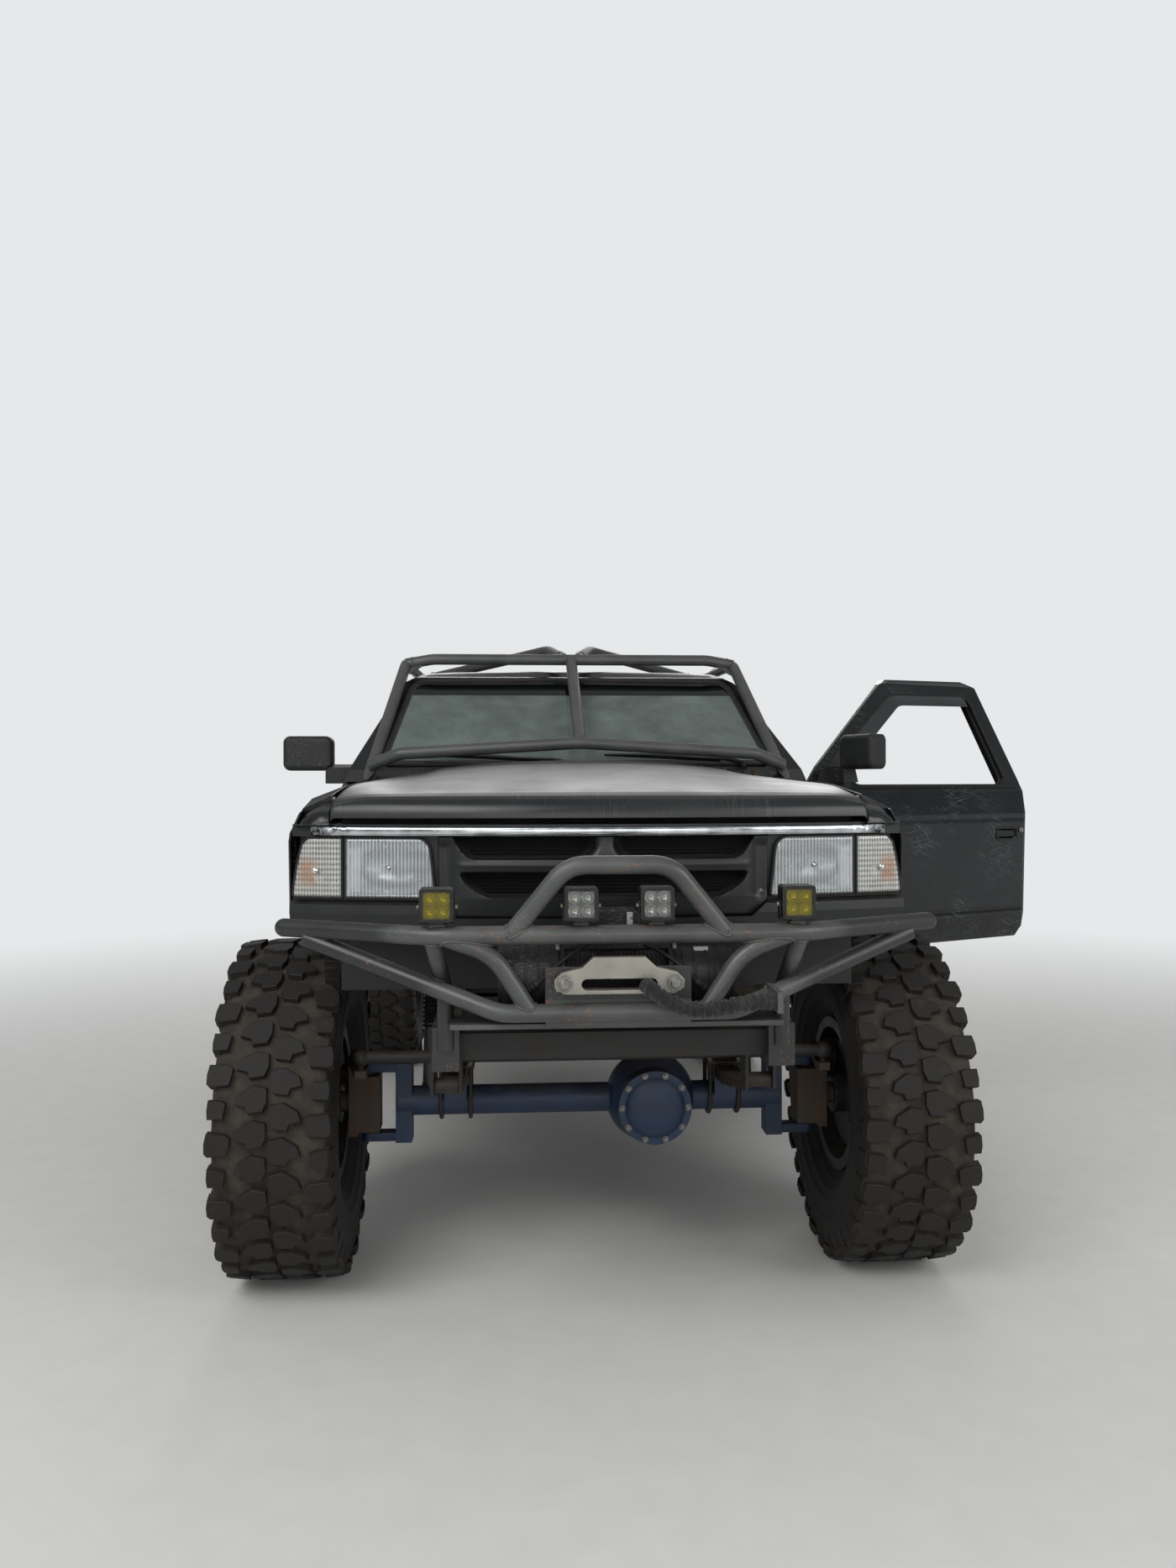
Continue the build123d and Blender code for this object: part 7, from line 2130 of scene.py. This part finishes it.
# both faces of the gate: half width, z low and high
gate = {"skin": (784, 1002, 1399), "lining": (740, 1034, 1388), "handleZ": 1347, "ridges": (1150, 1240),
        "fieldZ": 1195, "coverZ": 1211}


def makeGate():
    frame = frameRing(roundedOutline(204, 60, 12, 5, (0, gate["handleZ"])), 9, (4396, 4406))
    handle = joinForms([frame, roundedBlock((-80, 4392, 1331), (80, 4403, 1352), 5, 4)])
    makePiece("gateHandle", handle, "mouldedPolypropylene", "tailgate", sharp=50)
    # the gate's pressed skin: a sunk field inside a rounded rectangle, with two ridges across it
    # and its rims rolled in
    half, low, high = gate["skin"]
    x, z = gridOf((-half, half, 170), (low, high, 76))
    field = smooth(np.minimum(610 - np.abs(x), 124 - np.abs(z - gate["fieldZ"])), -6, 8)
    opening = smooth(np.minimum(96 - np.abs(x), 27 - np.abs(z - gate["handleZ"])), -3, 2)
    ridges = sum(bell(z, height, 8) for height in gate["ridges"]) * smooth(540 - np.abs(x), 0, 30)
    rim = np.minimum(half - np.abs(x), np.minimum(z - low, high - z))
    y = 4404.5 - 5.5 * field + 3 * ridges - 14 * opening - 3 * rolled(rim, 6)
    skin = backedSheet(np.stack([x, y, z], axis=-1), lambda ring: ring - (0, 2.2, 0))
    makePiece("gateSkin", skin, "charcoalEnamel", "tailgate", sharp=40)
    # its inner face: an access cover held by two rows of screws, with a ridge above and below it
    half, low, high = gate["lining"]
    x, z = gridOf((-half, half, 150), (low, high, 60))
    cover = smooth(np.minimum(520 - np.abs(x), 96 - np.abs(z - gate["coverZ"])), -5, 5)
    ridges = bell(np.abs(z - gate["coverZ"]), 138, 8) * smooth(700 - np.abs(x), 0, 30)
    rim = np.minimum(half - np.abs(x), np.minimum(z - low, high - z))
    y = 4352.8 - 1.6 * cover - 2 * ridges + 2 * rolled(rim, 6)
    lining = backedSheet(np.stack([x, y, z], axis=-1), lambda ring: ring + (0, 3, 0))
    makePiece("gateLining", lining, "charcoalEnamel", "tailgate", sharp=40)
    screws = [screwHead((x, 4351.0, z), (0, -1, 0), 7) for x in np.linspace(-490, 490, 6)
              for z in (1130, 1292)]
    makePiece("gateScrews", joinForms(screws), "zincBolt", "tailgate")
    makePiece("gateCap", roundedBlock((-784, 4355, 1400), (784, 4399, 1409), 4, 3), "mouldedPolypropylene",
              "tailgate")


# Engine bay: wheel aprons, fan, rocker covers and plenum, air box, battery, booster and bottles

# columns: the pulleys' x, z and radius
bay = {"apron": [(800, 1394), (704, 1372), (626, 1334), (606, 1210), (603, 1052)], "from": 232, "to": 1126,
       "swages": (400, 640, 880),
       "fan": (0, 262, 1164), "blades": 7, "hubRadius": 34, "tipRadius": 144,
       "covers": ((112, 430, 1329), (204, 856, 1376)),
       "runners": (520, 640, 760), "pulleys": [(0, 1010, 78), (-150, 1180, 52), (150, 1200, 40)],
       "beltY": 363.5, "belt": [(-60, 930), (66, 934), (196, 1196), (160, 1248), (-150, 1238), (-208, 1180)],
       "duct": [(-470, 440, 1340), (-440, 520, 1372), (-220, 430, 1384), (-20, 405, 1372), (0, 470, 1372)],
       "ductFolds": 44, "hose": [(170, 212, 1316), (176, 268, 1330), (120, 330, 1352), (70, 400, 1350)]}


def makeAprons():
    # an apron: a bent profile carried along the bay, with three swages as bell curves across it
    profile = bentPath(bay["apron"], 46, 8)
    along = np.linspace(bay["from"], bay["to"], 90)
    swages = sum(bell(along, place, 13) for place in bay["swages"])
    x = profile[:, :1] - 7 * swages * smooth(profile[:, 1:], 1350, 1290)
    face = np.stack([x, along + 0 * x, profile[:, 1:] + 0 * x], axis=-1)
    makePiece("wheelAprons", bothSides(shellOf(face, face + (2.5, 0, 1.5))), "charcoalEnamel")


def makeEngineTop():
    # a fan blade: a strip twisted and cambered from hub to tip
    hub = np.array(bay["fan"], float)
    reach, across = gridOf((bay["hubRadius"], bay["tipRadius"], 10), (-1, 1, 7))
    pitch = 0.75 - 0.3 * (reach - 34) / 110
    wide = (20 + 16 * smooth(reach, 34, 110)) * across
    blade = np.stack([wide * np.cos(pitch), wide * np.sin(pitch) * 0.8 + 4 * across ** 2, reach],
                     axis=-1) + hub
    blade = shellOf(blade, blade + (0, 2.2, 0))
    fan = [turnForm(blade, (0, 1, 0), 360 / bay["blades"] * k, hub) for k in range(bay["blades"])]
    fan.append(turned([(0, 38), (6, 42), (40, 42), (46, 30), (118, 24), (119, 1)], hub - (0, 24, 0),
                      (0, 1, 0), 32))
    makePiece("coolingFan", joinForms(fan), "mouldedPolypropylene", sharp=45)
    ring = turned([(0, 152), (50, 152), (50, 157), (0, 157)], hub - (0, 26, 0), (0, 1, 0), 64, closed=True)
    frame = frameRing(roundedOutline(528, 300, 18, 5, (hub[0], hub[2])), 34, (226, 237))
    makePiece("fanShroud", joinForms([ring, frame]), "mouldedPolypropylene", sharp=45)
    # rocker covers on their flanges, and the plenum with ribs on its top and pipes down to the heads
    low, high = bay["covers"]
    flange = roundedBlock((low[0] - 9, low[1] - 8, 1329), (high[0] + 5, high[1] + 8, 1337), 3)
    makePiece("rockerCovers", bothSides(joinForms([roundedBlock(low, high, 15, 4), flange])), "engineCasting")
    runners = [tubeAlong(bentPath([(56, y, 1382), (104, y, 1386), (122, y, 1350)], 22), 15, 16)
               for y in bay["runners"]]
    plenum = [roundedBlock((-74, 466, 1344), (74, 826, 1400), 20, 5)]
    plenum += [roundedBlock((-70, y - 3, 1398), (70, y + 3, 1403), 2) for y in range(500, 810, 34)]
    makePiece("intakePlenum", joinForms(plenum + [bothSides(joinForms(runners))]), "castAluminium")
    bolts = [hexBolt((x, y, 1336), (0, 0, 1), 9) for x in (108, 206) for y in (470, 600, 730, 830)]
    makePiece("engineBolts", bothSides(joinForms(bolts)), "zincBolt")
    # pulleys with two flanges and a groove between them
    pulleys = []
    for x, z, r in bay["pulleys"]:
        profile = [(0, 12), (4, r - 10), (6, r), (12, r), (15, r - 5), (18, r - 5), (21, r), (27, r), (29, 1)]
        pulleys.append(turned(profile, (x, 347, z), (0, 1, 0), 40))
    makePiece("beltPulleys", joinForms(pulleys), "zincBolt")


def makeBayFittings():
    # air box with its lid and duct, the upper radiator hose and the belt: moulded rubber, the
    # belt a closed loop
    box = [roundedBlock((-590, 262, 1120), (-384, 470, 1262), 16, 4),
           roundedBlock((-596, 256, 1262), (-378, 476, 1322), 20, 4)]
    clips = [roundedBlock((x - 10, 250, 1240), (x + 10, 258, 1286), 2) for x in (-500, -435)]
    makePiece("airBox", joinForms(box + clips), "mouldedPolypropylene")
    duct = evenly(bentPath(bay["duct"], 70, 12), count=160)[0]
    share = np.linspace(0, 1, len(duct))
    folds = 30 + 2.6 * np.cos(share * 2 * pi * bay["ductFolds"]) * smooth(np.abs(share - 0.5), 0.34, 0.26)
    hose = tubeAlong(bentPath(bay["hose"], 40, 10), 19, 18)
    x, z = roundedCorners(bay["belt"], 60, 10).T
    belt = tubeAlong(np.column_stack([x, 0 * x + bay["beltY"], z]), 5.5, 8, closed=True)
    makePiece("intakeDuct", joinForms([tubeAlong(duct, folds, 22), hose, belt]), "softRubber", sharp=60)
    # battery on its tray, brake booster with its reservoir, washer and overflow bottles
    cells = [roundedBlock((404, 262, 1128), (584, 452, 1300), 8, 3),
             roundedBlock((400, 258, 1300), (588, 456, 1312), 4)]
    cells += [roundedBlock((x, 330, 1310), (x + 26, 356, 1317), 4) for x in (430, 470, 510, 550)]
    makePiece("battery", joinForms(cells), "mouldedPolypropylene")
    posts = [turned([(0, 10), (16, 8.5), (18, 1)], (x, 296, 1311), (0, 0, 1), 20) for x in (436, 552)]
    strap = tubeAlong(bentPath([(394, 400, 1130), (394, 400, 1320), (594, 400, 1320), (594, 400, 1130)], 12),
                      5, 8)
    trays = [roundedBlock((x0, 250, 1112), (x1, 478, 1127), 4) for x0, x1 in ((384, 612), (-612, -372))]
    makePiece("bayFittings", joinForms(posts + [strap] + trays), "zincBolt")
    profile = [(0, 60), (8, 104), (34, 108), (44, 112), (52, 108), (82, 92), (104, 40), (112, 1)]
    booster = turned(profile, (400, 1130, 1290), (0, -1, 0), 48)
    makePiece("brakeBooster", joinForms([booster, roundedBlock((376, 868, 1272), (424, 1024, 1312), 12, 4)]),
              "chassisEnamel")
    bottles = [roundedBlock((372, 890, 1312), (428, 1006, 1362), 12, 4),
               turned([(0, 24), (12, 24), (14, 20), (15, 1)], (400, 930, 1361), (0, 0, 1), 24),
               roundedBlock((-596, 870, 1160), (-450, 1040, 1340), 26, 5),
               turned([(0, 26), (16, 26), (19, 22), (20, 1)], (-520, 930, 1339), (0, 0, 1), 24)]
    makePiece("fluidBottles", joinForms(bottles), "milkyPolyethylene")
    makePiece("bottleShelf", roundedBlock((-612, 860, 1140), (-430, 1060, 1159), 4), "chassisEnamel")


# Cage: weld beads round each tube's end, gussets in its corners and bolts through its feet

# columns: the joints' places and their tubes' ways; the gussets' corners and their two edges; x
# and y of the feet
cage = {"radius": 22.2, "feet": ((745, 2757), (606, 4160)),
        "joints": [((640, 1735.5, 1989.5), (1, 0.08, -0.14)), ((636, 2600, 1998), (1, 0, 0)),
                   ((692, 2736.5, 1330), (1, 0, 0)),
                   ((612, 2591, 2007), (0.62, 0.78, -0.06)), ((42, 1778, 2019), (0.3, 0.92, 0.27)),
                   ((660, 2712, 1981), (-0.04, 0.83, -0.55)), ((0, 1133, 1653), (0, 0.86, 0.5)),
                   ((0, 1712, 1992), (0, 0.86, 0.5))],
        "gussets": [((646, 1740, 1983), (-70, -3, 10), (6, -52, -44)),
                    ((646, 2600, 1998), (-64, 0, 0), (0, -64, 0)),
                    ((708, 2736, 1330), (-60, 0, 0), (-6, 2, 70))]}


def makeCageDetail():
    # a bead is a small ring round the tube; a gusset is a three-cornered plate
    # with thickness along its normal
    forms, plates, radius = [], [], cage["radius"]
    for at, along in cage["joints"]:
        bead = turned([(-4, radius), (-2, radius + 2.6), (2, radius + 2.6), (4, radius)], at, along, 48)
        forms.append(bothSides(bead) if at[0] else bead)
    for corner, first, second in cage["gussets"]:
        corner, first, second = (np.array(v, float) for v in (corner, first, second))
        normal = np.cross(first, second)
        normal *= 3 / np.linalg.norm(normal)
        base = np.array([corner, corner + first, corner + second])
        points = np.concatenate([base - normal, base + normal])
        faces = [np.array([[0, 2, 1], [3, 4, 5]]), np.array([[0, 1, 4, 3], [1, 2, 5, 4], [2, 0, 3, 5]])]
        plates.append(bothSides((points, faces)))
    makePiece("cageWelds", joinForms(forms), "tubePowderCoat", sharp=60)
    makePiece("cageGussets", joinForms(plates), "tubePowderCoat")
    bolts = [hexBolt((x + dx, y + dy, 993), (0, 0, 1), 15) for x, y in cage["feet"] for dx in (-33, 33)
             for dy in (-33, 33)]
    makePiece("cageFootBolts", bothSides(joinForms(bolts)), "zincBolt")


makeHubs()
makeAxleDetail()
makeSeat()
makeDashboard()
makeSteeringWheel()
makeRoof()
makeRear()
makeGate()
makeAprons()
makeEngineTop()
makeBayFittings()
makeCageDetail()
print("gear, cab, bed and cage finished")

counts = {}
for piece in bpy.context.scene.objects:
    if piece.type == "MESH" and piece.name not in nodes and not piece.hide_render:
        counts[piece.name] = sum(len(face.vertices) - 2 for face in piece.data.polygons)
print("triangles added:", sum(counts.values()), sorted(counts.items(), key=lambda row: -row[1])[:14])
